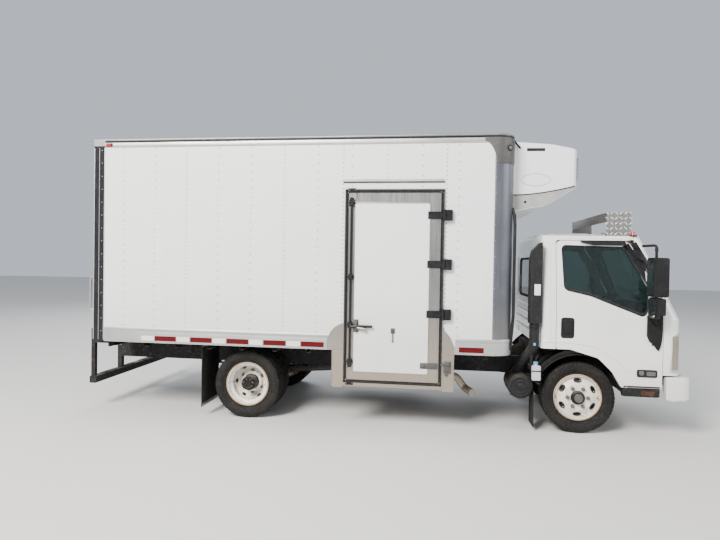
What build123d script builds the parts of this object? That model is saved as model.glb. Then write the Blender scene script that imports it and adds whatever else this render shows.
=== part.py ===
"""A cab-over refrigerated truck with an insulated box body, a curb side door and a nose-mounted
cooling unit. Millimetres; X forward, Y left, Z up; origin on the ground at mid length and width."""
import math
import os

from build123d import *

os.makedirs("parts", exist_ok=True)

# Overall layout
wheelbase = 3810
front_overhang = 1150
rear_overhang = 2070
overall_length = wheelbase + front_overhang + rear_overhang
rear_axle_x = rear_overhang - overall_length / 2
front_axle_x = rear_axle_x + wheelbase
front_end_x = front_axle_x + front_overhang
rear_end_x = rear_axle_x - rear_overhang

# Wheels and tyres
tyre_radius = 400
tyre_width = 226
rim_radius = 260.5
rim_half_width = 82
front_track = 1665
rear_track = 1650
dual_gap = 30
rim_wall = 8
spindle_radius = 30
rear_tube_radius = 42
bore_gap = 0.5

# Frame
rail_half_width = 425
rail_top = 760
rail_height = 205
rail_flange = 70
rail_thickness = 8
rail_front_x = front_end_x - 165
rail_rear_x = rear_end_x + 75

# Steering
kingpin_y = 700
kingpin_radius = 17
steer_arm_length = 160
steer_arm_y = kingpin_y
tie_rod_radius = 14
tie_rod_z = tyre_radius - 86
tie_eye_half = 17

# Box body
body_length = 4930
body_half_width = 1219
body_rear_x = rear_axle_x - 1885
body_front_x = body_rear_x + body_length
body_floor_z = 880
body_top_z = 3310
body_wall = 76
floor_depth = 150
roof_depth = 90
front_corner_radius = 190
rear_post_length = 145

# Side door and its drop well
door_hinge_edge_x = 819
door_width = 1048
door_top_z = 2667
door_bottom_z = 548
door_gap = 6
door_proud = 18
door_skin = 34
door_frame_width = 26
door_frame_top = 2700
well_half_extra = 128
well_bottom_z = 464
well_depth = 420
hinge_pin_radius = 9
hinge_pin_out = 26
hinge_heights = (1318, 1868, 2408)

# Cab
cab_rear_x = front_axle_x - 425
cab_half_width = 1030
cab_roof_z = 2290
cab_wall = 42
cab_door_rear_x = front_axle_x - 269
cab_door_front_x = front_axle_x + 840
cab_door_bottom_z = 561
cab_door_top_z = 2158
cab_door_gap = 6
cab_arch_z = 955
arch_lip_width = 66
arch_lip_rise = 5
cab_front_bottom_z = 707
cab_floor_plate = 30
platform_z = 985
tunnel_half_width = 450
tilt_pivot_x = front_axle_x + 1065
tilt_pivot_z = 690
tilt_pin_radius = 11
tilt_eye_radius = 16.5
tilt_lug_y = (300, 330)
pin_clearance = 0.1
seat_gap = 0.3
arch_liner_radius = 488

# Cooling unit
unit_half_width = 940
unit_front_x = body_front_x + 770
unit_top_z = 3265
unit_bottom_z = 2483
grille_half_width = 790
grille_low = 2835
grille_high = 3120
grille_depth = 70


def block(x, y, z):
    """A box between two corners, given as (low, high) on each axis."""
    size = Box(x[1] - x[0], y[1] - y[0], z[1] - z[0])
    return Pos((x[0] + x[1]) / 2, (y[0] + y[1]) / 2, (z[0] + z[1]) / 2) * size


def outline(points, radii=None):
    """A closed flat face through the points, each corner rounded by its own radius."""
    if radii is None:
        return make_face(Polyline(*points, close=True))
    return make_face(FilletPolyline(*points, radius=list(radii), close=True))


def side_prism(face, y_low, y_high):
    """A face drawn in X and Z, made as thick as the given span of Y."""
    plane = Plane(origin=(0, y_high, 0), x_dir=(1, 0, 0), z_dir=(0, -1, 0))
    return extrude(plane * face, amount=y_high - y_low)


def end_prism(face, x_low, x_high):
    """A face drawn in Y and Z, made as long as the given span of X."""
    plane = Plane(origin=(x_low, 0, 0), x_dir=(0, 1, 0), z_dir=(1, 0, 0))
    return extrude(plane * face, amount=x_high - x_low)


def plan_prism(face, z_low, z_high):
    """A face drawn in X and Y, made as tall as the given span of Z."""
    return extrude(Pos(0, 0, z_low) * face, amount=z_high - z_low)


def rod(start, end, radius):
    """A round bar between two points."""
    start = Vector(*start)
    span = Vector(*end) - start
    plane = Plane(origin=start, z_dir=span.normalized())
    return extrude(plane * Circle(radius), amount=span.length)


def bent_tube(points, radii, radius):
    """A round tube along straight runs joined by tangent arcs."""
    path = FilletPolyline(*points, radius=list(radii)) if radii else Polyline(*points)
    start = Plane(origin=path @ 0, z_dir=path % 0)
    return sweep(start * Circle(radius), path=path)


def turned(*sections):
    """A ring about the Y axis from flat sections drawn as (distance from the axis, y), joined first."""
    whole = sections[0]
    for section in sections[1:]:
        whole += section
    return revolve(Plane.XY * whole, axis=Axis.Y)


def both_sides(solid):
    """The solid and its mirror image across the truck's centre plane."""
    return [solid, mirror(solid, about=Plane.XZ)]


def save(node, *solids):
    """Write one sub-part as its own file."""
    pieces = []
    for solid in solids:
        pieces.extend(solid.solids())
    export_step(Compound(children=pieces) if len(pieces) > 1 else pieces[0], f"parts/{node}.step")


# Wheels

def tyre(y_centre):
    """One tyre about the Y axis: a crowned tread, rounded shoulders and bulged side walls."""
    half = tyre_width / 2
    bead = rim_half_width - rim_wall
    side_height = tyre_radius - rim_radius
    rise = rim_radius + 0.24 * side_height
    bulge = rim_radius + 0.6 * side_height
    points = [
        (rim_radius - 14, -bead), (rim_radius, -bead), (rise, -bead - 16), (bulge, -half - 7),
        (tyre_radius - 6, -half + 18), (tyre_radius, -30), (tyre_radius, 30),
        (tyre_radius - 6, half - 18), (bulge, half + 7), (rise, bead + 16), (rim_radius, bead),
        (rim_radius - 14, bead),
    ]
    soft = 0.21 * side_height
    round_side = 0.43 * side_height
    radii = (0, 0, soft, round_side, 16, 90, 90, 16, round_side, soft, 0, 0)
    return turned(Pos(0, y_centre) * outline(points, radii))


def rim_section(y_centre):
    """A steel rim's section: a drop centre between two turned-out lips that hold the tyre's beads."""
    lip = rim_half_width
    bead = rim_half_width - rim_wall
    seat = rim_radius - 14
    points = [
        (rim_radius, -lip), (rim_radius, -bead), (seat, -bead), (seat - 4, -40), (seat - 32, -24),
        (seat - 32, 24), (seat - 4, 40), (seat, bead), (rim_radius, bead), (rim_radius, lip),
        (seat - rim_wall, lip), (seat - rim_wall - 4, 36), (seat - 40, 18), (seat - 40, -18),
        (seat - rim_wall - 4, -36), (seat - rim_wall, -lip),
    ]
    return Pos(0, y_centre) * outline(points)


hand_hole_circle = 190
hand_holes = 6
hand_hole_long = 30
hand_hole_short = 19


def hand_hole_cutters(y_low, y_high, turn):
    """The ring of oval hand holes, as one cutting tool."""
    ring = Sketch() + [
        Rot(0, 0, turn + 360 / hand_holes * index) * Pos(hand_hole_circle, 0)
        * Ellipse(hand_hole_short, hand_hole_long)
        for index in range(hand_holes)
    ]
    return side_prism(ring, y_low, y_high)


def front_wheel():
    """The right front wheel: a disc that bulges outward, a hub, its grease cap and the brake drum."""
    face = -rim_half_width - 6
    bore = spindle_radius + bore_gap
    disc = outline([
        (bore, face), (96, face), (150, face + 2), (205, face + 34), (rim_radius - 32, face + 44),
        (rim_radius - 32, face + 56), (196, face + 46), (146, face + 14), (96, face + 12),
        (bore, face + 12),
    ])
    hub = outline([
        (bore, face - 34), (62, face - 34), (72, face - 22), (78, face + 6), (112, face + 10),
        (112, face + 30), (164, face + 58), (164, 62), (152, 62), (152, face + 66), (80, face + 44),
        (60, 30), (bore, 30),
    ])
    cap = outline([(0, face - 52), (34, face - 52), (44, face - 33), (0, face - 33)])
    wheel = turned(rim_section(0), disc, hub, cap)
    return wheel - hand_hole_cutters(face - 10, face + 62, 30)


def rear_wheels(half_spacing):
    """A right twin wheel: two discs back to back on a hub that reaches out past the outer disc."""
    bore = rear_tube_radius + bore_gap
    edge = rim_radius - 16
    outer = outline([
        (120, 0), (150, 0), (205, -46), (edge, -52), (edge, -64), (196, -60), (144, -12), (120, -12),
    ])
    inner = outline([
        (120, 0), (150, 0), (205, 46), (edge, 52), (edge, 64), (196, 60), (144, 12), (120, 12),
    ])
    hub = outline([
        (0, -190), (50, -190), (60, -176), (74, -176), (84, -166), (86, -60), (124, -40), (124, 36),
        (164, 62), (164, 150), (152, 150), (152, 70), (90, 50), (bore, 50), (bore, -175), (0, -175),
    ])
    wheel = turned(rim_section(-half_spacing), rim_section(half_spacing), outer, inner, hub)
    return wheel - hand_hole_cutters(-78, 78, 0)


def place(solid, x, y):
    return Pos(x, y, tyre_radius) * solid


dual_half_spacing = (tyre_width + dual_gap) / 2
front_wheel_y = front_track / 2
rear_wheel_y = rear_track / 2
right_front = place(front_wheel(), front_axle_x, -front_wheel_y)
right_front_tyre = place(tyre(0), front_axle_x, -front_wheel_y)
right_rear = place(rear_wheels(dual_half_spacing), rear_axle_x, -rear_wheel_y)
right_rear_tyres = [
    place(tyre(-dual_half_spacing), rear_axle_x, -rear_wheel_y),
    place(tyre(dual_half_spacing), rear_axle_x, -rear_wheel_y),
]
for side, index in (("right", 0), ("left", 1)):
    save(f"front_wheel_{side}", both_sides(right_front)[index])
    save(f"front_tyre_{side}", both_sides(right_front_tyre)[index])
    save(f"rear_wheels_{side}", both_sides(right_rear)[index])
    save(f"rear_tyres_{side}", *[both_sides(piece)[index] for piece in right_rear_tyres])


# Steering knuckles, front axle and tie rod

boss_radius = 40
boss_half = 55
ear_gap = 1
ear_thickness = 30


def knuckle():
    """The right steering knuckle: two ears on the kingpin, the wheel spindle and the steering arm."""
    x = front_axle_x
    z = tyre_radius
    ear = boss_half + ear_gap
    reach = ear + ear_thickness
    body = block((x - 45, x + 45), (-kingpin_y - 62, -kingpin_y - 42), (z - reach, z + reach))
    for low in (z - reach, z + ear):
        plate = block((x - 34, x + 34), (-kingpin_y - 50, -kingpin_y + 4), (low, low + ear_thickness))
        body += plate + rod((x, -kingpin_y, low), (x, -kingpin_y, low + ear_thickness), boss_radius - 6)
    body += rod((x, -kingpin_y, z - ear), (x, -kingpin_y, z + ear), kingpin_radius)
    spindle_end = -front_wheel_y - rim_half_width - 34
    body += rod((x, -kingpin_y - 50, z), (x, spindle_end, z), spindle_radius)
    arm_low = tie_rod_z + tie_eye_half + 1
    arm = plan_prism(outline([
        (x - 30, -kingpin_y + 10), (x - steer_arm_length - 24, -steer_arm_y + 24),
        (x - steer_arm_length - 24, -steer_arm_y - 24), (x - 40, -kingpin_y - 50),
    ], (0, 20, 20, 0)), arm_low, arm_low + 12)
    pin = rod((x - steer_arm_length, -steer_arm_y, tie_rod_z - tie_eye_half),
              (x - steer_arm_length, -steer_arm_y, arm_low), 9)
    return body + arm + pin


right_knuckle = knuckle()
for side, piece in zip(("right", "left"), both_sides(right_knuckle)):
    save(f"knuckle_{side}", piece)

tie_rod_x = front_axle_x - steer_arm_length
tie_rod = rod((tie_rod_x, -steer_arm_y, tie_rod_z), (tie_rod_x, steer_arm_y, tie_rod_z), tie_rod_radius)
for y in (-steer_arm_y, steer_arm_y):
    eye = rod((tie_rod_x, y, tie_rod_z - tie_eye_half), (tie_rod_x, y, tie_rod_z + tie_eye_half), 24)
    tie_rod += eye
for y in (-steer_arm_y, steer_arm_y):
    tie_rod -= rod((tie_rod_x, y, tie_rod_z - 30), (tie_rod_x, y, tie_rod_z + 30), 9 + bore_gap)
save("tie_rod", tie_rod)

spring_y = 395
spring_width = 70
beam_top = tyre_radius
rear_seat_height = 66


def front_axle():
    """A forged I beam that drops between the springs and rises to a kingpin boss at each end."""
    x = front_axle_x
    end = kingpin_y - 20
    profile = [
        (-end, beam_top + 40), (-end + 110, beam_top), (end - 110, beam_top), (end, beam_top + 40),
        (end, beam_top - 45), (end - 110, beam_top - 70), (-end + 110, beam_top - 70),
        (-end, beam_top - 45),
    ]
    beam = end_prism(outline(profile, (0, 60, 60, 0, 0, 60, 60, 0)), x - 38, x + 38)
    for x_low in (x - 60, x + 12):
        channel = [
            (-end + 150, beam_top - 16), (end - 150, beam_top - 16), (end - 150, beam_top - 54),
            (-end + 150, beam_top - 54),
        ]
        beam -= end_prism(outline(channel, (12, 12, 12, 12)), x_low, x_low + 48)
    for y in (-kingpin_y, kingpin_y):
        beam += rod((x, y, tyre_radius - boss_half), (x, y, tyre_radius + boss_half), boss_radius)
    for y in (-kingpin_y, kingpin_y):
        beam -= rod((x, y, 0), (x, y, 2 * tyre_radius), kingpin_radius + bore_gap)
    return beam


save("front_axle", front_axle())


def rear_axle():
    """A banjo axle: a round differential housing with tapering arms and a pinion nose."""
    arm_end = rear_wheel_y - 60
    tube_end = rear_wheel_y + 170
    arms = turned(outline([
        (0, -tube_end), (rear_tube_radius, -tube_end), (rear_tube_radius, -arm_end), (56, -arm_end),
        (66, -300), (120, -190), (120, 190), (66, 300), (56, arm_end), (rear_tube_radius, arm_end),
        (rear_tube_radius, tube_end), (0, tube_end),
    ]))
    bowl = rod((-70, 0, 0), (70, 0, 0), 190)
    cover = extrude(Plane(origin=(-70, 0, 0), z_dir=(-1, 0, 0)) * Circle(165), amount=48, taper=28)
    nose = extrude(Plane(origin=(70, 0, 0), z_dir=(1, 0, 0)) * Circle(120), amount=190, taper=18)
    housing = arms + bowl + cover + nose
    for y in (-spring_y, spring_y):
        housing += block((-60, 60), (y - spring_width / 2, y + spring_width / 2), (0, rear_seat_height))
    return place(housing, rear_axle_x, 0)


save("rear_axle", rear_axle())


# Leaf springs with their hangers

def leaf(x_centre, half_length, z_low, rise, thickness):
    """One leaf: a flat arc whose ends stand higher than its middle."""
    radius = (half_length ** 2 + rise ** 2) / (2 * rise)
    centre_z = z_low + radius
    outer = Pos(x_centre, centre_z) * Circle(radius)
    inner = Pos(x_centre, centre_z) * Circle(radius - thickness)
    window = Pos(x_centre, z_low + rise) * Rectangle(2 * half_length, 2 * rise + 2 * thickness)
    return (outer - inner) & window


def spring_pack(axle_x, seat_z, leaves):
    """A stack of leaves, each shorter than the one above it, clamped on the axle."""
    full, shorter, thick, rise = leaves["half"], leaves["step"], leaves["thick"], leaves["rise"]
    stack = None
    for index in range(leaves["count"]):
        half = full - shorter * index
        z_low = seat_z + thick * (leaves["count"] - 1 - index)
        strip = leaf(axle_x, half, z_low, rise * (half / full) ** 2, thick)
        stack = strip if stack is None else stack + strip
    pack = side_prism(stack, spring_y - spring_width / 2, spring_y + spring_width / 2)
    return pack


spring_eye_radius = 26
spring_eye_z = rail_top - rail_height - spring_eye_radius - 6
front_seat_z = beam_top
rear_seat_z = tyre_radius + rear_seat_height
front_leaves = {"half": 620, "step": 170, "thick": 14, "count": 3}
rear_leaves = {"half": 640, "step": 130, "thick": 11, "count": 4}
for seat_z, leaves in ((front_seat_z, front_leaves), (rear_seat_z, rear_leaves)):
    leaves["rise"] = spring_eye_z - 4 - seat_z - leaves["thick"] * (leaves["count"] - 1)


def spring_assembly(axle_x, seat_z, leaves):
    """A spring pack with an eye and a hanger at each end, up under the rail."""
    pack = spring_pack(axle_x, seat_z, leaves)
    eye_z = spring_eye_z
    low = spring_y - spring_width / 2
    high = spring_y + spring_width / 2
    rail_low = rail_top - rail_height
    for side in (-1, 1):
        x = axle_x + side * leaves["half"]
        pack += rod((x, low, eye_z), (x, high, eye_z), spring_eye_radius)
        hanger_face = outline([
            (x - 36, eye_z - 10), (x + 36, eye_z - 10), (x + 50, rail_low), (x - 50, rail_low),
        ], (20, 20, 0, 0))
        pack += side_prism(hanger_face, low - 6, low + 6)
        pack += side_prism(hanger_face, high - 12, high)
    clamp_top = seat_z + leaves["thick"] * leaves["count"] + 18
    clamp = block((axle_x - 60, axle_x + 60), (low - 4, high + 4), (seat_z, clamp_top))
    return pack + clamp


springs = []
for axle_x, seat_z, leaves in (
    (front_axle_x, front_seat_z, front_leaves),
    (rear_axle_x, rear_seat_z, rear_leaves),
):
    springs.extend(both_sides(spring_assembly(axle_x, seat_z, leaves)))
save("leaf_springs", *springs)


# Frame

def frame_rail():
    """The left rail: a channel that opens inward."""
    low = rail_top - rail_height
    inner = rail_half_width - rail_flange
    profile = [
        (rail_half_width, low), (rail_half_width, rail_top), (inner, rail_top),
        (inner, rail_top - rail_thickness), (rail_half_width - rail_thickness, rail_top - rail_thickness),
        (rail_half_width - rail_thickness, low + rail_thickness), (inner, low + rail_thickness),
        (inner, low),
    ]
    rail = end_prism(outline(profile), rail_rear_x, rail_front_x)
    return rail


save("frame_rails", *both_sides(frame_rail()))

crossmember_half = rail_half_width - rail_thickness
crossmember_places = (rail_rear_x + 60, rear_axle_x - 760, rear_axle_x + 760, 60, 700, 1250,
                      rail_front_x - 260)


def crossmember(x):
    """A channel across the frame, opening rearward, between the rail webs."""
    low = rail_top - rail_height + rail_thickness + 30
    high = rail_top - rail_thickness - 30
    profile = [
        (x, low), (x + 60, low), (x + 60, high), (x, high), (x, high - 8), (x + 52, high - 8),
        (x + 52, low + 8), (x, low + 8),
    ]
    return side_prism(outline(profile), -crossmember_half, crossmember_half)


# Engine and driveline

engine_front_x = front_axle_x + 380
engine_rear_x = front_axle_x - 470
engine_half_width = 290
engine_low = 470
engine_high = 915
engine = block((engine_rear_x, engine_front_x), (-engine_half_width, engine_half_width),
               (engine_low, engine_high))
engine = chamfer(engine.edges().filter_by(Axis.X), 60)
save("engine_block", engine)

gearbox_front = engine_rear_x
gearbox_rear = gearbox_front - 520
shaft_z_front = 600
shaft_end_x = rear_axle_x + 265.3
shaft_radius = 46
shaft_joint_radius = 78
shaft_clearance = 24


def driveline():
    """The gearbox, which narrows rearward, and the shaft back to the axle with its joints."""
    front = Plane(origin=(gearbox_front, 0, shaft_z_front + 60), z_dir=(-1, 0, 0)) * Circle(210)
    rear = Plane(origin=(gearbox_rear, 0, shaft_z_front), z_dir=(-1, 0, 0)) * Circle(105)
    gearbox = loft([front, rear], ruled=True)
    start = (gearbox_rear - 1, 0, shaft_z_front)
    end = (shaft_end_x, 0, tyre_radius)
    shaft = rod((gearbox_rear + 20, 0, shaft_z_front), end, shaft_radius)
    for share in (0.02, 0.5, 0.97):
        joint = [a + (b - a) * share for a, b in zip(start, end)]
        after = [a + (b - a) * (share + 0.02) for a, b in zip(start, end)]
        shaft += rod(joint, after, shaft_joint_radius)
    return gearbox + shaft


save("driveline", driveline())
shaft_path = rod((gearbox_rear, 0, shaft_z_front), (shaft_end_x, 0, tyre_radius),
                 shaft_joint_radius + shaft_clearance)
crossmembers = [crossmember(x) - shaft_path for x in crossmember_places]

mount_x = (front_axle_x + 130, front_axle_x + 190)
for sign in (-1, 1):
    y_span = sorted((sign * engine_half_width, sign * crossmember_half))
    crossmembers.append(block(mount_x, y_span, (rail_top - 160, rail_top - 110)))

hoop_x = (cab_rear_x + cab_wall + 8, cab_rear_x + cab_wall + 68)
hoop_top = platform_z - seat_gap
cab_hoop = block(hoop_x, (-rail_half_width, rail_half_width), (engine_high + 10, hoop_top))
for y in (-rail_half_width, rail_half_width - 60):
    cab_hoop += block(hoop_x, (y, y + 60), (rail_top, hoop_top))
crossmembers.append(cab_hoop)


def tilt_bracket(sign):
    """A plate inside the rail's front end that carries the pin on which the cab tips."""
    x, z = tilt_pivot_x, tilt_pivot_z
    low, high = rail_top - rail_height + 5, rail_top - 4
    plate_face = outline([
        (rail_front_x - 110, low), (rail_front_x, low), (x + 11, z - 14), (x + 11, z + 7),
        (x - 34, z + 7), (rail_front_x, high), (rail_front_x - 110, high),
    ], (0, 40, 8, 6, 20, 20, 0))
    y_inner = rail_half_width - rail_flange
    y_span = sorted((sign * (y_inner - 12), sign * y_inner))
    return side_prism(plate_face, *y_span)


tilt_hinge = tilt_bracket(-1) + tilt_bracket(1) + rod(
    (tilt_pivot_x, -rail_half_width + rail_flange, tilt_pivot_z),
    (tilt_pivot_x, rail_half_width - rail_flange, tilt_pivot_z), tilt_pin_radius)
crossmembers.append(tilt_hinge)
save("frame_crossmembers", *crossmembers)


# Tank, batteries, exhaust, air intake

tank_x = (-560, 420)
fuel_tank = block(tank_x, (rail_half_width + 20, rail_half_width + 560), (330, 800))
fuel_tank = fillet(fuel_tank.edges().filter_by(Axis.X), 60)
for x in (tank_x[0] + 180, tank_x[1] - 180):
    strap = block((x - 30, x + 30), (rail_half_width, rail_half_width + 26), (600, 740))
    fuel_tank += strap
save("fuel_tank", fuel_tank)

battery_x = (900, 1480)
battery_box = block(battery_x, (rail_half_width, rail_half_width + 430), (430, 760))
battery_box = chamfer(battery_box.edges().filter_by(Axis.Y), 18)
save("battery_box", battery_box)

muffler_y = -615
muffler_z = 560
muffler_radius = 125
tail_tip = (1215, -790, 367)


def exhaust():
    """A canister along the right rail, its hangers and a tailpipe that turns down and outward."""
    x_low, x_high = 60, 860
    can = rod((x_low, muffler_y, muffler_z), (x_high, muffler_y, muffler_z), muffler_radius)
    can = fillet(can.edges(), 30)
    pipe = bent_tube([
        (x_high - 20, muffler_y, muffler_z - 40), (x_high + 170, muffler_y, muffler_z - 40),
        (x_high + 270, muffler_y - 20, tail_tip[2] + 20), tail_tip,
    ], (80, 70), 44)
    for x in (x_low + 150, x_high - 150):
        can += block((x - 22, x + 22), (muffler_y, -rail_half_width), (muffler_z + 60, muffler_z + 130))
    return can + pipe


save("exhaust", exhaust())

stack_x = (front_axle_x - 567, front_axle_x - 432)
stack_y = (-1060, -930)
stack_z = (1231, 2131)
cleaner_x = front_axle_x - 637
cleaner_z = 511
cleaner_radius = 136


def air_intake():
    """A flat stack behind the cab, a hose down from it and a round air cleaner at the rail."""
    stack = plan_prism(outline([
        (stack_x[0], stack_y[0]), (stack_x[1], stack_y[0]), (stack_x[1], stack_y[1]),
        (stack_x[0], stack_y[1]),
    ], (25, 25, 25, 25)), *stack_z)
    slope = side_prism(outline([
        (stack_x[0] - 10, stack_z[1] - 230), (stack_x[0] - 10, stack_z[1] + 10),
        (stack_x[1] + 10, stack_z[1] + 10), (stack_x[1] - 30, stack_z[1] - 6),
        (stack_x[0] + 25, stack_z[1] - 90),
    ]), stack_y[0] - 10, stack_y[1] + 10)
    stack -= slope
    middle = (stack_x[0] + stack_x[1]) / 2
    hose_y = (stack_y[0] + stack_y[1]) / 2
    hose = bent_tube([
        (middle, hose_y, stack_z[0] + 10), (middle, hose_y, 960),
        (cleaner_x + 20, -760, 720), (cleaner_x, -760, cleaner_z + 40),
    ], (120, 90), 52)
    canister = rod((cleaner_x, -1000, cleaner_z), (cleaner_x, -560, cleaner_z), cleaner_radius)
    canister = fillet(canister.edges(), 24)
    bracket = block((cleaner_x - 40, cleaner_x + 40), (-570, -rail_half_width),
                    (cleaner_z + 50, cleaner_z + 120))
    stay = block((stack_x[0] + 30, stack_x[0] + 60), (-940, -rail_half_width), (700, 740))
    upright = block((stack_x[0] + 30, stack_x[0] + 60), (-980, -940), (700, stack_z[0] + 200))
    return stack + hose + canister + bracket + stay + upright


save("air_intake", air_intake())


# Bumper, rear guard, mudflaps

bumper_low = 435
bumper_high = 667


def front_bumper():
    """A hollow bumper, bowed across the front and swept back at the ends."""
    front = front_end_x
    face = [
        (front - 232, -1040), (front - 110, -1036), (front - 28, -820), (front, -420), (front, 420),
        (front - 28, 820), (front - 110, 1036), (front - 232, 1040),
    ]
    shell_face = outline(face, (0, 90, 260, 900, 900, 260, 90, 0))
    outer = plan_prism(shell_face, bumper_low, bumper_high)
    lower_edge = side_prism(outline([
        (front - 90, bumper_low - 5), (front + 20, bumper_low - 5), (front + 20, bumper_low + 60),
    ]), -1100, 1100)
    outer -= lower_edge
    outer -= Pos(-30, 0, 0) * plan_prism(offset(shell_face, amount=-20), bumper_low - 5, bumper_high - 12)
    outer -= Pos(-45, 0, 0) * plan_prism(offset(shell_face, amount=-30), bumper_low, bumper_high + 5)
    brackets = []
    for y in (-rail_half_width, rail_half_width - 60):
        brackets.append(block((rail_front_x, front - 20), (y, y + 60), (600, 650)))
    return outer + brackets[0] + brackets[1]


save("front_bumper", front_bumper())

guard_half = 1000


def rear_guard():
    """A low bar across the rear on outer posts and on inner posts under the rails."""
    bar = block((rear_end_x, rear_end_x + 90), (-guard_half, guard_half), (312, 400))
    bar = fillet(bar.edges().filter_by(Axis.Y), 12)
    for y in (-guard_half + 25, guard_half - 25):
        bar += block((rear_end_x + 20, rear_end_x + 70), (y - 25, y + 25), (338, 1000))
        bar += block((rear_end_x + 60, body_rear_x + 60), (y - 25, y + 25), (820, 879))
    for y in (-390, 390):
        bar += block((rear_end_x + 15, rear_end_x + 75), (y - 30, y + 30), (390, rail_top - 60))
    return bar


save("rear_guard", rear_guard())

flaps = []
for x, y_low, y_high, z_low, z_high in (
    (front_axle_x - tyre_radius - 96, 730, 990, 60, 458),
    (rear_axle_x - tyre_radius - 150, 590, 1100, 113, 878),
):
    flap = block((x, x + 8), (-y_high, -y_low), (z_low, z_high))
    hanger_z = z_high - 30
    if z_high < rail_top:
        flap += block((x - 30, x), (-y_high + 40, -rail_half_width - 20), (hanger_z - 40, hanger_z))
        flap += block((x - 30, x), (-rail_half_width - 50, -rail_half_width - 20), (hanger_z - 40, 640))
        flap += block((x - 30, x), (-rail_half_width - 50, -rail_half_width), (600, 640))
    else:
        flap += block((x - 30, x), (-y_high + 40, -rail_half_width), (hanger_z - 40, hanger_z))
    flaps.extend(both_sides(flap))
save("mudflaps", *flaps)


# Box body

body_inner_front = body_front_x - body_wall
sills = []
for y in (-rail_half_width, rail_half_width - 80):
    sills.append(block((body_rear_x + 60, body_front_x - 60), (y, y + 80), (rail_top, body_floor_z)))
save("body_sills", *sills)

door_frame_x = (door_hinge_edge_x - door_width - door_gap - door_frame_width,
                door_hinge_edge_x + door_gap + door_frame_width)

post_width = 110
floor_half_width = body_half_width - body_wall
post_inner_y = body_half_width - post_width
post_front_x = body_rear_x + rear_post_length
front_inner_radius = front_corner_radius - body_wall
floor_face = outline([
    (post_front_x, -floor_half_width), (body_inner_front, -floor_half_width),
    (body_inner_front, floor_half_width), (post_front_x, floor_half_width),
], (0, front_inner_radius, front_inner_radius, 0))
cargo_floor = plan_prism(floor_face, body_floor_z, body_floor_z + floor_depth)
cargo_floor -= block((door_frame_x[0], door_frame_x[1]),
                     (-body_half_width, -body_half_width + well_depth),
                     (body_floor_z - 5, body_floor_z + floor_depth + 5))
save("cargo_floor", cargo_floor)

roof_low = body_top_z - roof_depth


def side_wall(sign):
    """One side wall panel, from the rear post to the front corner."""
    y_outer = sign * body_half_width
    y_inner = sign * (body_half_width - body_wall)
    y_span = (min(y_outer, y_inner), max(y_outer, y_inner))
    return block((post_front_x, body_front_x - front_corner_radius), y_span, (body_floor_z, roof_low))


right_wall = side_wall(-1)
right_wall -= block(door_frame_x, (-body_half_width - 5, -body_half_width + body_wall + 5),
                    (body_floor_z - 5, door_frame_top))
save("cargo_side_right", right_wall)
save("cargo_side_left", side_wall(1))


def front_wall():
    """The front wall with its two rounded vertical corners."""
    back = body_front_x - front_corner_radius
    outer = outline([
        (back, -body_half_width), (body_front_x, -body_half_width), (body_front_x, body_half_width),
        (back, body_half_width),
    ], (0, front_corner_radius - 1, front_corner_radius - 1, 0))
    inner = outline([
        (back - 5, -floor_half_width), (body_inner_front, -floor_half_width),
        (body_inner_front, floor_half_width), (back - 5, floor_half_width),
    ], (0, front_inner_radius, front_inner_radius, 0))
    wall = plan_prism(outer, body_floor_z, roof_low)
    wall -= plan_prism(inner, body_floor_z - 5, roof_low + 5)
    return wall


front_wall_solid = front_wall()
front_wall_solid -= plan_prism(floor_face, body_floor_z - 5, body_floor_z + floor_depth)
save("cargo_front_wall", front_wall_solid)

roof_face = outline([
    (body_rear_x, -body_half_width), (body_front_x, -body_half_width),
    (body_front_x, body_half_width), (body_rear_x, body_half_width),
], (0, front_corner_radius - 1, front_corner_radius - 1, 0))
cargo_roof = plan_prism(roof_face, roof_low, body_top_z)
cargo_roof = fillet(cargo_roof.edges().group_by(Axis.Z)[-1], 22)
save("cargo_roof", cargo_roof)

header_depth = 150
rear_door_low = body_floor_z + floor_depth
rear_door_high = roof_low - header_depth


def rear_frame():
    """The rear portal: two posts, a header and a threshold with bumper blocks."""
    x_span = (body_rear_x, post_front_x)
    frame = block(x_span, (-body_half_width, body_half_width), (body_floor_z, roof_low))
    frame -= block((x_span[0] - 5, x_span[1] + 5), (-post_inner_y, post_inner_y),
                   (rear_door_low, rear_door_high))
    return frame


save("rear_frame", rear_frame())

rear_door_x = (body_rear_x + 50, body_rear_x + 92)
panel_count = 6


def rear_door():
    """A roll-up door of equal horizontal panels that hinge on one another."""
    height = (rear_door_high - rear_door_low) / panel_count
    door = block(rear_door_x, (-post_inner_y, post_inner_y), (rear_door_low, rear_door_high))
    for index in range(1, panel_count):
        z = rear_door_low + height * index
        door -= block((rear_door_x[0] - 5, rear_door_x[0] + 8), (-post_inner_y, post_inner_y),
                      (z - 5, z + 5))
    return door


save("rear_door", rear_door())


# Side door, its frame and the drop well

door_x = (door_hinge_edge_x - door_width, door_hinge_edge_x)
frame_outer_y = -body_half_width - door_proud
jamb_inner_y = -body_half_width + body_wall
door_face_y = -body_half_width - door_proud


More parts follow.
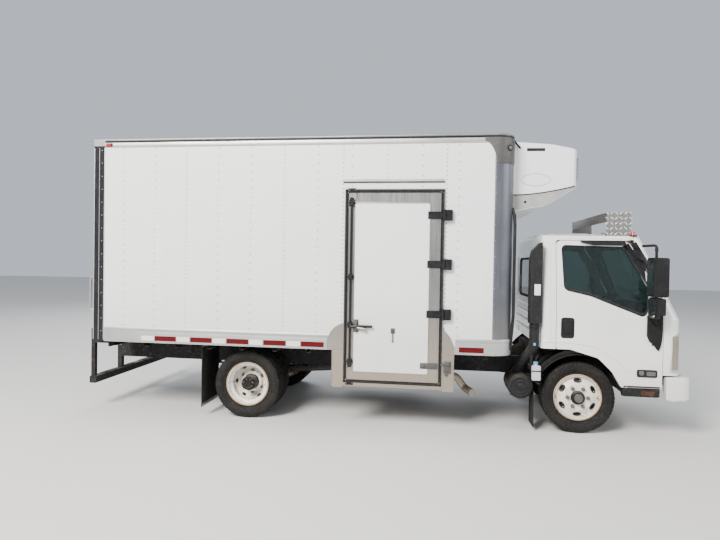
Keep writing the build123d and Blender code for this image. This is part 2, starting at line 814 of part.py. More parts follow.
def side_door_frame():
    """The metal portal round the door, with the well that drops below the floor to its sill."""
    ring_y = (frame_outer_y, jamb_inner_y)
    ring = block(door_frame_x, ring_y, (well_bottom_z + 20, door_frame_top))
    ring -= block((door_x[0] - door_gap, door_x[1] + door_gap), (ring_y[0] - 5, ring_y[1] + 5),
                  (door_bottom_z - door_gap, door_top_z + door_gap))
    wall = 20
    well_y = (frame_outer_y, -body_half_width + well_depth)
    well = block((door_frame_x[0] - 1, door_frame_x[1] + 1), (jamb_inner_y, well_y[1]),
                 (well_bottom_z, body_floor_z - 1))
    well -= block((door_x[0] - door_gap, door_x[1] + door_gap), (jamb_inner_y - 5, well_y[1] - wall),
                  (door_bottom_z - door_gap, body_floor_z + 5))
    step_z = (door_bottom_z + body_floor_z + floor_depth) / 2
    step = block((door_x[0] - door_gap, door_x[1] + door_gap), (well_y[1] - 250, well_y[1] - wall),
                 (step_z - 30, step_z))
    apron = end_apron()
    return ring + well + step + apron


def end_apron():
    """Wings beside the lower doorway that curve down from the wall to the well."""
    wing_top = 1170
    wings = None
    for x_inner, sign in ((door_frame_x[0], -1), (door_frame_x[1], 1)):
        x_outer = x_inner + sign * well_half_extra
        points = [
            (x_inner, well_bottom_z), (x_outer, well_bottom_z), (x_outer, 980),
            (x_inner + sign * 20, 1010), (x_inner + sign * 14, wing_top), (x_inner, wing_top),
        ]
        face = outline(points, (0, 20, 30, 90, 0, 0))
        wing = side_prism(face, -body_half_width - 10, -body_half_width)
        wings = wing if wings is None else wings + wing
    return wings


save("side_door_frame", side_door_frame())

plug_inset = 40


def side_door():
    """An insulated door: a proud skin with a plug that fits inside the frame, and hinge knuckles."""
    skin = block(door_x, (door_face_y, door_face_y + door_skin), (door_bottom_z, door_top_z))
    plug = block((door_x[0] + plug_inset, door_x[1] - plug_inset),
                 (door_face_y + door_skin, jamb_inner_y),
                 (door_bottom_z + plug_inset, door_top_z - plug_inset))
    panel_x = (door_x[0] + 82, door_x[1] - 124)
    panel = block(panel_x, (door_face_y - 4, door_face_y), (door_bottom_z + 98, door_top_z - 124))
    return skin + plug + panel


save("side_door", side_door())

hinge_pin_x = door_hinge_edge_x + 28
hinge_pin_y = frame_outer_y - hinge_pin_out
hinge_height = 118
strap_reach = 180
fixed_reach = 88


def side_door_hinges():
    """The door's three hinge straps with the middle barrel on each pin."""
    straps = []
    for z in hinge_heights:
        strap = block((hinge_pin_x - strap_reach, hinge_pin_x - 16), (door_face_y - 12, door_face_y - 4.0),
                      (z - 40, z + 40))
        barrel = rod((hinge_pin_x, hinge_pin_y, z - 24), (hinge_pin_x, hinge_pin_y, z + 24), 16)
        link = block((hinge_pin_x - 40, hinge_pin_x), (hinge_pin_y + 6, door_face_y - 4.0), (z - 24, z + 24))
        strap = strap + link + barrel
        strap -= rod((hinge_pin_x, hinge_pin_y, z - 60), (hinge_pin_x, hinge_pin_y, z + 60),
                     hinge_pin_radius + bore_gap)
        straps.append(strap)
    return straps


def fixed_hinges():
    """The fixed leaves on the body, with the pins and the outer barrels."""
    leaves = []
    for z in hinge_heights:
        leaf_plate = block((hinge_pin_x + 8, hinge_pin_x + fixed_reach), (hinge_pin_y - 6, -body_half_width),
                           (z - hinge_height / 2, z + hinge_height / 2))
        leaf_plate -= block((hinge_pin_x - 40, hinge_pin_x + 22), (hinge_pin_y - 40, hinge_pin_y + 60),
                            (z - 26, z + 26))
        for low, high in ((z - 59, z - 25), (z + 25, z + 59)):
            leaf_plate += rod((hinge_pin_x, hinge_pin_y, low), (hinge_pin_x, hinge_pin_y, high), 16)
        leaf_plate += rod((hinge_pin_x, hinge_pin_y, z - 59), (hinge_pin_x, hinge_pin_y, z + 59),
                          hinge_pin_radius)
        leaves.append(leaf_plate)
    return leaves


lock_rod_x = door_x[0] + 46
lock_rod_y = door_face_y - 22
handle_z = 1162


def side_door_latch():
    """The lock rod with its guides and cams, and the lever handle on its pivot."""
    bar = rod((lock_rod_x, lock_rod_y, 700), (lock_rod_x, lock_rod_y, 2600), 12)
    for z in (760, 1174, 1712, 2540):
        bar += block((lock_rod_x - 24, lock_rod_x + 24), (door_face_y - 38, door_face_y), (z - 30, z + 30))
    handle = rod((lock_rod_x, lock_rod_y, handle_z), (lock_rod_x + 180, lock_rod_y - 26, handle_z - 30), 14)
    handle += block((lock_rod_x + 90, lock_rod_x + 130), (lock_rod_y - 16, door_face_y - 4.0),
                    (handle_z - 36, handle_z - 4))
    return bar + handle


save("side_door_hinges", *side_door_hinges())
save("side_door_latch", side_door_latch())
save("body_hinges", *fixed_hinges())


# Cooling unit

def cooling_unit():
    """The moulded cover of the unit: flat at the back, full at the top, drawn up to the nose."""
    back = body_front_x
    front = unit_front_x
    profile = outline([
        (back, unit_bottom_z), (back + 370, unit_bottom_z + 66), (front - 12, 2787), (front, 3165),
        (back + 420, unit_top_z - 30), (back, unit_top_z),
    ], (0, 160, 60, 60, 600, 0))
    body = side_prism(profile, -unit_half_width, unit_half_width)
    plan = outline([
        (back, -unit_half_width), (front - 60, -unit_half_width + 20), (front, -380), (front, 380),
        (front - 60, unit_half_width - 20), (back, unit_half_width),
    ], (0, 110, 900, 900, 110, 0))
    body &= plan_prism(plan, unit_bottom_z - 5, unit_top_z + 5)
    grille = outline([
        (-grille_half_width, grille_low), (grille_half_width, grille_low),
        (grille_half_width, grille_high), (-grille_half_width, grille_high),
    ], (40, 40, 40, 40))
    return body - end_prism(grille, front - grille_depth, front + 20)


save("refrigeration_unit", cooling_unit())


# Cab

# Plan sections of the cab: height, front of the section at the centre, half width
cab_sections = (
    (500, front_end_x - 52, cab_half_width - 6),
    (1310, front_end_x - 66, cab_half_width),
    (2330, front_end_x - 512, cab_half_width - 118),
)
cab_bow = 62
cab_front_corner = 125
cab_rear_corner = 70
roof_crown = 75


def cab_form(inset):
    """The outer form of the cab, or the same form drawn in by the inset."""
    faces = []
    for z, front_x, half_width in cab_sections:
        half = half_width - inset
        front = front_x - inset
        rear = cab_rear_x + inset
        points = [
            (rear, -half), (front - cab_bow, -half), (front, -half * 0.45), (front, half * 0.45),
            (front - cab_bow, half), (rear, half),
        ]
        corner = cab_front_corner - inset
        radii = (cab_rear_corner - inset, corner, 2400, 2400, corner, cab_rear_corner - inset)
        faces.append(Pos(0, 0, z) * outline(points, radii))
    form = loft(faces, ruled=True)
    top = cab_roof_z - inset
    edge = cab_half_width - 118 - inset
    crown_face = outline([
        (-cab_half_width - 50, 400), (cab_half_width + 50, 400),
        (cab_half_width + 50, top - roof_crown - 40), (edge, top - roof_crown), (0, top + 8),
        (-edge, top - roof_crown), (-cab_half_width - 50, top - roof_crown - 40),
    ], (0, 0, 0, 60, 5000, 60, 0))
    form &= end_prism(crown_face, cab_rear_x - 50, front_end_x + 50)
    roof_face = outline([
        (cab_rear_x + inset, 400), (cab_rear_x + inset, top - 40), (cab_rear_x + 260, top + 10),
        (front_axle_x + 570, top + 10), (front_axle_x + 780, top - 140), (front_end_x + 60, top - 700),
        (front_end_x + 60, 400),
    ], (0, 110 - inset, 600, 340, 200, 0, 0))
    form &= side_prism(roof_face, -cab_half_width - 20, cab_half_width + 20)
    return form


cab_outer = cab_form(0)
cab_inner = cab_form(cab_wall)
cab_shell = cab_outer - cab_inner

# The wheel arch's edge, from its crown down to the step
arch_points = (
    (front_axle_x - 119, cab_arch_z), (front_axle_x + 178, 869), (front_axle_x + 327, 721),
    (front_axle_x + 421, cab_door_bottom_z),
)
pillar_top_x = cab_door_front_x - 345
pillar_bottom_z = 1500


def door_outline():
    """The door's outline, as seen from the side."""
    return [
        (cab_door_rear_x, cab_arch_z), (arch_points[0][0], cab_arch_z), arch_points[1], arch_points[2],
        (arch_points[3][0], cab_door_bottom_z), (cab_door_front_x, cab_door_bottom_z),
        (cab_door_front_x, pillar_bottom_z), (pillar_top_x, cab_door_top_z),
        (cab_door_rear_x, cab_door_top_z),
    ]


door_radii = (20, 160, 120, 60, 20, 30, 60, 70, 50)
door_face = outline(door_outline(), door_radii)
window_face = outline([
    (front_axle_x - 218, 2112), (front_axle_x - 190, 1607), (front_axle_x + 90, 1544),
    (front_axle_x + 680, 1312), (front_axle_x + 700, 1628), (front_axle_x + 441, 2094),
], (50, 70, 120, 60, 60, 60))
right_side = (-cab_half_width - 30, -600)
arch_opening = outline([
    (cab_rear_x - 200, 300), (arch_points[3][0], 300), arch_points[3], arch_points[2], arch_points[1],
    arch_points[0], (cab_rear_x - 200, cab_arch_z),
], (0, 0, 60, 120, 160, 0, 0))
lip_face = offset(arch_opening, amount=arch_lip_width, kind=Kind.ARC) - arch_opening
arch_lip = (cab_form(-arch_lip_rise) - cab_outer) & side_prism(lip_face, *right_side)
door_solid = cab_shell & side_prism(door_face, *right_side)
door_solid += arch_lip & side_prism(door_face, *right_side)
door_solid -= side_prism(window_face, *right_side)
glass_shell = cab_form(14) - cab_form(20)
door_pane = glass_shell & side_prism(window_face, *right_side)
for side, panel, pane in zip(("right", "left"), both_sides(door_solid), both_sides(door_pane)):
    save(f"cab_door_{side}", panel)
    save(f"door_glass_{side}", pane)

split_z = cab_door_top_z + cab_door_gap
above = block((cab_rear_x - 50, front_end_x + 50), (-1200, 1200), (split_z, cab_roof_z + 50))
save("cab_roof", cab_shell & above)

rear_face = outline([
    (cab_rear_x - 50, cab_arch_z), (cab_door_rear_x - cab_door_gap, cab_arch_z),
    (cab_door_rear_x - cab_door_gap, split_z), (cab_rear_x - 50, split_z),
])
back_wall = cab_shell & side_prism(rear_face, -1200, 1200)
rear_lips = both_sides(arch_lip & side_prism(rear_face, *right_side))
back_wall = back_wall + rear_lips[0] + rear_lips[1]
rear_window = outline([(-560, 1480), (560, 1480), (540, 1960), (-540, 1960)], (70, 70, 70, 70))
rear_window_cut = end_prism(rear_window, cab_rear_x - 20, cab_rear_x + 200)
seal_outer = cab_form(cab_wall + seat_gap)
seal_inner = cab_form(cab_wall + 12)
stop_z = (cab_arch_z + 20, cab_door_top_z)
stop_root_x = (cab_door_rear_x - 60, cab_door_rear_x - cab_door_gap)
stop_lip_x = (cab_door_rear_x - cab_door_gap, cab_door_rear_x + 22)
stop_sides = None
for y_span in ((-cab_half_width, -700), (700, cab_half_width)):
    root = (cab_outer - seal_inner) & block(stop_root_x, y_span, stop_z)
    lip = (seal_outer - seal_inner) & block(stop_lip_x, y_span, stop_z)
    stop_sides = root + lip if stop_sides is None else stop_sides + root + lip
save("cab_back_wall", back_wall + stop_sides - rear_window_cut)

front_edge = cab_door_front_x + cab_door_gap
front_face = outline([
    (front_edge, cab_front_bottom_z), (front_end_x + 50, cab_front_bottom_z),
    (front_end_x + 50, split_z), (pillar_top_x + 2 * cab_door_gap, split_z),
    (front_edge + 4, pillar_bottom_z + 2 * cab_door_gap), (front_edge, pillar_bottom_z),
])
windscreen = outline([
    (-900, 1405), (900, 1405), (780, 2108), (-780, 2108),
], (100, 100, 100, 100))
windscreen_cut = end_prism(windscreen, front_axle_x + 520, front_end_x + 50)
front_panel = cab_shell & side_prism(front_face, -1200, 1200)
nose_slot = outline([(-620, 1030), (620, 1030), (620, 1165), (-620, 1165)], (30, 30, 30, 30))
nose_slot_cut = end_prism(nose_slot, front_end_x - 84, front_end_x + 50)
save("cab_front", front_panel - windscreen_cut - nose_slot_cut)
pane_shell = cab_form(6) - cab_form(13)
save("cab_glass", pane_shell & windscreen_cut, pane_shell & rear_window_cut)

# Floor: raised over the wheels, low at the feet, with a tunnel over the frame
floor_half = cab_half_width - cab_wall - 22
well_z = 600
tunnel_z = 800
plate = cab_floor_plate


def floor_strip(points, y_low, y_high):
    """A bent sheet along the given line, as thick as the floor plate."""
    upper = [(x, z + plate) for x, z in reversed(points)]
    return side_prism(outline(list(points) + upper), y_low, y_high)


def cab_floor():
    """One pressed floor: a platform under the seats, footwells and the tunnel between them."""
    rear = cab_rear_x + cab_wall
    front = front_end_x - 195
    well_line = [
        (rear, platform_z), (front_axle_x + 195, platform_z), (front_axle_x + 510, well_z),
        (front, well_z), (front_end_x - 110, well_z + 300),
    ]
    tunnel_line = [
        (rear, platform_z), (front_axle_x + 500, platform_z), (front_axle_x + 620, tunnel_z),
        (front_end_x - 115, tunnel_z), (front_end_x - 100, tunnel_z + 60),
    ]
    floor = floor_strip(well_line, -floor_half, floor_half)
    hollow = block((rear - 5, front_end_x), (-tunnel_half_width, tunnel_half_width), (400, 1200))
    floor -= hollow
    floor += floor_strip(tunnel_line, -tunnel_half_width, tunnel_half_width)
    for y in (-tunnel_half_width - plate, tunnel_half_width):
        wall_face = outline([
            (front_axle_x + 195, platform_z + plate), (front_axle_x + 500, platform_z + plate),
            (front_axle_x + 620, tunnel_z + plate), (front_end_x - 112, tunnel_z + plate),
            (front_end_x - 195, well_z), (front_axle_x + 510, well_z), (front_axle_x + 195, platform_z),
        ])
        floor += side_prism(wall_face, y, y + plate)
    return floor & cab_form(cab_wall + seat_gap)


def tilt_lug(y_low, y_high):
    """An arm under the tunnel's front end with an eye on the tilt pin."""
    x, z = tilt_pivot_x, tilt_pivot_z
    arm = side_prism(outline([
        (x - 92, tunnel_z), (x - 36, tunnel_z), (x - 24, z + 22), (x - 16, z + 12), (x, z - tilt_eye_radius),
        (x - 22, z - 8),
    ]), y_low, y_high)
    eye = rod((x, y_low, z), (x, y_high, z), tilt_eye_radius)
    hole = rod((x, y_low - 1, z), (x, y_high + 1, z), tilt_pin_radius + pin_clearance)
    return arm + eye - hole


lug_low, lug_high = tilt_lug_y
save("cab_floor", cab_floor() + tilt_lug(lug_low, lug_high) + tilt_lug(-lug_high, -lug_low))

# Wheel arch liners with the steps ahead of them
liner_inner_y = 560
liner_outer_y = cab_half_width - cab_wall - 12
step_top = 560
step_bottom = 462


def arch_liner():
    """A curved liner over the right front tyre and the step box ahead of it."""
    ring = Pos(front_axle_x, tyre_radius) * (Circle(arch_liner_radius + 8) - Circle(arch_liner_radius))
    keep = Pos((cab_rear_x + front_axle_x + 600) / 2, 560 + 300) * Rectangle(
        front_axle_x + 600 - cab_rear_x, 600)
    liner = side_prism(ring & keep, -liner_outer_y, -liner_inner_y)
    tie = block((front_axle_x - 200, front_axle_x + 100), (-700, -640), (tyre_radius + arch_liner_radius,
                                                                       platform_z))
    tie -= side_prism(Pos(front_axle_x, tyre_radius) * Circle(arch_liner_radius + 2), -720, -620)
    step_plan = outline([
        (front_axle_x + 500, -760), (front_axle_x + 430, -1020), (cab_door_front_x - 10, -1020),
        (cab_door_front_x + 30, -760),
    ], (10, 30, 60, 10))
    step = plan_prism(step_plan, step_bottom, step_top - 8)
    step -= plan_prism(offset(step_plan, amount=-18), step_bottom + 18, step_top)
    post = block((front_axle_x + 520, front_axle_x + 560), (-790, -760), (step_bottom, well_z))
    return liner + tie, step + post


liner_solid, step_solid = arch_liner()
save("arch_liners", *both_sides(liner_solid))
save("cab_steps", *both_sides(step_solid))

# Lamps, mirrors and the tray on the roof
lamp_face = outline([(front_end_x - 240, 740), (front_end_x + 20, 740), (front_end_x + 20, 1165),
                     (front_end_x - 190, 1165)], (30, 0, 0, 60))
lamp_zone = side_prism(lamp_face, -cab_half_width - 20, -660)
lamp = (cab_form(-6) - cab_form(0)) & lamp_zone
save("headlamps", *both_sides(lamp))

mirror_x = front_axle_x + 665
mirror_base_setback = 30


def mirror_assembly():
    """The right mirror: a tall head over a round one, on two arms from the door's front edge."""
    head = plan_prism(outline([
        (mirror_x - 20, -1270), (mirror_x + 70, -1262), (mirror_x + 95, -1150), (mirror_x + 70, -1070),
        (mirror_x - 20, -1070),
    ], (14, 40, 40, 40, 14)), 1565, 1976)
    lower = plan_prism(outline([
        (mirror_x, -1245), (mirror_x + 60, -1240), (mirror_x + 80, -1150), (mirror_x + 60, -1080),
        (mirror_x, -1080),
    ], (14, 30, 30, 30, 14)), 1335, 1555)
    stem = rod((mirror_x + 60, -1100, 1330), (mirror_x + 60, -1100, 2070), 14)
    root_x = mirror_x + 100
    upper_arm = bent_tube([
        (mirror_x + 60, -1100, 2060), (mirror_x + 60, -1100, 2110), (root_x - 130, -955, 2105),
    ], (30,), 14)
    lower_arm = bent_tube([
        (mirror_x + 60, -1100, 1340), (mirror_x + 60, -1100, 1290), (root_x + 20, -1015, 1240),
    ], (30,), 14)
    garnish = cab_form(-16) - cab_form(0)
    base_x = (root_x - 40, cab_door_front_x - mirror_base_setback)
    base = garnish & block(base_x, (-cab_half_width - 40, -900), (1030, 1300))
    return head + lower + stem, upper_arm, lower_arm, base


mirror_parts = mirror_assembly()
mirror_solid = mirror_parts[0] + mirror_parts[1] + mirror_parts[2] + mirror_parts[3]
mirror_solid -= cab_outer
for side, piece in zip(("right", "left"), both_sides(mirror_solid)):
    save(f"mirror_{side}", piece)

tray_x = (front_axle_x + 310, front_axle_x + 572)
tray_half = 775
tray_top = 2487
tray_sheet = 4


def roof_tray():
    """A bent tread-plate shroud across the cab roof, open at its ends."""
    low = cab_roof_z - roof_crown - 6
    tray = block(tray_x, (-tray_half, tray_half), (low, tray_top))
    tray -= block((tray_x[0] - 5, tray_x[1] + 5), (-tray_half + tray_sheet, tray_half - tray_sheet),
                  (low - 5, tray_top - tray_sheet))
    lip = block((tray_x[0], tray_x[0] + tray_sheet), (-tray_half, tray_half), (tray_top - 105, tray_top))
    foot = None
    for y in (-tray_half, tray_half - 40):
        piece = block(tray_x, (y, y + 40), (low, low + tray_sheet))
        foot = piece if foot is None else foot + piece
    return tray + lip + foot - cab_outer


save("roof_tray", roof_tray())

# Inside the cab
seat_y = 520
seat_half = 240


def seat(y):
    """One seat: a cushion, a leaning back and a head rest."""
    x = front_axle_x - 60
    base = platform_z + plate
    cushion = side_prism(outline([
        (x - 250, base), (x + 260, base), (x + 270, base + 160), (x - 250, base + 130),
    ], (20, 40, 60, 20)), y - seat_half, y + seat_half)
    back = side_prism(outline([
        (x - 250, base + 120), (x - 120, base + 120), (x - 195, base + 720), (x - 300, base + 720),
    ], (20, 20, 40, 30)), y - seat_half, y + seat_half)
    head = side_prism(outline([
        (x - 300, base + 715), (x - 210, base + 715), (x - 225, base + 890), (x - 300, base + 890),
    ], (10, 10, 30, 30)), y - 130, y + 130)
    return cushion + back + head


save("seats", seat(-seat_y), seat(seat_y))

dash_rear = front_end_x - 420


def dashboard():
    """The instrument panel across the cab, under the windscreen."""
    profile = outline([
        (dash_rear + 60, 1010), (front_end_x - 130, 1010), (front_end_x - 130, 1330),
        (dash_rear + 40, 1370), (dash_rear, 1300),
    ], (30, 0, 0, 50, 40))
    panel = side_prism(profile, -floor_half + 10, floor_half - 10)
    return panel & cab_form(cab_wall + 1)


dashboard_solid = dashboard()
save("dashboard", dashboard_solid)

wheel_centre = Vector(dash_rear - 90, seat_y, 1390)


def steering_wheel():
    """The rim, spokes and column in front of the driver, on the left."""
    tilt = Rot(0, -30, 0)
    rim_ring = Torus(220, 15)
    hub = Cylinder(48, 40)
    spokes = Box(28, 430, 14) + Pos(105, 0, 0) * Box(210, 28, 14)
    column = Pos(0, 0, -130) * Cylinder(24, 250)
    whole = rim_ring + hub + spokes + column
    return Pos(wheel_centre.X, wheel_centre.Y, wheel_centre.Z) * (tilt * whole)


save("steering_wheel", steering_wheel() - dashboard_solid)
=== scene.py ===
import math

import bmesh
import bpy
from mathutils import Matrix, Vector
from mathutils.bvhtree import BVHTree


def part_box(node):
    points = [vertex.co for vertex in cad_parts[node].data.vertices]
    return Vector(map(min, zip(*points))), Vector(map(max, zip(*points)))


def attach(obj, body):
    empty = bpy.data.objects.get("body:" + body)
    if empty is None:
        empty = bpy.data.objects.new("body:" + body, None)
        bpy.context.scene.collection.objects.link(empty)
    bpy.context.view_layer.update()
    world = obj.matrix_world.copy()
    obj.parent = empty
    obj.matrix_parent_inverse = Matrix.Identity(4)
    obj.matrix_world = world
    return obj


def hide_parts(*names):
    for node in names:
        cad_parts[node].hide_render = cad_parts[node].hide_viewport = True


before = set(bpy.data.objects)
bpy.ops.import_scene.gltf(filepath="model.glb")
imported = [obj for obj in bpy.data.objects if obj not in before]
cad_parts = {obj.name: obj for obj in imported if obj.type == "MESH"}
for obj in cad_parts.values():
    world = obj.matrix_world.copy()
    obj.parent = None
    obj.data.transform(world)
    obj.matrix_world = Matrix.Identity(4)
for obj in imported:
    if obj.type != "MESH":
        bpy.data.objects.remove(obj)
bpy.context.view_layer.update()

UP = Vector((0, 0, 1))
RIGHT = Vector((0, -1, 0))
LEFT = Vector((0, 1, 0))
FORWARD = Vector((1, 0, 0))
BACK = Vector((-1, 0, 0))
SIDES = ((-1, "right"), (1, "left"))


# Places on the truck, read from the frame

class Extent:
    """The room that one or more CAD nodes take up, as named edges in metres."""

    def __init__(self, *nodes):
        corners = [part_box(node) for node in nodes]
        self.rear, self.right, self.low = (min(c[0][i] for c in corners) for i in range(3))
        self.front, self.left, self.high = (max(c[1][i] for c in corners) for i in range(3))
        self.middle = Vector((self.rear + self.front, self.right + self.left, self.low + self.high)) / 2


class Skin:
    """The outside of some CAD nodes, for setting a piece down on it."""

    def __init__(self, *nodes):
        mesh = bmesh.new()
        for node in nodes:
            mesh.from_mesh(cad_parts[node].data)
        self.tree = BVHTree.FromBMesh(mesh)
        mesh.free()

    def hit(self, start, direction):
        place, normal, _, _ = self.tree.ray_cast(Vector(start), Vector(direction))
        if place is None:
            place, normal, _, _ = self.tree.find_nearest(Vector(start))
        return place, normal

    def beside(self, x, z, out=0.0, side=-1):
        """The point on the side at x and z, pushed outward."""
        place, _ = self.hit((x, side * 3, z), (0, -side, 0))
        return Vector((x, place.y + side * out, z))

    def ahead(self, y, z, out=0.0):
        """The point on the front at y and z, pushed forward."""
        place, _ = self.hit((6, y, z), BACK)
        return Vector((place.x + out, y, z))

    def above(self, x, y, out=0.0):
        place, _ = self.hit((x, y, 6), (0, 0, -1))
        return Vector((x, y, place.z + out))


# Shapes made by hand

def rounded(points, radius, steps=5):
    """A closed outline of 2-D points with each corner turned into an arc."""
    made = []
    count = len(points)
    for index in range(count):
        before, corner, after = (Vector(points[(index + k) % count]) for k in (-1, 0, 1))
        size = radius[index] if isinstance(radius, (list, tuple)) else radius
        into, out = (before - corner).normalized(), (after - corner).normalized()
        half = math.acos(max(-1, min(1, into.dot(out)))) / 2
        if size <= 0 or half < 0.05 or half > 1.55:
            made.append(corner)
            continue
        reach = size / math.tan(half)
        centre = corner + (into + out).normalized() * (size / math.sin(half))
        first = corner + into * reach - centre
        last = corner + out * reach - centre
        turn = first.angle_signed(last)
        for step in range(steps + 1):
            spin = Matrix.Rotation(-turn * step / steps, 2)
            made.append(centre + spin @ first)
    return made


def oblong(left, right, low, high, radius):
    """A rounded rectangle between two edges across and two edges up."""
    return rounded([(left, low), (right, low), (right, high), (left, high)], radius)


def angles(count, shift=0):
    """Even steps round a circle, in radians."""
    return [2 * math.pi * (step + shift) / count for step in range(count)]


def spaced(points, pitch, closed=True):
    """The same line with extra points so that no step is longer than the pitch."""
    made = []
    ends = len(points) if closed else len(points) - 1
    for index in range(ends):
        start, end = Vector(points[index]), Vector(points[(index + 1) % len(points)])
        count = max(1, math.ceil((end - start).length / pitch))
        made += [start.lerp(end, step / count) for step in range(count)]
    if not closed:
        made.append(Vector(points[-1]))
    return made


class Shape:
    """A mesh in the making, in metres, in the truck's own frame."""

    def __init__(self):
        self.mesh = bmesh.new()

    def block(self, x, y, z, soft=0.0, turn=None):
        """A box between (low, high) on each axis, its edges rounded by soft."""
        middle = Vector([(a + b) / 2 for a, b in (x, y, z)])
        size = [abs(b - a) for a, b in (x, y, z)]
        made = bmesh.ops.create_cube(self.mesh, size=1.0)["verts"]
        bmesh.ops.scale(self.mesh, vec=size, verts=made)
        if soft:
            edges = {edge for vert in made for edge in vert.link_edges}
            made = self.soften(edges, soft)
        if turn is not None:
            bmesh.ops.transform(self.mesh, matrix=turn.to_4x4(), verts=made)
        bmesh.ops.translate(self.mesh, vec=middle, verts=made)
        return made

    def soften(self, edges, size, segments=2):
        done = bmesh.ops.bevel(self.mesh, geom=list(edges), offset=size, segments=segments,
                               affect="EDGES", profile=0.5)
        found = set(done["verts"])
        pending = list(found)
        while pending:
            for edge in pending.pop().link_edges:
                for vert in edge.verts:
                    if vert not in found:
                        found.add(vert)
                        pending.append(vert)
        return list(found)

    def loop(self, points):
        return [self.mesh.verts.new(point) for point in points]

    def bridge(self, rings, closed=True, capped=True, joined=False):
        """Quads between successive rings of as many points."""
        pairs = list(zip(rings, rings[1:]))
        if joined:
            pairs.append((rings[-1], rings[0]))
        for first, second in pairs:
            count = len(first)
            for index in range(count if closed else count - 1):
                after = (index + 1) % count
                self.mesh.faces.new((first[index], first[after], second[after], second[index]))
        if capped and closed and not joined:
            self.mesh.faces.new(list(reversed(rings[0])))
            self.mesh.faces.new(rings[-1])

    def tube(self, path, radius, sides=10, joined=False, flat=1.0, capped=True):
        """A tube along a path; radius may be a list, and flat squashes its section."""
        path = [Vector(point) for point in path]
        count = len(path)
        rings = []
        across = None
        for index, point in enumerate(path):
            after = path[(index + 1) % count] if joined else path[min(index + 1, count - 1)]
            before = path[index - 1] if joined or index else path[0]
            along = (after - before).normalized()
            if across is None:
                across = along.cross(UP if abs(along.z) < 0.9 else FORWARD).normalized()
            across = (across - along * across.dot(along)).normalized()
            over = along.cross(across)
            size = radius[index] if isinstance(radius, (list, tuple)) else radius
            rings.append(self.loop([
                point + (across * math.cos(a) + over * flat * math.sin(a)) * size
                for a in angles(sides)
            ]))
        self.bridge(rings, capped=capped, joined=joined)

    def strip(self, path, width, height, out, joined=False, crown=0.3):
        """A moulding along a path: flat underneath, rounded on top; out points away from its seat."""
        path = [Vector(point) for point in path]
        count = len(path)
        section = ((-0.5, 0), (-0.5, 0.55), (-0.5 + crown, 1), (0.5 - crown, 1), (0.5, 0.55), (0.5, 0))
        rings = []
        for index, point in enumerate(path):
            after = path[(index + 1) % count] if joined else path[min(index + 1, count - 1)]
            before = path[index - 1] if joined or index else path[0]
            along = (after - before).normalized()
            up = Vector(out[index]) if isinstance(out, list) else Vector(out)
            up = (up - along * up.dot(along)).normalized()
            across = up.cross(along)
            rings.append(self.loop([point + across * width * a + up * height * b for a, b in section]))
        self.bridge(rings, joined=joined)

    def turned(self, profile, centre, axis=LEFT, steps=48):
        """A solid of revolution from (distance, along the axis), closed if it ends on the axis."""
        centre, axis = Vector(centre), Vector(axis).normalized()
        side = axis.cross(UP if abs(axis.z) < 0.9 else FORWARD).normalized()
        other = axis.cross(side)
        rings = []
        for angle in angles(steps):
            out = side * math.cos(angle) + other * math.sin(angle)
            rings.append([self.mesh.verts.new(centre + out * d + axis * a) for d, a in profile])
        self.bridge(rings, closed=False, capped=False, joined=True)
        bmesh.ops.remove_doubles(self.mesh, verts=[v for ring in rings for v in ring], dist=1e-5)

    def prism(self, outline, low, high, axis="y", soft=0.0):
        """An outline of 2-D points made solid: x and z along y, y and z along x, or x and y along z."""
        def place(point, depth):
            a, b = point[0], point[1]
            return {"y": (a, depth, b), "x": (depth, a, b), "z": (a, b, depth)}[axis]

        bottom = self.loop([place(point, low) for point in outline])
        top = self.loop([place(point, high) for point in outline])
        self.bridge([bottom, top])
        if soft:
            rims = {e for ring in (bottom, top) for v in ring for e in v.link_edges
                    if e.other_vert(v) in ring}
            self.soften(rims, soft, 1)

    def sheet(self, rows, thickness, away):
        """A skin through rows of points, given a thickness in the direction away."""
        away = Vector(away) * thickness
        outer = [self.loop([Vector(p) + away for p in row]) for row in rows]
        inner = [self.loop(row) for row in rows]
        self.bridge(outer, closed=False, capped=False)
        self.bridge([list(reversed(row)) for row in inner], closed=False, capped=False)
        edge_out = outer[0] + [r[-1] for r in outer[1:-1]] + outer[-1][::-1] + [r[0]
            for r in outer[-2:0:-1]]
        edge_in = inner[0] + [r[-1] for r in inner[1:-1]] + inner[-1][::-1] + [r[0]
            for r in inner[-2:0:-1]]
        self.bridge([edge_out, edge_in], capped=False)

    def into_mesh(self, name):
        """Ends the shape as plain mesh data."""
        data = bpy.data.meshes.new(name)
        self.mesh.to_mesh(data)
        self.mesh.free()
        return data

    def also_mirrored(self):
        """Adds the same again on the truck's other side."""
        geometry = self.mesh.verts[:] + self.mesh.edges[:] + self.mesh.faces[:]
        made = bmesh.ops.duplicate(self.mesh, geom=geometry)["geom"]
        verts = [item for item in made if isinstance(item, bmesh.types.BMVert)]
        bmesh.ops.scale(self.mesh, vec=(1, -1, 1), verts=verts)
        return self

    def mirrored(self):
        bmesh.ops.scale(self.mesh, vec=(1, -1, 1), verts=self.mesh.verts[:])
        return self


def linked(name, data):
    """A new object in the scene."""
    made = bpy.data.objects.new(name, data)
    bpy.context.scene.collection.objects.link(made)
    return made


def evaluated(piece):
    """A plain mesh of the piece as its modifiers leave it."""
    return bpy.data.meshes.new_from_object(piece.evaluated_get(bpy.context.evaluated_depsgraph_get()))


def own(piece, body, replaced=()):
    """Fastens a finished piece to its body and hides the CAD nodes that it replaces."""
    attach(piece, body)
    if replaced:
        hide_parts(*replaced)
    return piece


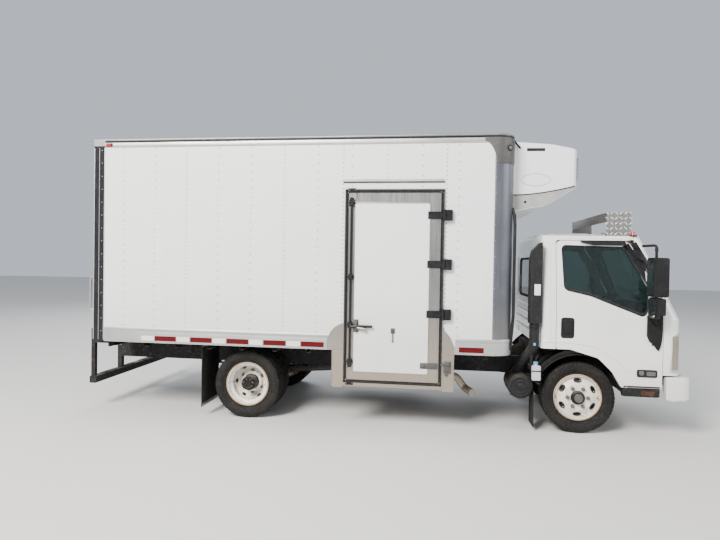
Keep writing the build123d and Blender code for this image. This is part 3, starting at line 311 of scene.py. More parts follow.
def finished(shape, name, body, finish, replaced=(), sharp=32):
    """Turns a shape into a piece: normals outward, smooth but for its sharp edges."""
    material, slot = finish
    bmesh.ops.recalc_face_normals(shape.mesh, faces=shape.mesh.faces[:])
    mesh = shape.into_mesh(name)
    mesh.shade_smooth()
    mesh.set_sharp_from_angle(angle=math.radians(sharp))
    mesh.materials.append(material)
    return own(linked(name, mesh), body, replaced)


# Geometry Nodes recipes for what repeats

def feed(tree, socket, value):
    """Links a socket to another one, or sets its value."""
    if isinstance(value, bpy.types.NodeSocket):
        tree.links.new(value, socket)
    else:
        socket.default_value = value


def add_node(tree, kind, settings=(), **values):
    """A node; values fill its inputs by name, with underscores for spaces, or by number as i0, i1."""
    node = tree.nodes.new(kind)
    for setting, value in dict(settings).items():
        setattr(node, setting, value)
    for label, value in values.items():
        numbered = label[0] == "i" and label[1:].isdigit()
        feed(tree, node.inputs[int(label[1:]) if numbered else label.replace("_", " ")], value)
    return node


class Recipe:
    """A tree of Geometry Nodes with named inputs, grown into plain meshes."""

    def __init__(self, name):
        self.tree = bpy.data.node_groups.new(name, "GeometryNodeTree")
        self.inputs = {}
        self.take("Geometry", "NodeSocketGeometry")
        self.take("Finish", "NodeSocketMaterial")
        self.tree.interface.new_socket(name="Geometry", in_out="OUTPUT", socket_type="NodeSocketGeometry")
        self.entry = self.tree.nodes.new("NodeGroupInput")

    def take(self, label, kind="NodeSocketFloat"):
        socket = self.tree.interface.new_socket(name=label, in_out="INPUT", socket_type=kind)
        self.inputs[label] = socket.identifier

    def given(self, label):
        return self.entry.outputs[label]

    def add(self, kind, settings=(), **values):
        return add_node(self.tree, kind, settings, **values)

    def sum(self, operation, first, second=0.0):
        return self.add("ShaderNodeMath", {"operation": operation}, i0=first, i1=second).outputs[0]

    def close(self, geometry):
        """Ends the tree: instances made real, then the finish."""
        real = self.add("GeometryNodeRealizeInstances", Geometry=geometry).outputs[0]
        done = self.add("GeometryNodeSetMaterial", Geometry=real, Material=self.given("Finish")).outputs[0]
        leave = self.tree.nodes.new("NodeGroupOutput")
        self.tree.links.new(done, leave.inputs[0])
        return self

    def grow(self, start, name, body, finish, sharp=40, **values):
        """Runs the recipe on a starting shape and returns the piece as a plain mesh."""
        material, slot = finish
        piece = linked(name, bpy.data.meshes.new(name) if start is None else start.into_mesh(name))
        modifier = piece.modifiers.new(name, "NODES")
        modifier.node_group = self.tree
        modifier[self.inputs["Finish"]] = material
        for label, value in values.items():
            modifier[self.inputs[label.replace("_", " ")]] = value
        mesh = evaluated(piece)
        piece.modifiers.remove(modifier)
        piece.data = mesh
        mesh.name = name
        mesh.shade_smooth()
        mesh.set_sharp_from_angle(angle=math.radians(sharp))
        return own(piece, body)


def studs_recipe(along_lines):
    """Round heads spaced along every edge of a mesh, or one on each of its points."""
    recipe = Recipe("studs along lines" if along_lines else "studs on points")
    for label in ("Pitch", "Radius", "Top Radius", "Height"):
        recipe.take(label)
    recipe.take("Sides", "NodeSocketInt")
    recipe.take("Facing", "NodeSocketVector")
    points = recipe.given("Geometry")
    if along_lines:
        curve = recipe.add("GeometryNodeMeshToCurve", Mesh=points).outputs[0]
        points = recipe.add("GeometryNodeResampleCurve", {"mode": "LENGTH"}, Curve=curve,
                            Length=recipe.given("Pitch")).outputs[0]
    head = recipe.add("GeometryNodeMeshCone", Vertices=recipe.given("Sides"),
                      Radius_Top=recipe.given("Top Radius"), Radius_Bottom=recipe.given("Radius"),
                      Depth=recipe.given("Height")).outputs[0]
    facing = recipe.add("FunctionNodeAlignRotationToVector", {"axis": "Z"},
                        Vector=recipe.given("Facing")).outputs[0]
    studs = recipe.add("GeometryNodeInstanceOnPoints", Points=points, Instance=head,
                       Rotation=facing).outputs[0]
    return recipe.close(studs)


def slats_recipe():
    """Copies of one bar, each a step further on."""
    recipe = Recipe("slats")
    recipe.take("Count", "NodeSocketInt")
    recipe.take("Step", "NodeSocketVector")
    line = recipe.add("GeometryNodeMeshLine", Count=recipe.given("Count"), Offset=recipe.given("Step"))
    copies = recipe.add("GeometryNodeInstanceOnPoints", Points=line.outputs[0],
                        Instance=recipe.given("Geometry")).outputs[0]
    return recipe.close(copies)


def ring_recipe():
    """Copies of one bar, turned about the Y axis round a centre."""
    recipe = Recipe("ring of copies")
    recipe.take("Count", "NodeSocketInt")
    recipe.take("Centre", "NodeSocketVector")
    line = recipe.add("GeometryNodeMeshLine", Count=recipe.given("Count"), Offset=(0, 0, 0)).outputs[0]
    at = recipe.add("GeometryNodeSetPosition", Geometry=line, Offset=recipe.given("Centre")).outputs[0]
    index = recipe.add("GeometryNodeInputIndex").outputs[0]
    share = recipe.sum("DIVIDE", index, recipe.given("Count"))
    angle = recipe.sum("MULTIPLY", share, 2 * math.pi)
    turn = recipe.add("ShaderNodeCombineXYZ", Y=angle).outputs[0]
    copies = recipe.add("GeometryNodeInstanceOnPoints", Points=at, Instance=recipe.given("Geometry"),
                        Rotation=turn).outputs[0]
    return recipe.close(copies)


def pleats_recipe():
    """A hose along the edges of a mesh whose radius rises and falls in even pleats."""
    recipe = Recipe("pleated hose")
    for label in ("Radius", "Pleat", "Pitch"):
        recipe.take(label)
    curve = recipe.add("GeometryNodeMeshToCurve", Mesh=recipe.given("Geometry")).outputs[0]
    eighth = recipe.sum("DIVIDE", recipe.given("Pitch"), 8.0)
    curve = recipe.add("GeometryNodeResampleCurve", {"mode": "LENGTH"}, Curve=curve,
        Length=eighth).outputs[0]
    run = recipe.add("GeometryNodeSplineParameter").outputs["Length"]
    turns = recipe.sum("MULTIPLY", recipe.sum("DIVIDE", run, recipe.given("Pitch")), 2 * math.pi)
    swell = recipe.sum("MULTIPLY", recipe.sum("SINE", turns), recipe.given("Pleat"))
    size = recipe.sum("ADD", recipe.given("Radius"), swell)
    profile = recipe.add("GeometryNodeCurvePrimitiveCircle", Resolution=16, Radius=1.0).outputs[0]
    made = recipe.add("GeometryNodeCurveToMesh", Curve=curve, Profile_Curve=profile, Scale=size).outputs[0]
    return recipe.close(made)


def lozenge_recipe():
    """Raised lozenges on a grid in X and Y, every other one turned across its neighbours."""
    recipe = Recipe("tread plate")
    for label in ("Size X", "Size Y", "Pitch"):
        recipe.take(label)
    recipe.take("Place", "NodeSocketVector")
    recipe.take("Turn", "NodeSocketVector")
    pitch = recipe.given("Pitch")
    across = recipe.sum("DIVIDE", recipe.given("Size X"), pitch)
    up = recipe.sum("DIVIDE", recipe.given("Size Y"), pitch)
    grid = recipe.add("GeometryNodeMeshGrid", Size_X=recipe.given("Size X"), Size_Y=recipe.given("Size Y"),
                      Vertices_X=across, Vertices_Y=up).outputs[0]
    spot = recipe.add("ShaderNodeSeparateXYZ", Vector=recipe.add("GeometryNodeInputPosition").outputs[0])
    cells = recipe.sum("ADD", recipe.sum("DIVIDE", spot.outputs[0], pitch),
                       recipe.sum("DIVIDE", spot.outputs[1], pitch))
    odd = recipe.sum("PINGPONG", recipe.sum("ROUND", cells), 1.0)
    angle = recipe.sum("MULTIPLY", recipe.sum("SUBTRACT", odd, 0.5), math.pi / 2)
    turn = recipe.add("ShaderNodeCombineXYZ", Z=angle).outputs[0]
    bead = recipe.add("GeometryNodeMeshIcoSphere", Radius=0.5, Subdivisions=2).outputs[0]
    size = recipe.add("ShaderNodeCombineXYZ", X=recipe.sum("MULTIPLY", pitch, 1.05),
        Y=recipe.sum("MULTIPLY", pitch, 0.3), Z=recipe.sum("MULTIPLY", pitch, 0.12)).outputs[0]
    beads = recipe.add("GeometryNodeInstanceOnPoints", Points=grid, Instance=bead, Rotation=turn,
                       Scale=size).outputs[0]
    placed = recipe.add("GeometryNodeTransform", Geometry=beads, Translation=recipe.given("Place"),
                        Rotation=recipe.given("Turn")).outputs[0]
    return recipe.close(placed)


STUDS = studs_recipe(True)
SPOTS = studs_recipe(False)
SLATS = slats_recipe()
RING = ring_recipe()
PLEATS = pleats_recipe()
LOZENGES = lozenge_recipe()


def tread_plate(name, body, finish, size, pitch, place, turn=(0.0, 0.0, 0.0)):
    """A rectangle of raised lozenges."""
    LOZENGES.grow(None, name, body, finish, Size_X=size[0], Size_Y=size[1], Pitch=pitch, Place=place,
        Turn=turn)


def round_hub(shape, name, body, finish, count, centre):
    """Copies of a shape evenly round an axle."""
    RING.grow(shape, name, body, finish, Count=count, Centre=tuple(centre))


def lines(*pairs):
    """A starting shape of separate straight edges, or open chains of points."""
    shape = Shape()
    for points in pairs:
        verts = shape.loop(points)
        for first, second in zip(verts, verts[1:]):
            shape.mesh.edges.new((first, second))
    return shape


def spots(points):
    shape = Shape()
    shape.loop(points)
    return shape


# Finishes

class Finish:
    """A procedural material: colour, roughness and relief laid over each other in object space."""

    def __init__(self, slot, colour, roughness=0.5, metallic=0.0, **sockets):
        self.slot = slot
        self.material = bpy.data.materials.new(slot)
        self.material.use_nodes = True
        self.tree = self.material.node_tree
        self.shader = self.tree.nodes["Principled BSDF"]
        self.place = self.tree.nodes.new("ShaderNodeTexCoord").outputs["Object"]
        self.colour = (*colour, 1.0)
        self.rough = roughness
        self.relief = None
        self.shader.inputs["Metallic"].default_value = metallic
        for label, value in sockets.items():
            self.shader.inputs[label.replace("_", " ")].default_value = value

    def node(self, kind, settings=(), **values):
        return add_node(self.tree, kind, settings, **values)

    def stretched(self, factors):
        return self.node("ShaderNodeMapping", Vector=self.place, Scale=factors).outputs[0]

    def span(self, value, low, high):
        """The value as 0 below low and 1 above high, or the other way round."""
        done = self.node("ShaderNodeMapRange", Value=value, From_Min=low, From_Max=high)
        done.clamp = True
        return done.outputs[0]

    def clouds(self, scale, low=0.45, high=0.65, factors=(1, 1, 1), detail=4.0):
        noise = self.node("ShaderNodeTexNoise", Vector=self.stretched(factors), Scale=scale, Detail=detail)
        return self.span(noise.outputs[0], low, high)

    def axis(self, index, low, high):
        """A ramp along X, Y or Z in metres."""
        parts = self.node("ShaderNodeSeparateXYZ", Vector=self.place)
        return self.span(parts.outputs[index], low, high)

    def facing_up(self, low=0.4, high=0.9):
        normal = self.node("ShaderNodeNewGeometry").outputs["Normal"]
        parts = self.node("ShaderNodeSeparateXYZ", Vector=normal)
        return self.span(parts.outputs[2], low, high)

    def times(self, first, second):
        return self.node("ShaderNodeMath", {"operation": "MULTIPLY"}, i0=first, i1=second).outputs[0]

    def over(self, kind, number, mask, strength, before, after):
        """The value before, with the one after laid over it where the mask is."""
        if strength != 1.0:
            mask = self.times(mask, strength)
        mix = self.node("ShaderNodeMix", {"data_type": kind}, i0=mask)
        feed(self.tree, mix.inputs[number], before)
        feed(self.tree, mix.inputs[number + 1], after)
        return mix

    def tint(self, mask, colour, strength=1.0):
        """Another colour laid over where the mask is."""
        self.colour = self.over("RGBA", 6, mask, strength, self.colour, (*colour, 1.0)).outputs[2]
        return self

    def wear(self, mask, roughness, strength=1.0):
        """Another roughness where the mask is."""
        self.rough = self.over("FLOAT", 2, mask, strength, self.rough, roughness).outputs[0]
        return self

    def emboss(self, height, depth, strength=0.5):
        """Relief from a height between 0 and 1, depth metres deep."""
        values = {"Height": height, "Distance": depth, "Strength": strength}
        if self.relief is not None:
            values["Normal"] = self.relief
        self.relief = self.node("ShaderNodeBump", **values).outputs[0]
        return self

    def done(self):
        feed(self.tree, self.shader.inputs["Base Color"], self.colour)
        feed(self.tree, self.shader.inputs["Roughness"], self.rough)
        if self.relief is not None:
            self.tree.links.new(self.relief, self.shader.inputs["Normal"])
        return self.material, self.slot


DUST = (0.42, 0.35, 0.27)
RUST = (0.16, 0.055, 0.02)


def painted_panels():
    """The body's white sheet: slightly wavy, streaked below its rivets, dusty at the foot."""
    finish = Finish("body_white", (0.80, 0.82, 0.81), 0.34, Coat_Weight=0.25, Coat_Roughness=0.25)
    finish.tint(finish.clouds(0.9, 0.35, 0.75), (0.74, 0.77, 0.77), 0.6)
    finish.tint(finish.clouds(6.0, 0.55, 0.85, (1, 1, 0.06)), (0.58, 0.58, 0.55), 0.22)
    finish.tint(finish.clouds(40.0, 0.66, 0.8), (0.45, 0.43, 0.40), 0.2)
    finish.tint(finish.axis(2, 1.55, 0.95), DUST, 0.22)
    finish.wear(finish.clouds(3.0, 0.4, 0.7), 0.5)
    finish.emboss(finish.clouds(1.6, 0.2, 0.8, (1, 1, 0.35)), 0.012, 0.35)
    finish.emboss(finish.clouds(300.0, 0.3, 0.7), 0.0004, 0.15)
    return finish.done()


def cab_paint():
    """The cab's gloss white, with road film low down and round the wheel arch."""
    finish = Finish("cab_white", (0.83, 0.83, 0.81), 0.22, Coat_Weight=0.8, Coat_Roughness=0.08)
    finish.tint(finish.clouds(1.4, 0.4, 0.75), (0.78, 0.78, 0.76), 0.5)
    finish.tint(finish.axis(2, 1.05, 0.5), DUST, 0.25)
    finish.tint(finish.clouds(60.0, 0.68, 0.8), (0.35, 0.32, 0.28), 0.25)
    finish.wear(finish.clouds(4.0, 0.45, 0.75), 0.36)
    finish.emboss(finish.clouds(420.0, 0.3, 0.7), 0.0003, 0.12)
    return finish.done()


def unit_cover():
    """The cooling unit's moulded cover: white above the seam, grey skirt below it."""
    finish = Finish("unit_white", (0.84, 0.84, 0.86), 0.32, Coat_Weight=0.4, Coat_Roughness=0.2)
    finish.tint(finish.clouds(2.0, 0.4, 0.8), (0.78, 0.78, 0.80), 0.6)
    finish.tint(finish.clouds(7.0, 0.6, 0.85, (1, 1, 0.15)), (0.55, 0.53, 0.48), 0.18)
    finish.emboss(finish.clouds(260.0, 0.3, 0.7), 0.0005, 0.2)
    return finish.done()


def bright_metal(slot, colour, roughness, grain, dirt=0.2, foot=None):
    """Rolled metal with a fine grain along its length and dull stains, warmer where road dust lies."""
    finish = Finish(slot, colour, roughness, 0.85)
    finish.tint(finish.clouds(3.0, 0.4, 0.75), [c * 0.72 for c in colour], 0.6)
    if foot:
        finish.tint(finish.axis(2, 1.45, 0.80), foot, 0.85)
    finish.tint(finish.clouds(18.0, 0.55, 0.8), (0.25, 0.24, 0.22), dirt)
    finish.wear(finish.clouds(60.0, 0.3, 0.7, grain), roughness + 0.2)
    finish.emboss(finish.clouds(180.0, 0.3, 0.7, grain), 0.0004, 0.25)
    return finish.done()


def dull_paint(slot, colour, roughness=0.55, dust=0.35, rust=0.15, grain=160.0):
    """Paint or plastic that dust settles on and that rusts or greys in patches."""
    finish = Finish(slot, colour, roughness, Specular_IOR_Level=0.12 if max(colour) < 0.05 else 0.5)
    finish.tint(finish.clouds(5.0, 0.4, 0.75), [min(1, c * 1.6 + 0.004) for c in colour], 0.6)
    if rust:
        finish.tint(finish.clouds(14.0, 0.6, 0.72), RUST, rust)
    finish.tint(finish.times(finish.facing_up(), finish.clouds(9.0, 0.3, 0.7)), DUST, dust)
    finish.tint(finish.clouds(30.0, 0.55, 0.85), DUST, dust * 0.4)
    finish.wear(finish.clouds(25.0, 0.4, 0.7), min(1.0, roughness + 0.25))
    finish.emboss(finish.clouds(grain, 0.3, 0.7), 0.0008, 0.3)
    return finish.done()


def tyre_rubber():
    """Black rubber with a little dust."""
    finish = Finish("tyre_rubber", (0.011, 0.011, 0.011), 0.72, Specular_IOR_Level=0.15)
    finish.tint(finish.clouds(7.0, 0.35, 0.75), (0.024, 0.022, 0.020), 0.8)
    finish.tint(finish.clouds(50.0, 0.5, 0.8), DUST, 0.06)
    finish.wear(finish.clouds(20.0, 0.4, 0.7), 0.85)
    finish.emboss(finish.clouds(420.0, 0.3, 0.7), 0.0006, 0.3)
    return finish.done()


def wheel_paint():
    """Cream wheel enamel that rusts at its lip, round the hand holes and under the nuts."""
    finish = Finish("wheel_cream", (0.78, 0.75, 0.68), 0.4, Coat_Weight=0.2, Coat_Roughness=0.3)
    finish.tint(finish.clouds(6.0, 0.4, 0.75), (0.62, 0.58, 0.50), 0.5)
    finish.tint(finish.clouds(24.0, 0.56, 0.68), (0.30, 0.17, 0.08), 0.55)
    finish.tint(finish.clouds(90.0, 0.6, 0.75), RUST, 0.5)
    finish.wear(finish.clouds(24.0, 0.5, 0.7), 0.75)
    finish.emboss(finish.clouds(200.0, 0.3, 0.7), 0.0006, 0.35)
    return finish.done()


def lamp_lens(slot, colour, clear=0.6):
    """Moulded lens plastic with fine vertical flutes."""
    finish = Finish(slot, colour, 0.12, IOR=1.5, Transmission_Weight=clear, Coat_Weight=0.5)
    wave = finish.node("ShaderNodeTexWave", {"bands_direction": "Z"}, Vector=finish.place, Scale=26.0)
    finish.tint(finish.clouds(8.0, 0.4, 0.8), [c * 0.8 for c in colour], 0.6)
    finish.emboss(wave.outputs[1], 0.001, 0.25)
    return finish.done()


def pane():
    """Green-tinted window glass."""
    finish = Finish("window_glass", (0.17, 0.25, 0.24), 0.02, IOR=1.45, Transmission_Weight=0.97)
    finish.tint(finish.clouds(3.0, 0.45, 0.8), (0.14, 0.21, 0.205), 0.6)
    finish.wear(finish.clouds(12.0, 0.55, 0.85), 0.09)
    return finish.done()


def cloth():
    """Seat cloth: a fine weave of two greys."""
    finish = Finish("seat_fabric", (0.085, 0.085, 0.09), 0.85, Sheen_Weight=0.3)
    weave = finish.node("ShaderNodeTexWave", {"bands_direction": "X"}, Vector=finish.place, Scale=220.0,
                        Distortion=1.5)
    cross = finish.node("ShaderNodeTexWave", {"bands_direction": "Z"}, Vector=finish.place, Scale=220.0,
                        Distortion=1.5)
    both = finish.times(weave.outputs[1], cross.outputs[1])
    finish.tint(both, (0.16, 0.16, 0.17), 0.8)
    finish.tint(finish.clouds(5.0, 0.4, 0.75), (0.11, 0.10, 0.10), 0.5)
    finish.emboss(both, 0.0012, 0.5)
    return finish.done()


ROLLED = (0.03, 1, 1)
PANEL_WHITE = painted_panels()
CAB_WHITE = cab_paint()
UNIT_WHITE = unit_cover()
ALUMINIUM = bright_metal("aluminium_trim", (0.52, 0.52, 0.52), 0.38, ROLLED)
STAINLESS = bright_metal("stainless_trim", (0.28, 0.277, 0.273), 0.28, (1, 1, 0.03), 0.2,
    (0.40, 0.345, 0.275))
TREAD_METAL = bright_metal("tread_plate", (0.66, 0.66, 0.66), 0.28, (1, 1, 1), 0.2)
FLOOR_METAL = bright_metal("floor_metal", (0.5, 0.5, 0.5), 0.45, ROLLED, 0.4)
EXHAUST = bright_metal("exhaust_steel", (0.42, 0.36, 0.30), 0.5, (1, 1, 1), 0.5)
CHASSIS = dull_paint("chassis_black", (0.018, 0.018, 0.02), 0.5, 0.35, 0.25)
REAR_BLACK = dull_paint("rear_black", (0.014, 0.014, 0.016), 0.3, 0.12, 0.05)
PLASTIC = dull_paint("black_plastic", (0.016, 0.016, 0.017), 0.45, 0.15, 0.0, 300.0)
MIRROR_SHELL = dull_paint("mirror_black", (0.012, 0.012, 0.013), 0.36, 0.08, 0.0, 350.0)
CASTING = dull_paint("cast_iron", (0.06, 0.055, 0.05), 0.7, 0.4, 0.45)
FLAP = dull_paint("flap_rubber", (0.02, 0.02, 0.02), 0.8, 0.3, 0.0)
CAB_GREY = dull_paint("cab_grey", (0.10, 0.105, 0.11), 0.7, 0.1, 0.0, 300.0)
RUBBER = tyre_rubber()
WHEEL = wheel_paint()
LENS = lamp_lens("lamp_clear", (0.82, 0.82, 0.80))
GLASS = pane()
CLOTH = cloth()


def variant(finish, slot):
    """A finish that goes by the slot of another one."""
    return finish[0], slot


RED_LENS = variant(lamp_lens("lamp_red", (0.55, 0.02, 0.02), 0.25), "lamp_clear")
AMBER_LENS = variant(lamp_lens("lamp_amber", (0.85, 0.25, 0.02), 0.25), "lamp_clear")
TAPE_RED = variant(Finish("tape_red", (0.085, 0.0004, 0.002), 0.6, Specular_IOR_Level=0.2).done(),
    "body_white")
TAPE_WHITE = variant(Finish("tape_white", (0.72, 0.72, 0.70), 0.3).done(), "body_white")
CORNER_POST = variant(bright_metal("corner_post", (0.15, 0.158, 0.18), 0.36, (1, 1, 0.03), 0.25,
    (0.26, 0.24, 0.215)), "aluminium_trim")
CORNER_CASTING = variant(bright_metal("corner_casting", (0.125, 0.122, 0.12), 0.5, (1, 1, 1), 0.3),
    "aluminium_trim")
# Dark brown-grey metal: painted shade, standing for shadowed aluminium at the roof edge and on the tray's
# rear lip.
SHADED_EDGE_METAL = variant(bright_metal("roof_edge", (0.17, 0.16, 0.15), 0.45, ROLLED, 0.3), "aluminium_trim")
TRAY_METAL = variant(bright_metal("tray_steel", (0.26, 0.255, 0.25), 0.4, (1, 1, 1), 0.3), "tread_plate")
RIVET_GREY = variant(dull_paint("rivet_heads", (0.17, 0.17, 0.165), 0.5, 0.1, 0.05), "body_white")
SMOKED = variant(lamp_lens("lamp_smoked", (0.13, 0.13, 0.13), 0.3), "lamp_clear")
ROOF_METAL = variant(bright_metal("roof_metal", (0.34, 0.335, 0.33), 0.45, (0.05, 1, 1), 0.3),
    "aluminium_trim")
RUSTED = variant(dull_paint("rusted_step", (0.060, 0.019, 0.008), 0.9, 0.3, 0.6), "chassis_black")
SIDE_LENS = variant(lamp_lens("lamp_side", (0.34, 0.29, 0.22), 0.35), "lamp_clear")

NODE_FINISHES = {CHASSIS: ("frame_rails", "frame_crossmembers", "leaf_springs", "battery_box",
    "body_sills", "rear_guard", "arch_liners", "cab_steps"), CASTING: ("front_axle", "rear_axle",
    "engine_block", "driveline", "knuckle_right", "knuckle_left", "tie_rod"), EXHAUST: ("exhaust",),
    PLASTIC: ("air_intake", "steering_wheel"), CAB_WHITE: ("front_bumper", "cab_back_wall", "cab_roof",
    "cab_front", "cab_door_right", "cab_door_left"), FLAP: ("mudflaps",), FLOOR_METAL: ("cargo_floor",),
    PANEL_WHITE: ("cargo_side_right", "cargo_side_left", "rear_door"), ROOF_METAL: ("cargo_roof",),
    CORNER_POST: ("cargo_front_wall",), REAR_BLACK: ("rear_frame", "body_hinges", "side_door_hinges",
    "side_door_latch"), STAINLESS: ("side_door_frame", "side_door"), UNIT_WHITE: ("refrigeration_unit",),
    CAB_GREY: ("cab_floor", "dashboard"), GLASS: ("cab_glass", "door_glass_right", "door_glass_left"),
    LENS: ("headlamps",), CLOTH: ("seats",), TRAY_METAL: ("roof_tray",),
    MIRROR_SHELL: ("mirror_right", "mirror_left"), WHEEL: ("front_wheel_right", "front_wheel_left",
    "rear_wheels_right", "rear_wheels_left"), RUBBER: ("front_tyre_right", "front_tyre_left",
    "rear_tyres_right", "rear_tyres_left"), ALUMINIUM: ("fuel_tank",),}
for finish, nodes in NODE_FINISHES.items():
    for node in nodes:
        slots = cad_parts[node].data.materials
        slots.clear()
        slots.append(finish[0])


# Floor, light and camera

def studio():
    """A pale floor, soft light and the photograph's viewpoint."""
    mesh = bpy.data.meshes.new("studio_floor")
    reach = 40.0
    mesh.from_pydata([(-reach, -reach, 0), (reach, -reach, 0), (reach, reach, 0), (-reach, reach, 0)], [],
                     [(0, 1, 2, 3)])
    floor = linked("studio_floor", mesh)
    pale = Finish("studio_floor", (0.62, 0.61, 0.59), 0.9)
    floor.data.materials.append(pale.done()[0])

    world = bpy.data.worlds.new("studio_sky")
    world.use_nodes = True
    world.node_tree.nodes["Background"].inputs[0].default_value = (0.80, 0.86, 0.95, 1)
    world.node_tree.nodes["Background"].inputs[1].default_value = 0.75
    bpy.context.scene.world = world
    for name, place, size, power, colour in (
        ("key_light", (-5.0, -11.0, 10.0), 5.0, 4600, (1.0, 0.97, 0.92)),
        ("front_light", (12.0, -5.0, 7.0), 6.0, 900, (1.0, 0.98, 0.95)),
        ("back_light", (-4.0, 12.0, 9.0), 8.0, 1200, (0.95, 0.97, 1.0)),
    ):
        lamp = bpy.data.lights.new(name, "AREA")
        lamp.size = size
        lamp.energy = power
        lamp.color = colour
        light = linked(name, lamp)
        light.location = place
        light.rotation_euler = (Vector((0, 0, 1.3)) - Vector(place)).to_track_quat("-Z", "Y").to_euler()

    place = Vector((0.7444, -7.2335, 1.8841))
    yaw, pitch, roll = 0.1365, -0.0153, 0.0162
    ahead = Vector((-math.sin(yaw), math.cos(yaw), 0))
    across = Vector((math.cos(yaw), math.sin(yaw), 0))
    aim = ahead * math.cos(pitch) + UP * math.sin(pitch)
    over = UP * math.cos(pitch) - ahead * math.sin(pitch)
    level = across * math.cos(roll) + over * math.sin(roll)
    over = over * math.cos(roll) - across * math.sin(roll)
    lens = bpy.data.cameras.new("photo_camera")
    lens.lens = 26.996
    lens.sensor_width = 36.0
    camera = linked("photo_camera", lens)
    camera.matrix_world = Matrix.Translation(place) @ Matrix((level, over, -aim)).transposed().to_4x4()
    bpy.context.scene.camera = camera


studio()

# Box body

BOX = Extent("cargo_roof", "cargo_side_right", "cargo_side_left", "cargo_front_wall", "rear_frame")
ROOF = Extent("cargo_roof")
WALL = Extent("cargo_side_right")
DOOR = Extent("side_door")
DOOR_FRAME = Extent("side_door_frame")
REAR_DOOR = Extent("rear_door")
UNIT = Extent("refrigeration_unit")
GUARD = Extent("rear_guard")
CORNER = 0.189
JAMB = 0.032
POSTS = [BOX.rear + 0.390 + 0.394 * index for index in range(11)]


def rivets(name, body, finish, chains, pitch, facing, size=0.006, height=0.0025, sides=6):
    """Flat heads at an even pitch along chains of points."""
    return STUDS.grow(lines(*chains), name, body, finish, Pitch=pitch, Radius=size, Top_Radius=size * 0.55,
                      Height=height, Sides=sides, Facing=tuple(facing))


def bolts(name, body, finish, points, facing, size=0.009, height=0.007, sides=6):
    """One hexagon or round head at each point."""
    return SPOTS.grow(spots(points), name, body, finish, Pitch=0.1, Radius=size, Top_Radius=size * 0.9,
                      Height=height, Sides=sides, Facing=tuple(facing))


def box_round(z, out=0.0, start=None):
    """Points and outward directions from the right side's start, round the front, to the left rear."""
    half = BOX.left - CORNER
    points, ways = [Vector((BOX.rear + 0.145 if start is None else start, BOX.right - out, z))], [RIGHT]
    for side, first in ((-1, -90), (1, 0)):
        for step in range(9):
            angle = math.radians(first + 11.25 * step)
            way = Vector((math.cos(angle), math.sin(angle), 0))
            points.append(Vector((BOX.front - CORNER, side * half, z)) + way * (CORNER + out))
            ways.append(way)
    points.append(Vector((BOX.rear + 0.145, BOX.left + out, z)))
    ways.append(LEFT)
    return points, ways


def rail(name, finish, z_low, z_high, height, starts=(None,), crown=0.06):
    """A moulding round the box between two heights; it may stop short of the side doorway."""
    shape = Shape()
    for start in starts:
        points, ways = box_round((z_low + z_high) / 2, start=start)
        shape.strip(points, z_high - z_low, height, ways, crown=crown)
    if starts[0] is not None:
        middle = (z_low + z_high) / 2
        shape.strip([(WALL.rear, BOX.right, middle), (DOOR_FRAME.rear - 0.008, BOX.right, middle)],
                    z_high - z_low, height, RIGHT, crown=crown)
    finished(shape, name, "chassis", finish)


def box_rails():
    ahead_of_door = DOOR_FRAME.front + 0.008
    rail("body_base_rail", ALUMINIUM, BOX.low + 0.003, BOX.low + 0.135, 0.004, (ahead_of_door,))
    rail("body_base_bead", ALUMINIUM, BOX.low + 0.135, BOX.low + 0.177, 0.009, (ahead_of_door,), 0.25)
    rail("body_top_rail", ALUMINIUM, ROOF.low - 0.020, ROOF.low + 0.037, 0.004)
    # A black band under the roof edge: painted shadow of the groove beneath the roof's rim.
    rail("body_top_band", REAR_BLACK, ROOF.low + 0.037, ROOF.low + 0.063, 0.003)
    # The roof bead's dark colour is painted shade of the roof edge.
    rail("body_roof_bead", SHADED_EDGE_METAL, ROOF.low + 0.058, ROOF.low + 0.070, 0.006, crown=0.4)
    for side, name in SIDES:
        face = side * (BOX.left + 0.004)
        top = [[(WALL.rear, face, ROOF.low + 0.009), (WALL.front, face, ROOF.low + 0.009)]]
        rivets(f"top_rail_rivets_{name}", "chassis", ALUMINIUM, top, 0.0985, LEFT * side)
        spans = [(WALL.rear, WALL.front)] if side > 0 else \
            [(WALL.rear, DOOR_FRAME.rear - 0.02), (ahead_of_door + 0.01, WALL.front)]
        face = side * (BOX.left + 0.009)
        foot = [[(a + 0.03, face, BOX.low + 0.156), (b, face, BOX.low + 0.156)] for a, b in spans]
        rivets(f"base_rail_rivets_{name}", "chassis", ALUMINIUM, foot, 0.131, LEFT * side, 0.005)


def marking_tape():
    """Red and white reflective tape along the base rails and across the rear guard."""
    red, white = Shape(), Shape()
    low, high = BOX.low + 0.025, BOX.low + 0.083
    for side in (-1, 1):
        face = side * (BOX.left + 0.0045)
        y = sorted((face, face + side * 0.0006))
        for index in range(-1, 10):
            end = BOX.front + 0.142 - 0.445 * index
            start = end - 0.268
            if end > WALL.front - 0.09:
                continue
            blocked = side < 0 and start < DOOR_FRAME.front and end > DOOR_FRAME.rear
            if start > WALL.rear and not blocked:
                red.block((start, end), y, (low, high))
            gap = (start - 0.167, start - 0.010)
            blocked = side < 0 and gap[0] < DOOR_FRAME.front and gap[1] > DOOR_FRAME.rear
            if gap[0] > WALL.rear and not blocked:
                white.block(gap, y, (low, high))
    x = (GUARD.rear - 0.0003, GUARD.rear + 0.0005)
    for index in range(6):
        start = GUARD.right + 0.04 + index * 0.322
        red.block(x, (start, start + 0.18), (0.335, 0.385))
        white.block(x, (start + 0.185, start + 0.312), (0.335, 0.385))
    finished(red, "marking_tape_red", "chassis", TAPE_RED)
    finished(white, "marking_tape_white", "chassis", TAPE_WHITE)


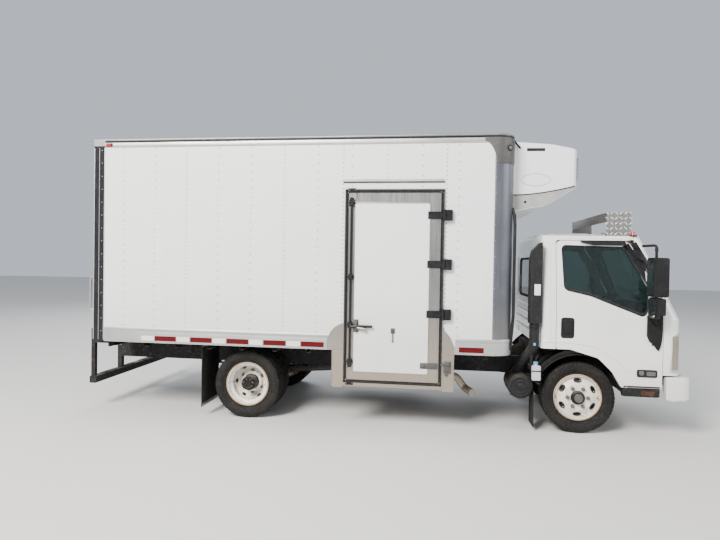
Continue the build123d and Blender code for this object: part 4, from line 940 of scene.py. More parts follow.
def wall_rivets():
    """Rivets down every post of the side walls, closer together where two sheets lap."""
    low, high = BOX.low + 0.205, ROOF.low - 0.035
    over_door = DOOR_FRAME.high + 0.03
    for side, name in SIDES:
        face = side * (BOX.left + 0.0005)
        plain, dense = [], []
        laps = Shape()
        for index, x in enumerate(POSTS):
            foot = over_door if side < 0 and DOOR.rear - 0.05 < x < DOOR.front + 0.05 else low
            lapped = index % 3 == 2
            (dense if lapped else plain).append([(x, face, foot), (x, face, high)])
            if lapped:
                laps.strip([(x, side * BOX.left, foot - 0.02), (x, side * BOX.left, high + 0.015)], 0.036,
                    0.001, LEFT * side, crown=0.05)
        if side < 0:
            for x in (DOOR.rear - 0.056, DOOR.front + 0.050):
                dense.append([(x, face, low + 0.13), (x, face, high)])
        finished(laps, f"wall_sheet_laps_{name}", "chassis", PANEL_WHITE)
        rivets(f"wall_rivets_{name}", "chassis", RIVET_GREY, plain, 0.094, LEFT * side, 0.0080)
        rivets(f"wall_lap_rivets_{name}", "chassis", RIVET_GREY, dense, 0.047, LEFT * side, 0.0075)


def front_corners():
    """Corner posts with riveted flanges, the cast corner caps and their lamps."""
    for side, name in SIDES:
        half = side * BOX.left
        flanges = Shape()
        flanges.strip([(WALL.front - 0.012, half, BOX.low + 0.18), (WALL.front - 0.012, half,
            ROOF.low - 0.02)], 0.034, 0.003, LEFT * side, crown=0.08)
        flanges.strip([(BOX.front, half - side * (CORNER + 0.018), BOX.low + 0.18),
                       (BOX.front, half - side * (CORNER + 0.018), ROOF.low - 0.02)], 0.05, 0.003, FORWARD,
                      crown=0.08)
        angle = math.radians(62)
        way = Vector((math.sin(angle), side * math.cos(angle), 0))
        seam = Vector((BOX.front - CORNER, half - side * CORNER, 0)) + way * CORNER
        flanges.strip([seam + UP * (BOX.low + 0.18), seam + UP * (ROOF.low - 0.25)], 0.010, 0.003, way)
        finished(flanges, f"corner_post_flanges_{name}", "chassis", CORNER_POST)
        rivets(f"corner_post_rivets_{name}", "chassis", ALUMINIUM, [[(WALL.front - 0.016,
            half + side * 0.003, 1.1), (WALL.front - 0.016, half + side * 0.003, 3.0)]], 0.17, LEFT * side,
            0.005)

        cap = Shape()
        low, high = ROOF.low - 0.245, ROOF.low + 0.042
        gusset = [(WALL.front + 0.006, low)]
        for step in range(9):
            share = step / 8
            gusset.append((WALL.front + 0.006 - 0.148 * share,
                low + (high - low - 0.04) * (1 - (1 - share) ** 2.2)))
        gusset += [(WALL.front - 0.142, high), (WALL.front + 0.006, high)]
        cap.prism([Vector(p) for p in gusset], *sorted((half, half + side * 0.007)), soft=0.002)
        centre = (BOX.front - CORNER, half - side * CORNER, 0)
        rows = []
        for step in range(13):
            angle = math.radians(-90 + 7.5 * step) * -side
            way = Vector((math.cos(angle), math.sin(angle), 0))
            rows.append([Vector(centre) + way * reach + UP * z for reach, z in (
                (CORNER, low), (CORNER + 0.004, low + 0.003), (CORNER + 0.009, low + 0.03),
                (CORNER + 0.009, high - 0.01), (CORNER + 0.005, high), (CORNER, high))])
        rings = [cap.loop(row) for row in rows]
        cap.bridge(rings, closed=True)
        finished(cap, f"corner_cap_{name}", "chassis", CORNER_CASTING)

        angle = math.radians(40)
        way = Vector((math.sin(angle), side * math.cos(angle), 0))
        at = Vector(centre) + way * (CORNER + 0.009) + UP * (low + 0.175)
        lamp, rim = Shape(), Shape()
        lamp.turned([(0, 0.018), (0.012, 0.016), (0.022, 0.008), (0.024, 0), (0, 0)], at, way, 20)
        rim.turned([(0.024, 0), (0.024, 0.006), (0.034, 0.006), (0.036, 0)], at, way, 20)
        finished(lamp, f"clearance_lamp_{name}", "chassis", SMOKED)
        finished(rim, f"clearance_lamp_rim_{name}", "chassis", PLASTIC)


def front_face():
    """The box's front sheet with its rivets, drain hoses and the unit's cable conduit."""
    half = BOX.left - CORNER - 0.045
    panel = Shape()
    panel.block((BOX.front - 0.001, BOX.front + 0.002), (-half, half), (BOX.low + 0.18, ROOF.low - 0.02))
    finished(panel, "front_sheet", "chassis", PANEL_WHITE)
    columns = [[(BOX.front + 0.002, y, BOX.low + 0.22), (BOX.front + 0.002, y, UNIT.low - 0.03)]
               for y in (-half + 0.02, -0.5, 0.0, 0.5, half - 0.02)]
    rivets("front_sheet_rivets", "chassis", ALUMINIUM, columns, 0.1, FORWARD)
    hoses = Shape()
    for y in (-0.62, 0.62):
        hoses.tube([(BOX.front + 0.05, y, UNIT.low + 0.05), (BOX.front + 0.04, y, UNIT.low - 0.1),
                    (BOX.front + 0.018, y, UNIT.low - 0.25), (BOX.front + 0.018, y, 1.15),
                    (BOX.front + 0.010, y * 0.98, BOX.low + 0.02)], 0.011)
    hoses.tube([(BOX.front + 0.06, 0.3, UNIT.low + 0.05), (BOX.front + 0.03, 0.3, UNIT.low - 0.1),
                (BOX.front + 0.022, 0.3, 1.3), (BOX.front + 0.01, 0.36, BOX.low + 0.05),
                (BOX.front - 0.05, 0.4, BOX.low - 0.05)], 0.017)
    for side in (-1, 1):
        hoses.tube([(BOX.front - 0.012, side * 1.085, 2.50), (BOX.front + 0.010, side * 1.115, 2.42),
                    (BOX.front + 0.013, side * 1.135, 2.30), (BOX.front + 0.013, side * 1.135, 1.30),
                    (BOX.front - 0.012, side * 1.110, BOX.low + 0.06)], 0.018)
    finished(hoses, "unit_hoses", "chassis", PLASTIC)
    clips = Shape()
    for y in (-0.62, 0.3, 0.62):
        for z in (1.3, 1.7, 2.1):
            clips.block((BOX.front, BOX.front + 0.042), (y - 0.026, y + 0.026), (z, z + 0.018), 0.003)
    finished(clips, "unit_hose_clips", "chassis", STAINLESS)


def roof_skin():
    """Lap seams and rivets across the roof."""
    seams = Shape()
    chains = []
    half = BOX.left - 0.06
    for index, x in enumerate(POSTS):
        chains.append([(x, -half, BOX.high - 0.0018), (x, half, BOX.high - 0.0018)])
        if index % 3 == 2:
            seams.strip([(x, -half, BOX.high - 0.0006), (x, half, BOX.high - 0.0006)], 0.036, 0.001, UP,
                crown=0.05)
    finished(seams, "roof_sheet_laps", "chassis", ROOF_METAL)
    rivets("roof_rivets", "chassis", ALUMINIUM, chains, 0.15, UP)
    edge = [[(x, side * half, BOX.high - 0.0018) for x in (BOX.rear + 0.06, BOX.front - 0.2)]
            for side in (-1, 1)]
    rivets("roof_edge_rivets", "chassis", ALUMINIUM, edge, 0.1, UP)


def drip_strip():
    """The drip moulding over the side door, with a black strip beneath it as painted shadow."""
    shape = Shape()
    z = DOOR_FRAME.high + 0.086
    path = [(DOOR.rear - 0.057, BOX.right, z), (DOOR.front + 0.026, BOX.right, z)]
    shape.strip(path, 0.015, 0.016, RIGHT)
    shape.strip([(a, b, c + 0.014) for a, b, c in path], 0.022, 0.002, RIGHT, crown=0.05)
    finished(shape, "door_drip_strip", "chassis", ALUMINIUM)
    # A dark strip below the moulding: painted shadow of the drip strip.
    under = Shape()
    under.strip([(a, b, c - 0.012) for a, b, c in path], 0.009, 0.014, RIGHT)
    finished(under, "door_drip_gutter", "chassis", PLASTIC)


box_rails()
marking_tape()
wall_rivets()
front_corners()
front_face()
roof_skin()
drip_strip()


# Side door

def door_round(inset, y, corner=0.03):
    """A rounded rectangle inside the door's edge."""
    outline = oblong(DOOR.rear + inset, DOOR.front - inset, DOOR.low + inset, DOOR.high - inset, corner)
    return [Vector((p[0], y, p[1])) for p in outline]


PANEL_X = (DOOR.rear + 0.082, DOOR.front - 0.124)
PANEL_Z = (DOOR.low + 0.098, DOOR.high - 0.124)
SKIN_Y = DOOR.right + 0.004


def door_panel():
    """The white sheet let into the metal door, its gasket and its rivets."""
    sheet = Shape()
    corner = oblong(PANEL_X[0] + 0.008, PANEL_X[1] - 0.008, PANEL_Z[0] + 0.008, PANEL_Z[1] - 0.008, 0.012)
    sheet.prism(corner, DOOR.right - 0.0015, DOOR.right, soft=0.0005)
    finished(sheet, "side_door_sheet", "side_door", PANEL_WHITE)
    trim = Shape()
    around = oblong(*PANEL_X, *PANEL_Z, 0.012)
    trim.strip([Vector((p[0], SKIN_Y, p[1])) for p in around], 0.014, 0.005, RIGHT, joined=True)
    finished(trim, "side_door_sheet_trim", "side_door", STAINLESS)
    inner = [(PANEL_X[0] + 0.03, PANEL_Z[0] + 0.03), (PANEL_X[1] - 0.03, PANEL_Z[0] + 0.03),
             (PANEL_X[1] - 0.03, PANEL_Z[1] - 0.03), (PANEL_X[0] + 0.03, PANEL_Z[1] - 0.03)]
    ring = [Vector((x, DOOR.right - 0.0015, z)) for x, z in inner]
    rivets("side_door_sheet_rivets", "side_door", ALUMINIUM, [ring + ring[:1]], 0.098, RIGHT, 0.005)

    seal = Shape()
    seal.strip(door_round(0.006, SKIN_Y, 0.02), 0.011, 0.006, RIGHT, joined=True)
    finished(seal, "side_door_gasket", "side_door", FLAP)
    edge = door_round(0.028, SKIN_Y, 0.0)
    rivets("side_door_border_rivets", "side_door", STAINLESS, [edge + edge[:1]], 0.147, RIGHT, 0.005)

    fold = Shape()
    for x in (DOOR.rear + 0.020, DOOR.front - 0.030):
        fold.strip([(x, SKIN_Y, DOOR.low + 0.03), (x, SKIN_Y, DOOR.high - 0.03)], 0.006, 0.0025, RIGHT)
    finished(fold, "side_door_folds", "side_door", STAINLESS)


def door_hardware():
    """Bolts on the hinges, keepers, the lever's grip, a key lock and the cable at the rod's head."""
    hinge = Extent("side_door_hinges")
    heights = [hinge.low + 0.040 + step for step in (0, 0.550, 1.090)]
    face = hinge.right
    strap_y = DOOR.right - 0.008
    strap, fixed = [], []
    for z in heights:
        strap += [(hinge.rear + 0.018 + a, strap_y, z + b) for a in (0, 0.045, 0.09)
            for b in (-0.022, 0.022)]
        fixed += [(DOOR.front + 0.090, Extent("body_hinges").right + 0.010, z + b)
            for b in (-0.042, 0, 0.042)]
    bolts("side_door_hinge_bolts", "side_door", REAR_BLACK, strap, RIGHT, 0.008, 0.006)
    bolts("body_hinge_bolts", "chassis", REAR_BLACK, fixed, RIGHT, 0.008, 0.006)
    ribs = Shape()
    for z in heights:
        for offset in (-0.030, 0.030):
            ribs.strip([(hinge.rear + 0.006, strap_y, z + offset), (hinge.front - 0.045, strap_y,
                z + offset)], 0.008, 0.003, RIGHT)
    finished(ribs, "side_door_hinge_ribs", "side_door", REAR_BLACK)

    latch = Extent("side_door_latch")
    rod = Vector((latch.rear + 0.024, DOOR.right - 0.018, 0))
    keepers, pads = Shape(), []
    for z in (0.76, 1.174, 1.712, 2.54):
        keepers.strip([(rod.x - 0.042, SKIN_Y, z), (rod.x - 0.026, SKIN_Y, z)], 0.056, 0.006, RIGHT,
            crown=0.1)
        keepers.strip([(rod.x + 0.026, SKIN_Y, z), (rod.x + 0.042, SKIN_Y, z)], 0.056, 0.006, RIGHT,
            crown=0.1)
        keepers.tube([(rod.x, rod.y + 0.004, z - 0.036), (rod.x, rod.y + 0.004, z + 0.036)], 0.0165, 16)
        pads += [(rod.x + a, SKIN_Y - 0.006, z + b) for a in (-0.034, 0.034) for b in (-0.016, 0.016)]
    for z, way in ((latch.low + 0.012, -1), (latch.high - 0.012, 1)):
        keepers.block((rod.x - 0.020, rod.x + 0.022), (rod.y - 0.014, rod.y + 0.016),
                      sorted((z - way * 0.03, z + way * 0.012)), 0.004)
    finished(keepers, "lock_rod_guides", "side_door", REAR_BLACK)
    bolts("lock_rod_bolts", "side_door", STAINLESS, pads, RIGHT, 0.006, 0.004)

    sockets, plates = Shape(), []
    for z in (DOOR.high + 0.019, DOOR.low - 0.030):
        sockets.block((rod.x - 0.045, rod.x + 0.045), (DOOR_FRAME.right - 0.004, DOOR_FRAME.right + 0.001),
                      (z - 0.022, z + 0.022), 0.002)
        plates += [(rod.x + a, DOOR_FRAME.right - 0.004, z) for a in (-0.034, 0.034)]
    finished(sockets, "lock_rod_keeper_plates", "chassis", REAR_BLACK)
    bolts("lock_rod_keeper_bolts", "chassis", STAINLESS, plates, RIGHT, 0.006, 0.004)

    grip = Shape()
    start = Vector((rod.x + 0.02, DOOR.right - 0.021, 1.158))
    end = Vector((rod.x + 0.19, DOOR.right - 0.0425, 1.130))
    path = [start.lerp(end, share) for share in (0.38, 0.42, 0.55, 0.7, 0.85, 0.96, 1.0)]
    grip.tube(path, [0.015, 0.017, 0.0175, 0.0170, 0.0175, 0.017, 0.010], 14)
    finished(grip, "lock_lever_grip", "side_door", STAINLESS)
    upper, y = Shape(), DOOR.right - 0.034
    upper.tube([(rod.x + 0.078, y, 1.164), (rod.x + 0.085, y, 1.164), (rod.x + 0.252, y, 1.164),
                (rod.x + 0.258, y, 1.164)], [0.010, 0.0150, 0.0150, 0.009], 14)
    finished(upper, "lock_lever_cover", "side_door", PLASTIC)
    keep = Shape()
    keep.tube([(rod.x + 0.01, y, 1.163), (rod.x + 0.08, y, 1.164)], 0.009, 12)
    keep.block((rod.x + 0.056, rod.x + 0.084), (SKIN_Y - 0.040, SKIN_Y), (1.105, 1.225), 0.006)
    keep.block((rod.x + 0.040, rod.x + 0.100), (SKIN_Y - 0.006, SKIN_Y), (1.090, 1.240), 0.003)
    finished(keep, "lock_lever_keeper", "side_door", CORNER_CASTING)
    boss = Shape()
    boss.turned([(0, 0.014), (0.018, 0.012), (0.026, 0.004), (0.026, 0)],
        (rod.x, DOOR.right - 0.029, 1.162), RIGHT, 20)
    finished(boss, "lock_lever_boss", "side_door", REAR_BLACK)

    lock = Shape()
    at = Vector((DOOR.rear + 0.530, DOOR.right - 0.0015, 1.119))
    lock.turned([(0, 0.010), (0.009, 0.010), (0.010, 0.006), (0.022, 0.005), (0.026, 0)], at, RIGHT, 24)
    lock.block((at.x - 0.024, at.x + 0.024), (at.y - 0.003, at.y), (at.z - 0.030, at.z + 0.032), 0.001)
    lock.block((at.x - 0.006, at.x + 0.006), (at.y - 0.011, at.y), (at.z - 0.118, at.z - 0.028), 0.002)
    lock.block((at.x - 0.016, at.x + 0.016), (at.y - 0.006, at.y), (at.z - 0.126, at.z - 0.116), 0.002)
    lock.block((0.606, 0.800), (SKIN_Y - 0.011, SKIN_Y), (0.712, 0.778), 0.003)
    lock.block((0.626, 0.660), (SKIN_Y - 0.020, SKIN_Y), (0.728, 0.762), 0.004)
    finished(lock, "side_door_key_lock", "side_door", CORNER_CASTING)
    slot = Shape()
    slot.block((at.x - 0.0015, at.x + 0.0015), (at.y - 0.0105, at.y - 0.009), (at.z - 0.006, at.z + 0.006))
    finished(slot, "side_door_key_slot", "side_door", PLASTIC)

    loop = Shape()
    top = Vector((rod.x, rod.y - 0.010, latch.high - 0.03))
    points = []
    for step in range(15):
        angle = math.pi * (0.1 + 1.5 * step / 14)
        points.append(top + Vector((0.030 - 0.035 * math.cos(angle), -0.006,
            0.05 - 0.060 * math.sin(angle))))
    loop.tube(points, 0.0035, 8)
    finished(loop, "lock_rod_cable", "side_door", PLASTIC)


def doorway_trim():
    """Seal and rivets round the metal portal, its wings, the hold-back latch and the sill's tread."""
    face = DOOR_FRAME.right - 0.0002
    x_low, x_high = DOOR.rear - JAMB + 0.012, DOOR.front + JAMB - 0.012
    top = DOOR_FRAME.high - 0.012
    seal = Shape()
    for x in (DOOR.rear - 0.016, DOOR.front + 0.016):
        seal.strip([(x, face, DOOR.low - 0.024), (x, face, DOOR.high + 0.024)], 0.019, 0.0015, RIGHT,
            crown=0.1)
    for z in (DOOR.low - 0.016, DOOR.high + 0.016):
        seal.strip([(DOOR.rear - 0.025, face, z), (DOOR.front + 0.025, face, z)], 0.019, 0.0015, RIGHT,
            crown=0.1)
    finished(seal, "side_doorway_seal", "chassis", FLAP)
    ring = [(x_low, face, DOOR.low - 0.03), (x_low, face, top), (x_high, face, top),
            (x_high, face, DOOR.low - 0.03)]
    rivets("door_portal_rivets", "chassis", STAINLESS, [ring], 0.12, RIGHT, 0.0045)
    wing_y = BOX.right - 0.0102
    edge = Shape()
    chains = []
    for x_inner, x_outer in ((DOOR.rear - JAMB, DOOR_FRAME.rear), (DOOR.front + JAMB, DOOR_FRAME.front)):
        way = 1 if x_outer > x_inner else -1
        rim = [(x_outer - way * 0.006, DOOR_FRAME.low + 0.03), (x_outer - way * 0.006, 0.935),
            (x_outer - way * 0.03, 0.965), (x_inner + way * 0.045, 0.985), (x_inner + way * 0.018, 1.02),
            (x_inner + way * 0.010, 1.16)]
        edge.strip([(x, wing_y, z) for x, z in rim], 0.008, 0.004, RIGHT)
        chains.append([(x - way * 0.018, wing_y, z) for x, z in rim[:2]])
        chains.append([(x_inner + way * 0.02, wing_y, DOOR_FRAME.low + 0.03),
            (x_inner + way * 0.02, wing_y, 0.97)])
    finished(edge, "door_wing_beads", "chassis", STAINLESS)
    wings = Shape()
    inner_rear, inner_front = DOOR.rear - JAMB + 0.004, DOOR.front + JAMB - 0.004
    for curve in ([(inner_rear, 0.886), (inner_rear, 1.190), (-0.309, 1.173), (-0.365, 1.137),
            (-0.412, 1.079), (-0.434, 1.032), (-0.449, 0.984), (-0.447, 0.886)],
            [(inner_front, 0.871), (0.970, 0.871), (0.978, 0.941), (0.959, 1.007), (0.931, 1.070),
            (0.885, 1.127), (inner_front, 1.150)]):
        wings.prism([Vector(p) for p in curve], BOX.right - 0.0135, BOX.right + 0.001, soft=0.0015)
    finished(wings, "door_wing_plates", "chassis", STAINLESS)
    rivets("door_wing_rivets", "chassis", STAINLESS, chains, 0.1, RIGHT, 0.005)

    catch = Shape()
    z = 0.764
    catch.tube([(DOOR.front + 0.010, face - 0.016, z), (DOOR.front + 0.110, face - 0.014, z)], 0.0065, 12)
    for x in (DOOR.front + 0.024, DOOR.front + 0.096):
        catch.block((x - 0.010, x + 0.010), (face - 0.024, face + 0.012), (z - 0.012, z + 0.012), 0.003)
    catch.tube([(DOOR.front + 0.108, face - 0.014, z), (DOOR.front + 0.120, face - 0.030, z + 0.004),
                (DOOR.front + 0.122, face - 0.034, z + 0.030)], 0.0065, 12)
    catch.block((DOOR.front + 0.046, DOOR.front + 0.128), (face - 0.008, face), (0.668, 0.798), 0.003)
    catch.block((DOOR.front + 0.060, DOOR.front + 0.096), (face - 0.020, face), (0.640, 0.684), 0.004)
    finished(catch, "door_hold_back", "chassis", CORNER_CASTING)
    tread_plate("door_step_tread", "chassis", TREAD_METAL, (DOOR.front - DOOR.rear - 0.06, 0.20), 0.034,
                (DOOR.middle.x, DOOR_FRAME.left - 0.14, 0.7905))


door_panel()
door_hardware()
doorway_trim()


# Rear end

def roll_up_door():
    """Hinges, tracks, seals, latch and pull rope of the rear door."""
    height = (REAR_DOOR.high - REAR_DOOR.low) / 6
    face = REAR_DOOR.rear
    half = REAR_DOOR.left
    panels, leaves, screws, beads = Shape(), Shape(), [], Shape()
    for index in range(6):
        low = REAR_DOOR.low + height * index
        panels.block((face - 0.0015, face + 0.001), (-half + 0.02, half - 0.02),
            (low + 0.012, low + height - 0.012), 0.0008)
        for z in (low + 0.07, low + height - 0.07):
            beads.strip([(face - 0.0012, -half + 0.03, z), (face - 0.0012, half - 0.03, z)], 0.012, 0.003,
                BACK)
        if index:
            for y in (-0.98, -0.49, 0.0, 0.49, 0.98):
                leaves.block((face - 0.004, face), (y - 0.026, y + 0.026), (low - 0.046, low + 0.046),
                    0.001)
                leaves.tube([(face - 0.006, y - 0.028, low), (face - 0.006, y + 0.028, low)], 0.0055, 10)
                screws += [(face - 0.004, y + a, low + b) for a in (-0.014, 0.014)
                    for b in (-0.034, -0.02, 0.02, 0.034)]
    finished(panels, "rear_door_skins", "chassis", PANEL_WHITE)
    finished(beads, "rear_door_beads", "chassis", PANEL_WHITE)
    finished(leaves, "rear_door_hinges", "chassis", STAINLESS)
    bolts("rear_door_hinge_screws", "chassis", STAINLESS, screws, BACK, 0.005, 0.003)

    tracks = Shape()
    for side in (-1, 1):
        y = side * (half - 0.012)
        tracks.block((face - 0.028, face - 0.022), (y + 0.012, y - 0.016),
            (REAR_DOOR.low + 0.02, REAR_DOOR.high), 0.001)
        tracks.block((face - 0.028, face - 0.002), (y + side * 0.008, y + side * 0.012),
             (REAR_DOOR.low + 0.02, REAR_DOOR.high), 0.001)
    finished(tracks, "rear_door_tracks", "chassis", ALUMINIUM)
    seals = Shape()
    seals.strip([(face - 0.004, -half + 0.03, REAR_DOOR.low + 0.014),
        (face - 0.004, half - 0.03, REAR_DOOR.low + 0.014)], 0.026, 0.010, BACK)
    seals.strip([(face - 0.004, -half + 0.03, REAR_DOOR.high - 0.014),
                 (face - 0.004, half - 0.03, REAR_DOOR.high - 0.014)], 0.026, 0.014, BACK)
    finished(seals, "rear_door_seals", "chassis", FLAP)

    latch = Shape()
    z = REAR_DOOR.low + 0.13
    latch.block((face - 0.008, face), (0.17, -0.17), (z - 0.05, z + 0.05), 0.003)
    latch.block((face - 0.020, face - 0.004), (0.03, -0.03), (z - 0.11, z + 0.02), 0.004)
    latch.tube([(face - 0.030, -0.10, z + 0.006), (face - 0.036, -0.05, z + 0.010),
        (face - 0.038, 0.06, z + 0.012), (face - 0.034, 0.13, z + 0.010)], [0.009, 0.010, 0.011, 0.008],
        12)
    latch.tube([(face - 0.004, -0.10, z + 0.006), (face - 0.034, -0.10, z + 0.006)], 0.012, 12)
    latch.block((face - 0.034, face - 0.006), (0.135, 0.11), (z - 0.004, z + 0.026), 0.003)
    finished(latch, "rear_door_latch", "chassis", STAINLESS)
    bolts("rear_door_latch_bolts", "chassis", STAINLESS,
          [(face - 0.008, y, z + b) for y in (-0.15, 0.15) for b in (-0.035, 0.035)], BACK, 0.007, 0.004)
    grip = Shape()
    for y in (-0.34, 0.34):
        grip.tube([(face, y - 0.06, z), (face - 0.032, y - 0.055, z), (face - 0.036, y - 0.04, z),
            (face - 0.036, y + 0.04, z), (face - 0.032, y + 0.055, z), (face, y + 0.06, z)], 0.008, 12)
    finished(grip, "rear_door_grips", "chassis", STAINLESS)
    rope = Shape()
    rope.tube([(face - 0.008, 0.22, z + 0.02), (face - 0.016, 0.222, z - 0.03),
        (face - 0.018, 0.224, z - 0.09)], 0.006, 10)
    rope.turned([(0, 0.012), (0.010, 0.008), (0.012, 0), (0.010, -0.008), (0, -0.012)],
        (face - 0.018, 0.224, z - 0.095), UP, 14)
    finished(rope, "rear_door_pull_rope", "chassis", CLOTH)


def rear_portal():
    """Lamps, post beads, rivets, grab handles, buffers and the tread plate of the rear frame; the beads'
    light metal is painted highlight on the black posts.
    """
    back = BOX.rear
    red, rims = Shape(), Shape()
    z = REAR_DOOR.high + 0.082
    for y in (-1.10, -0.17, 0.0, 0.17, 1.10):
        red.strip([(back - 0.003, y - 0.032, z), (back - 0.003, y + 0.032, z)], 0.026, 0.012, BACK)
        rims.strip([(back, y - 0.042, z), (back, y + 0.042, z)], 0.040, 0.005, BACK, crown=0.15)
    for side in (-1, 1):
        y, x = side * BOX.left, BOX.rear + 0.20
        red.strip([(x - 0.03, y + side * 0.007, ROOF.low + 0.011), (x + 0.03, y + side * 0.007,
            ROOF.low + 0.011)], 0.026, 0.010, LEFT * side)
        rims.strip([(x - 0.04, y + side * 0.004, ROOF.low + 0.011),
            (x + 0.04, y + side * 0.004, ROOF.low + 0.011)], 0.040, 0.005, LEFT * side, crown=0.15)
    finished(red, "rear_marker_lamps", "chassis", RED_LENS)
    finished(rims, "rear_marker_lamp_rims", "chassis", PLASTIC)

    posts, chains = Shape(), []
    for side, name in SIDES:
        face = side * BOX.left
        # Ridges on the black rear posts; their light aluminium colour is painted highlight standing for
        # the posts' bright edges.
        for x, width in ((back + 0.006, 0.010), (back + 0.139, 0.012), (back + 0.072, 0.006)):
            posts.strip([(x, face, BOX.low + 0.02), (x, face, ROOF.low - 0.022)], width, 0.003,
                LEFT * side)
        rivets(f"rear_post_rivets_{name}", "chassis", ALUMINIUM,
               [[(back + 0.106, face, 1.0), (back + 0.106, face, 3.17)]], 0.155, LEFT * side, 0.006)
        y = side * (BOX.left - 0.055)
        chains.append([(back, y, 1.08), (back, y, 3.14)])
    finished(posts, "rear_post_highlight_beads", "chassis", ALUMINIUM)
    rivets("rear_face_rivets", "chassis", ALUMINIUM, chains, 0.155, BACK)

    handles = Shape()
    for side in (-1, 1):
        y = side * (BOX.left - 0.030)
        handles.tube([(back, y, 1.25), (back - 0.045, y, 1.255), (back - 0.055, y, 1.28),
            (back - 0.055, y, 1.62), (back - 0.045, y, 1.645), (back, y, 1.65)], 0.011, 14)
        for z in (1.25, 1.65):
            handles.turned([(0.011, 0.005), (0.028, 0.004), (0.030, 0), (0, 0)], (back, y, z), BACK, 20)
    finished(handles, "rear_grab_handles", "chassis", ALUMINIUM)
    buffers = Shape()
    for side in (-1, 1):
        y = side * (BOX.left - 0.12)
        buffers.block((back - 0.055, back), (y + 0.045, y - 0.045), (BOX.low + 0.012, BOX.low + 0.120),
            0.010)
    finished(buffers, "rear_buffers", "chassis", FLAP)
    bolts("rear_buffer_bolts", "chassis", STAINLESS, [(back - 0.055, side * (BOX.left - 0.12), z)
        for side in (-1, 1) for z in (BOX.low + 0.035, BOX.low + 0.097)], BACK, 0.010, 0.005)
    tread_plate("rear_threshold_tread", "chassis", TREAD_METAL, (1.9, 0.11), 0.030,
                (back - 0.0005, 0.0, BOX.low + 0.072), (math.pi / 2, 0.0, math.pi / 2))


def rear_lamps():
    """Tail lamp clusters, the blank number plate, and the rear guard's pads and bolts."""
    holder, red, amber, clear = Shape(), Shape(), Shape(), Shape()
    x = BOX.rear + 0.015
    for side in (-1, 1):
        holder.block((x, x + 0.035), (side * 0.93, side * 0.48), (0.765, 0.872), 0.006)
        for shape, y in ((red, 0.85), (amber, 0.705), (clear, 0.56)):
            at = (x, side * y, 0.818)
            shape.turned([(0, 0.020), (0.026, 0.018), (0.046, 0.010), (0.050, 0), (0, 0)], at, BACK, 28)
            holder.turned([(0.050, 0), (0.050, 0.008), (0.056, 0.008), (0.058, 0)], at, BACK, 28)
        holder.block((x + 0.03, x + 0.06), (side * 0.52, side * 0.34), (0.80, 0.85), 0.004)
    finished(holder, "tail_lamp_housings", "chassis", PLASTIC)
    finished(red, "tail_lamps_red", "chassis", RED_LENS)
    finished(amber, "tail_lamps_amber", "chassis", AMBER_LENS)
    finished(clear, "tail_lamps_clear", "chassis", LENS)
    plate = Shape()
    plate.block((x - 0.004, x), (0.155, -0.155), (0.70, 0.86), 0.002)
    finished(plate, "rear_number_plate_blank", "chassis", PANEL_WHITE)
    frame_rim = Shape()
    around = oblong(-0.165, 0.165, 0.69, 0.87, 0.012)
    frame_rim.strip([Vector((x, p[0], p[1])) for p in around], 0.014, 0.008, BACK, joined=True)
    frame_rim.block((x, x + 0.02), (0.345, -0.345), (0.765, 0.80), 0.003)
    finished(frame_rim, "rear_plate_frame", "chassis", PLASTIC)

    pads, nuts = Shape(), []
    for side in (-1, 1):
        y = side * (GUARD.left - 0.025)
        pads.block((GUARD.rear + 0.0004, GUARD.rear + 0.012), sorted((y - side * 0.004,
            y + side * 0.0275)), (0.325, 0.387), 0.002)
        nuts += [(GUARD.rear + 0.02, side * 0.975, z) for z in (0.45, 0.60, 0.75)]
        nuts += [(GUARD.rear + 0.015, side * 0.39 + a, z) for a in (-0.012, 0.012) for z in (0.46, 0.66)]
    for y in (-0.66, -0.22, 0.22, 0.66):
        pads.block((GUARD.rear + 0.012, GUARD.rear + 0.078), (y - 0.14, y + 0.14),
            (GUARD.low + 0.086, GUARD.low + 0.093), 0.003)
    finished(pads, "rear_guard_pads", "chassis", FLAP)
    bolts("rear_guard_bolts", "chassis", CASTING, nuts, BACK, 0.011, 0.008)


roll_up_door()
rear_portal()
rear_lamps()


# Cooling unit

def unit_seam(x):
    """The height at which the white cover meets the grey skirt."""
    share = max(0.0, (x - UNIT.rear) / (UNIT.front - 0.02 - UNIT.rear))
    return 2.666 + 0.121 * share ** 1.8


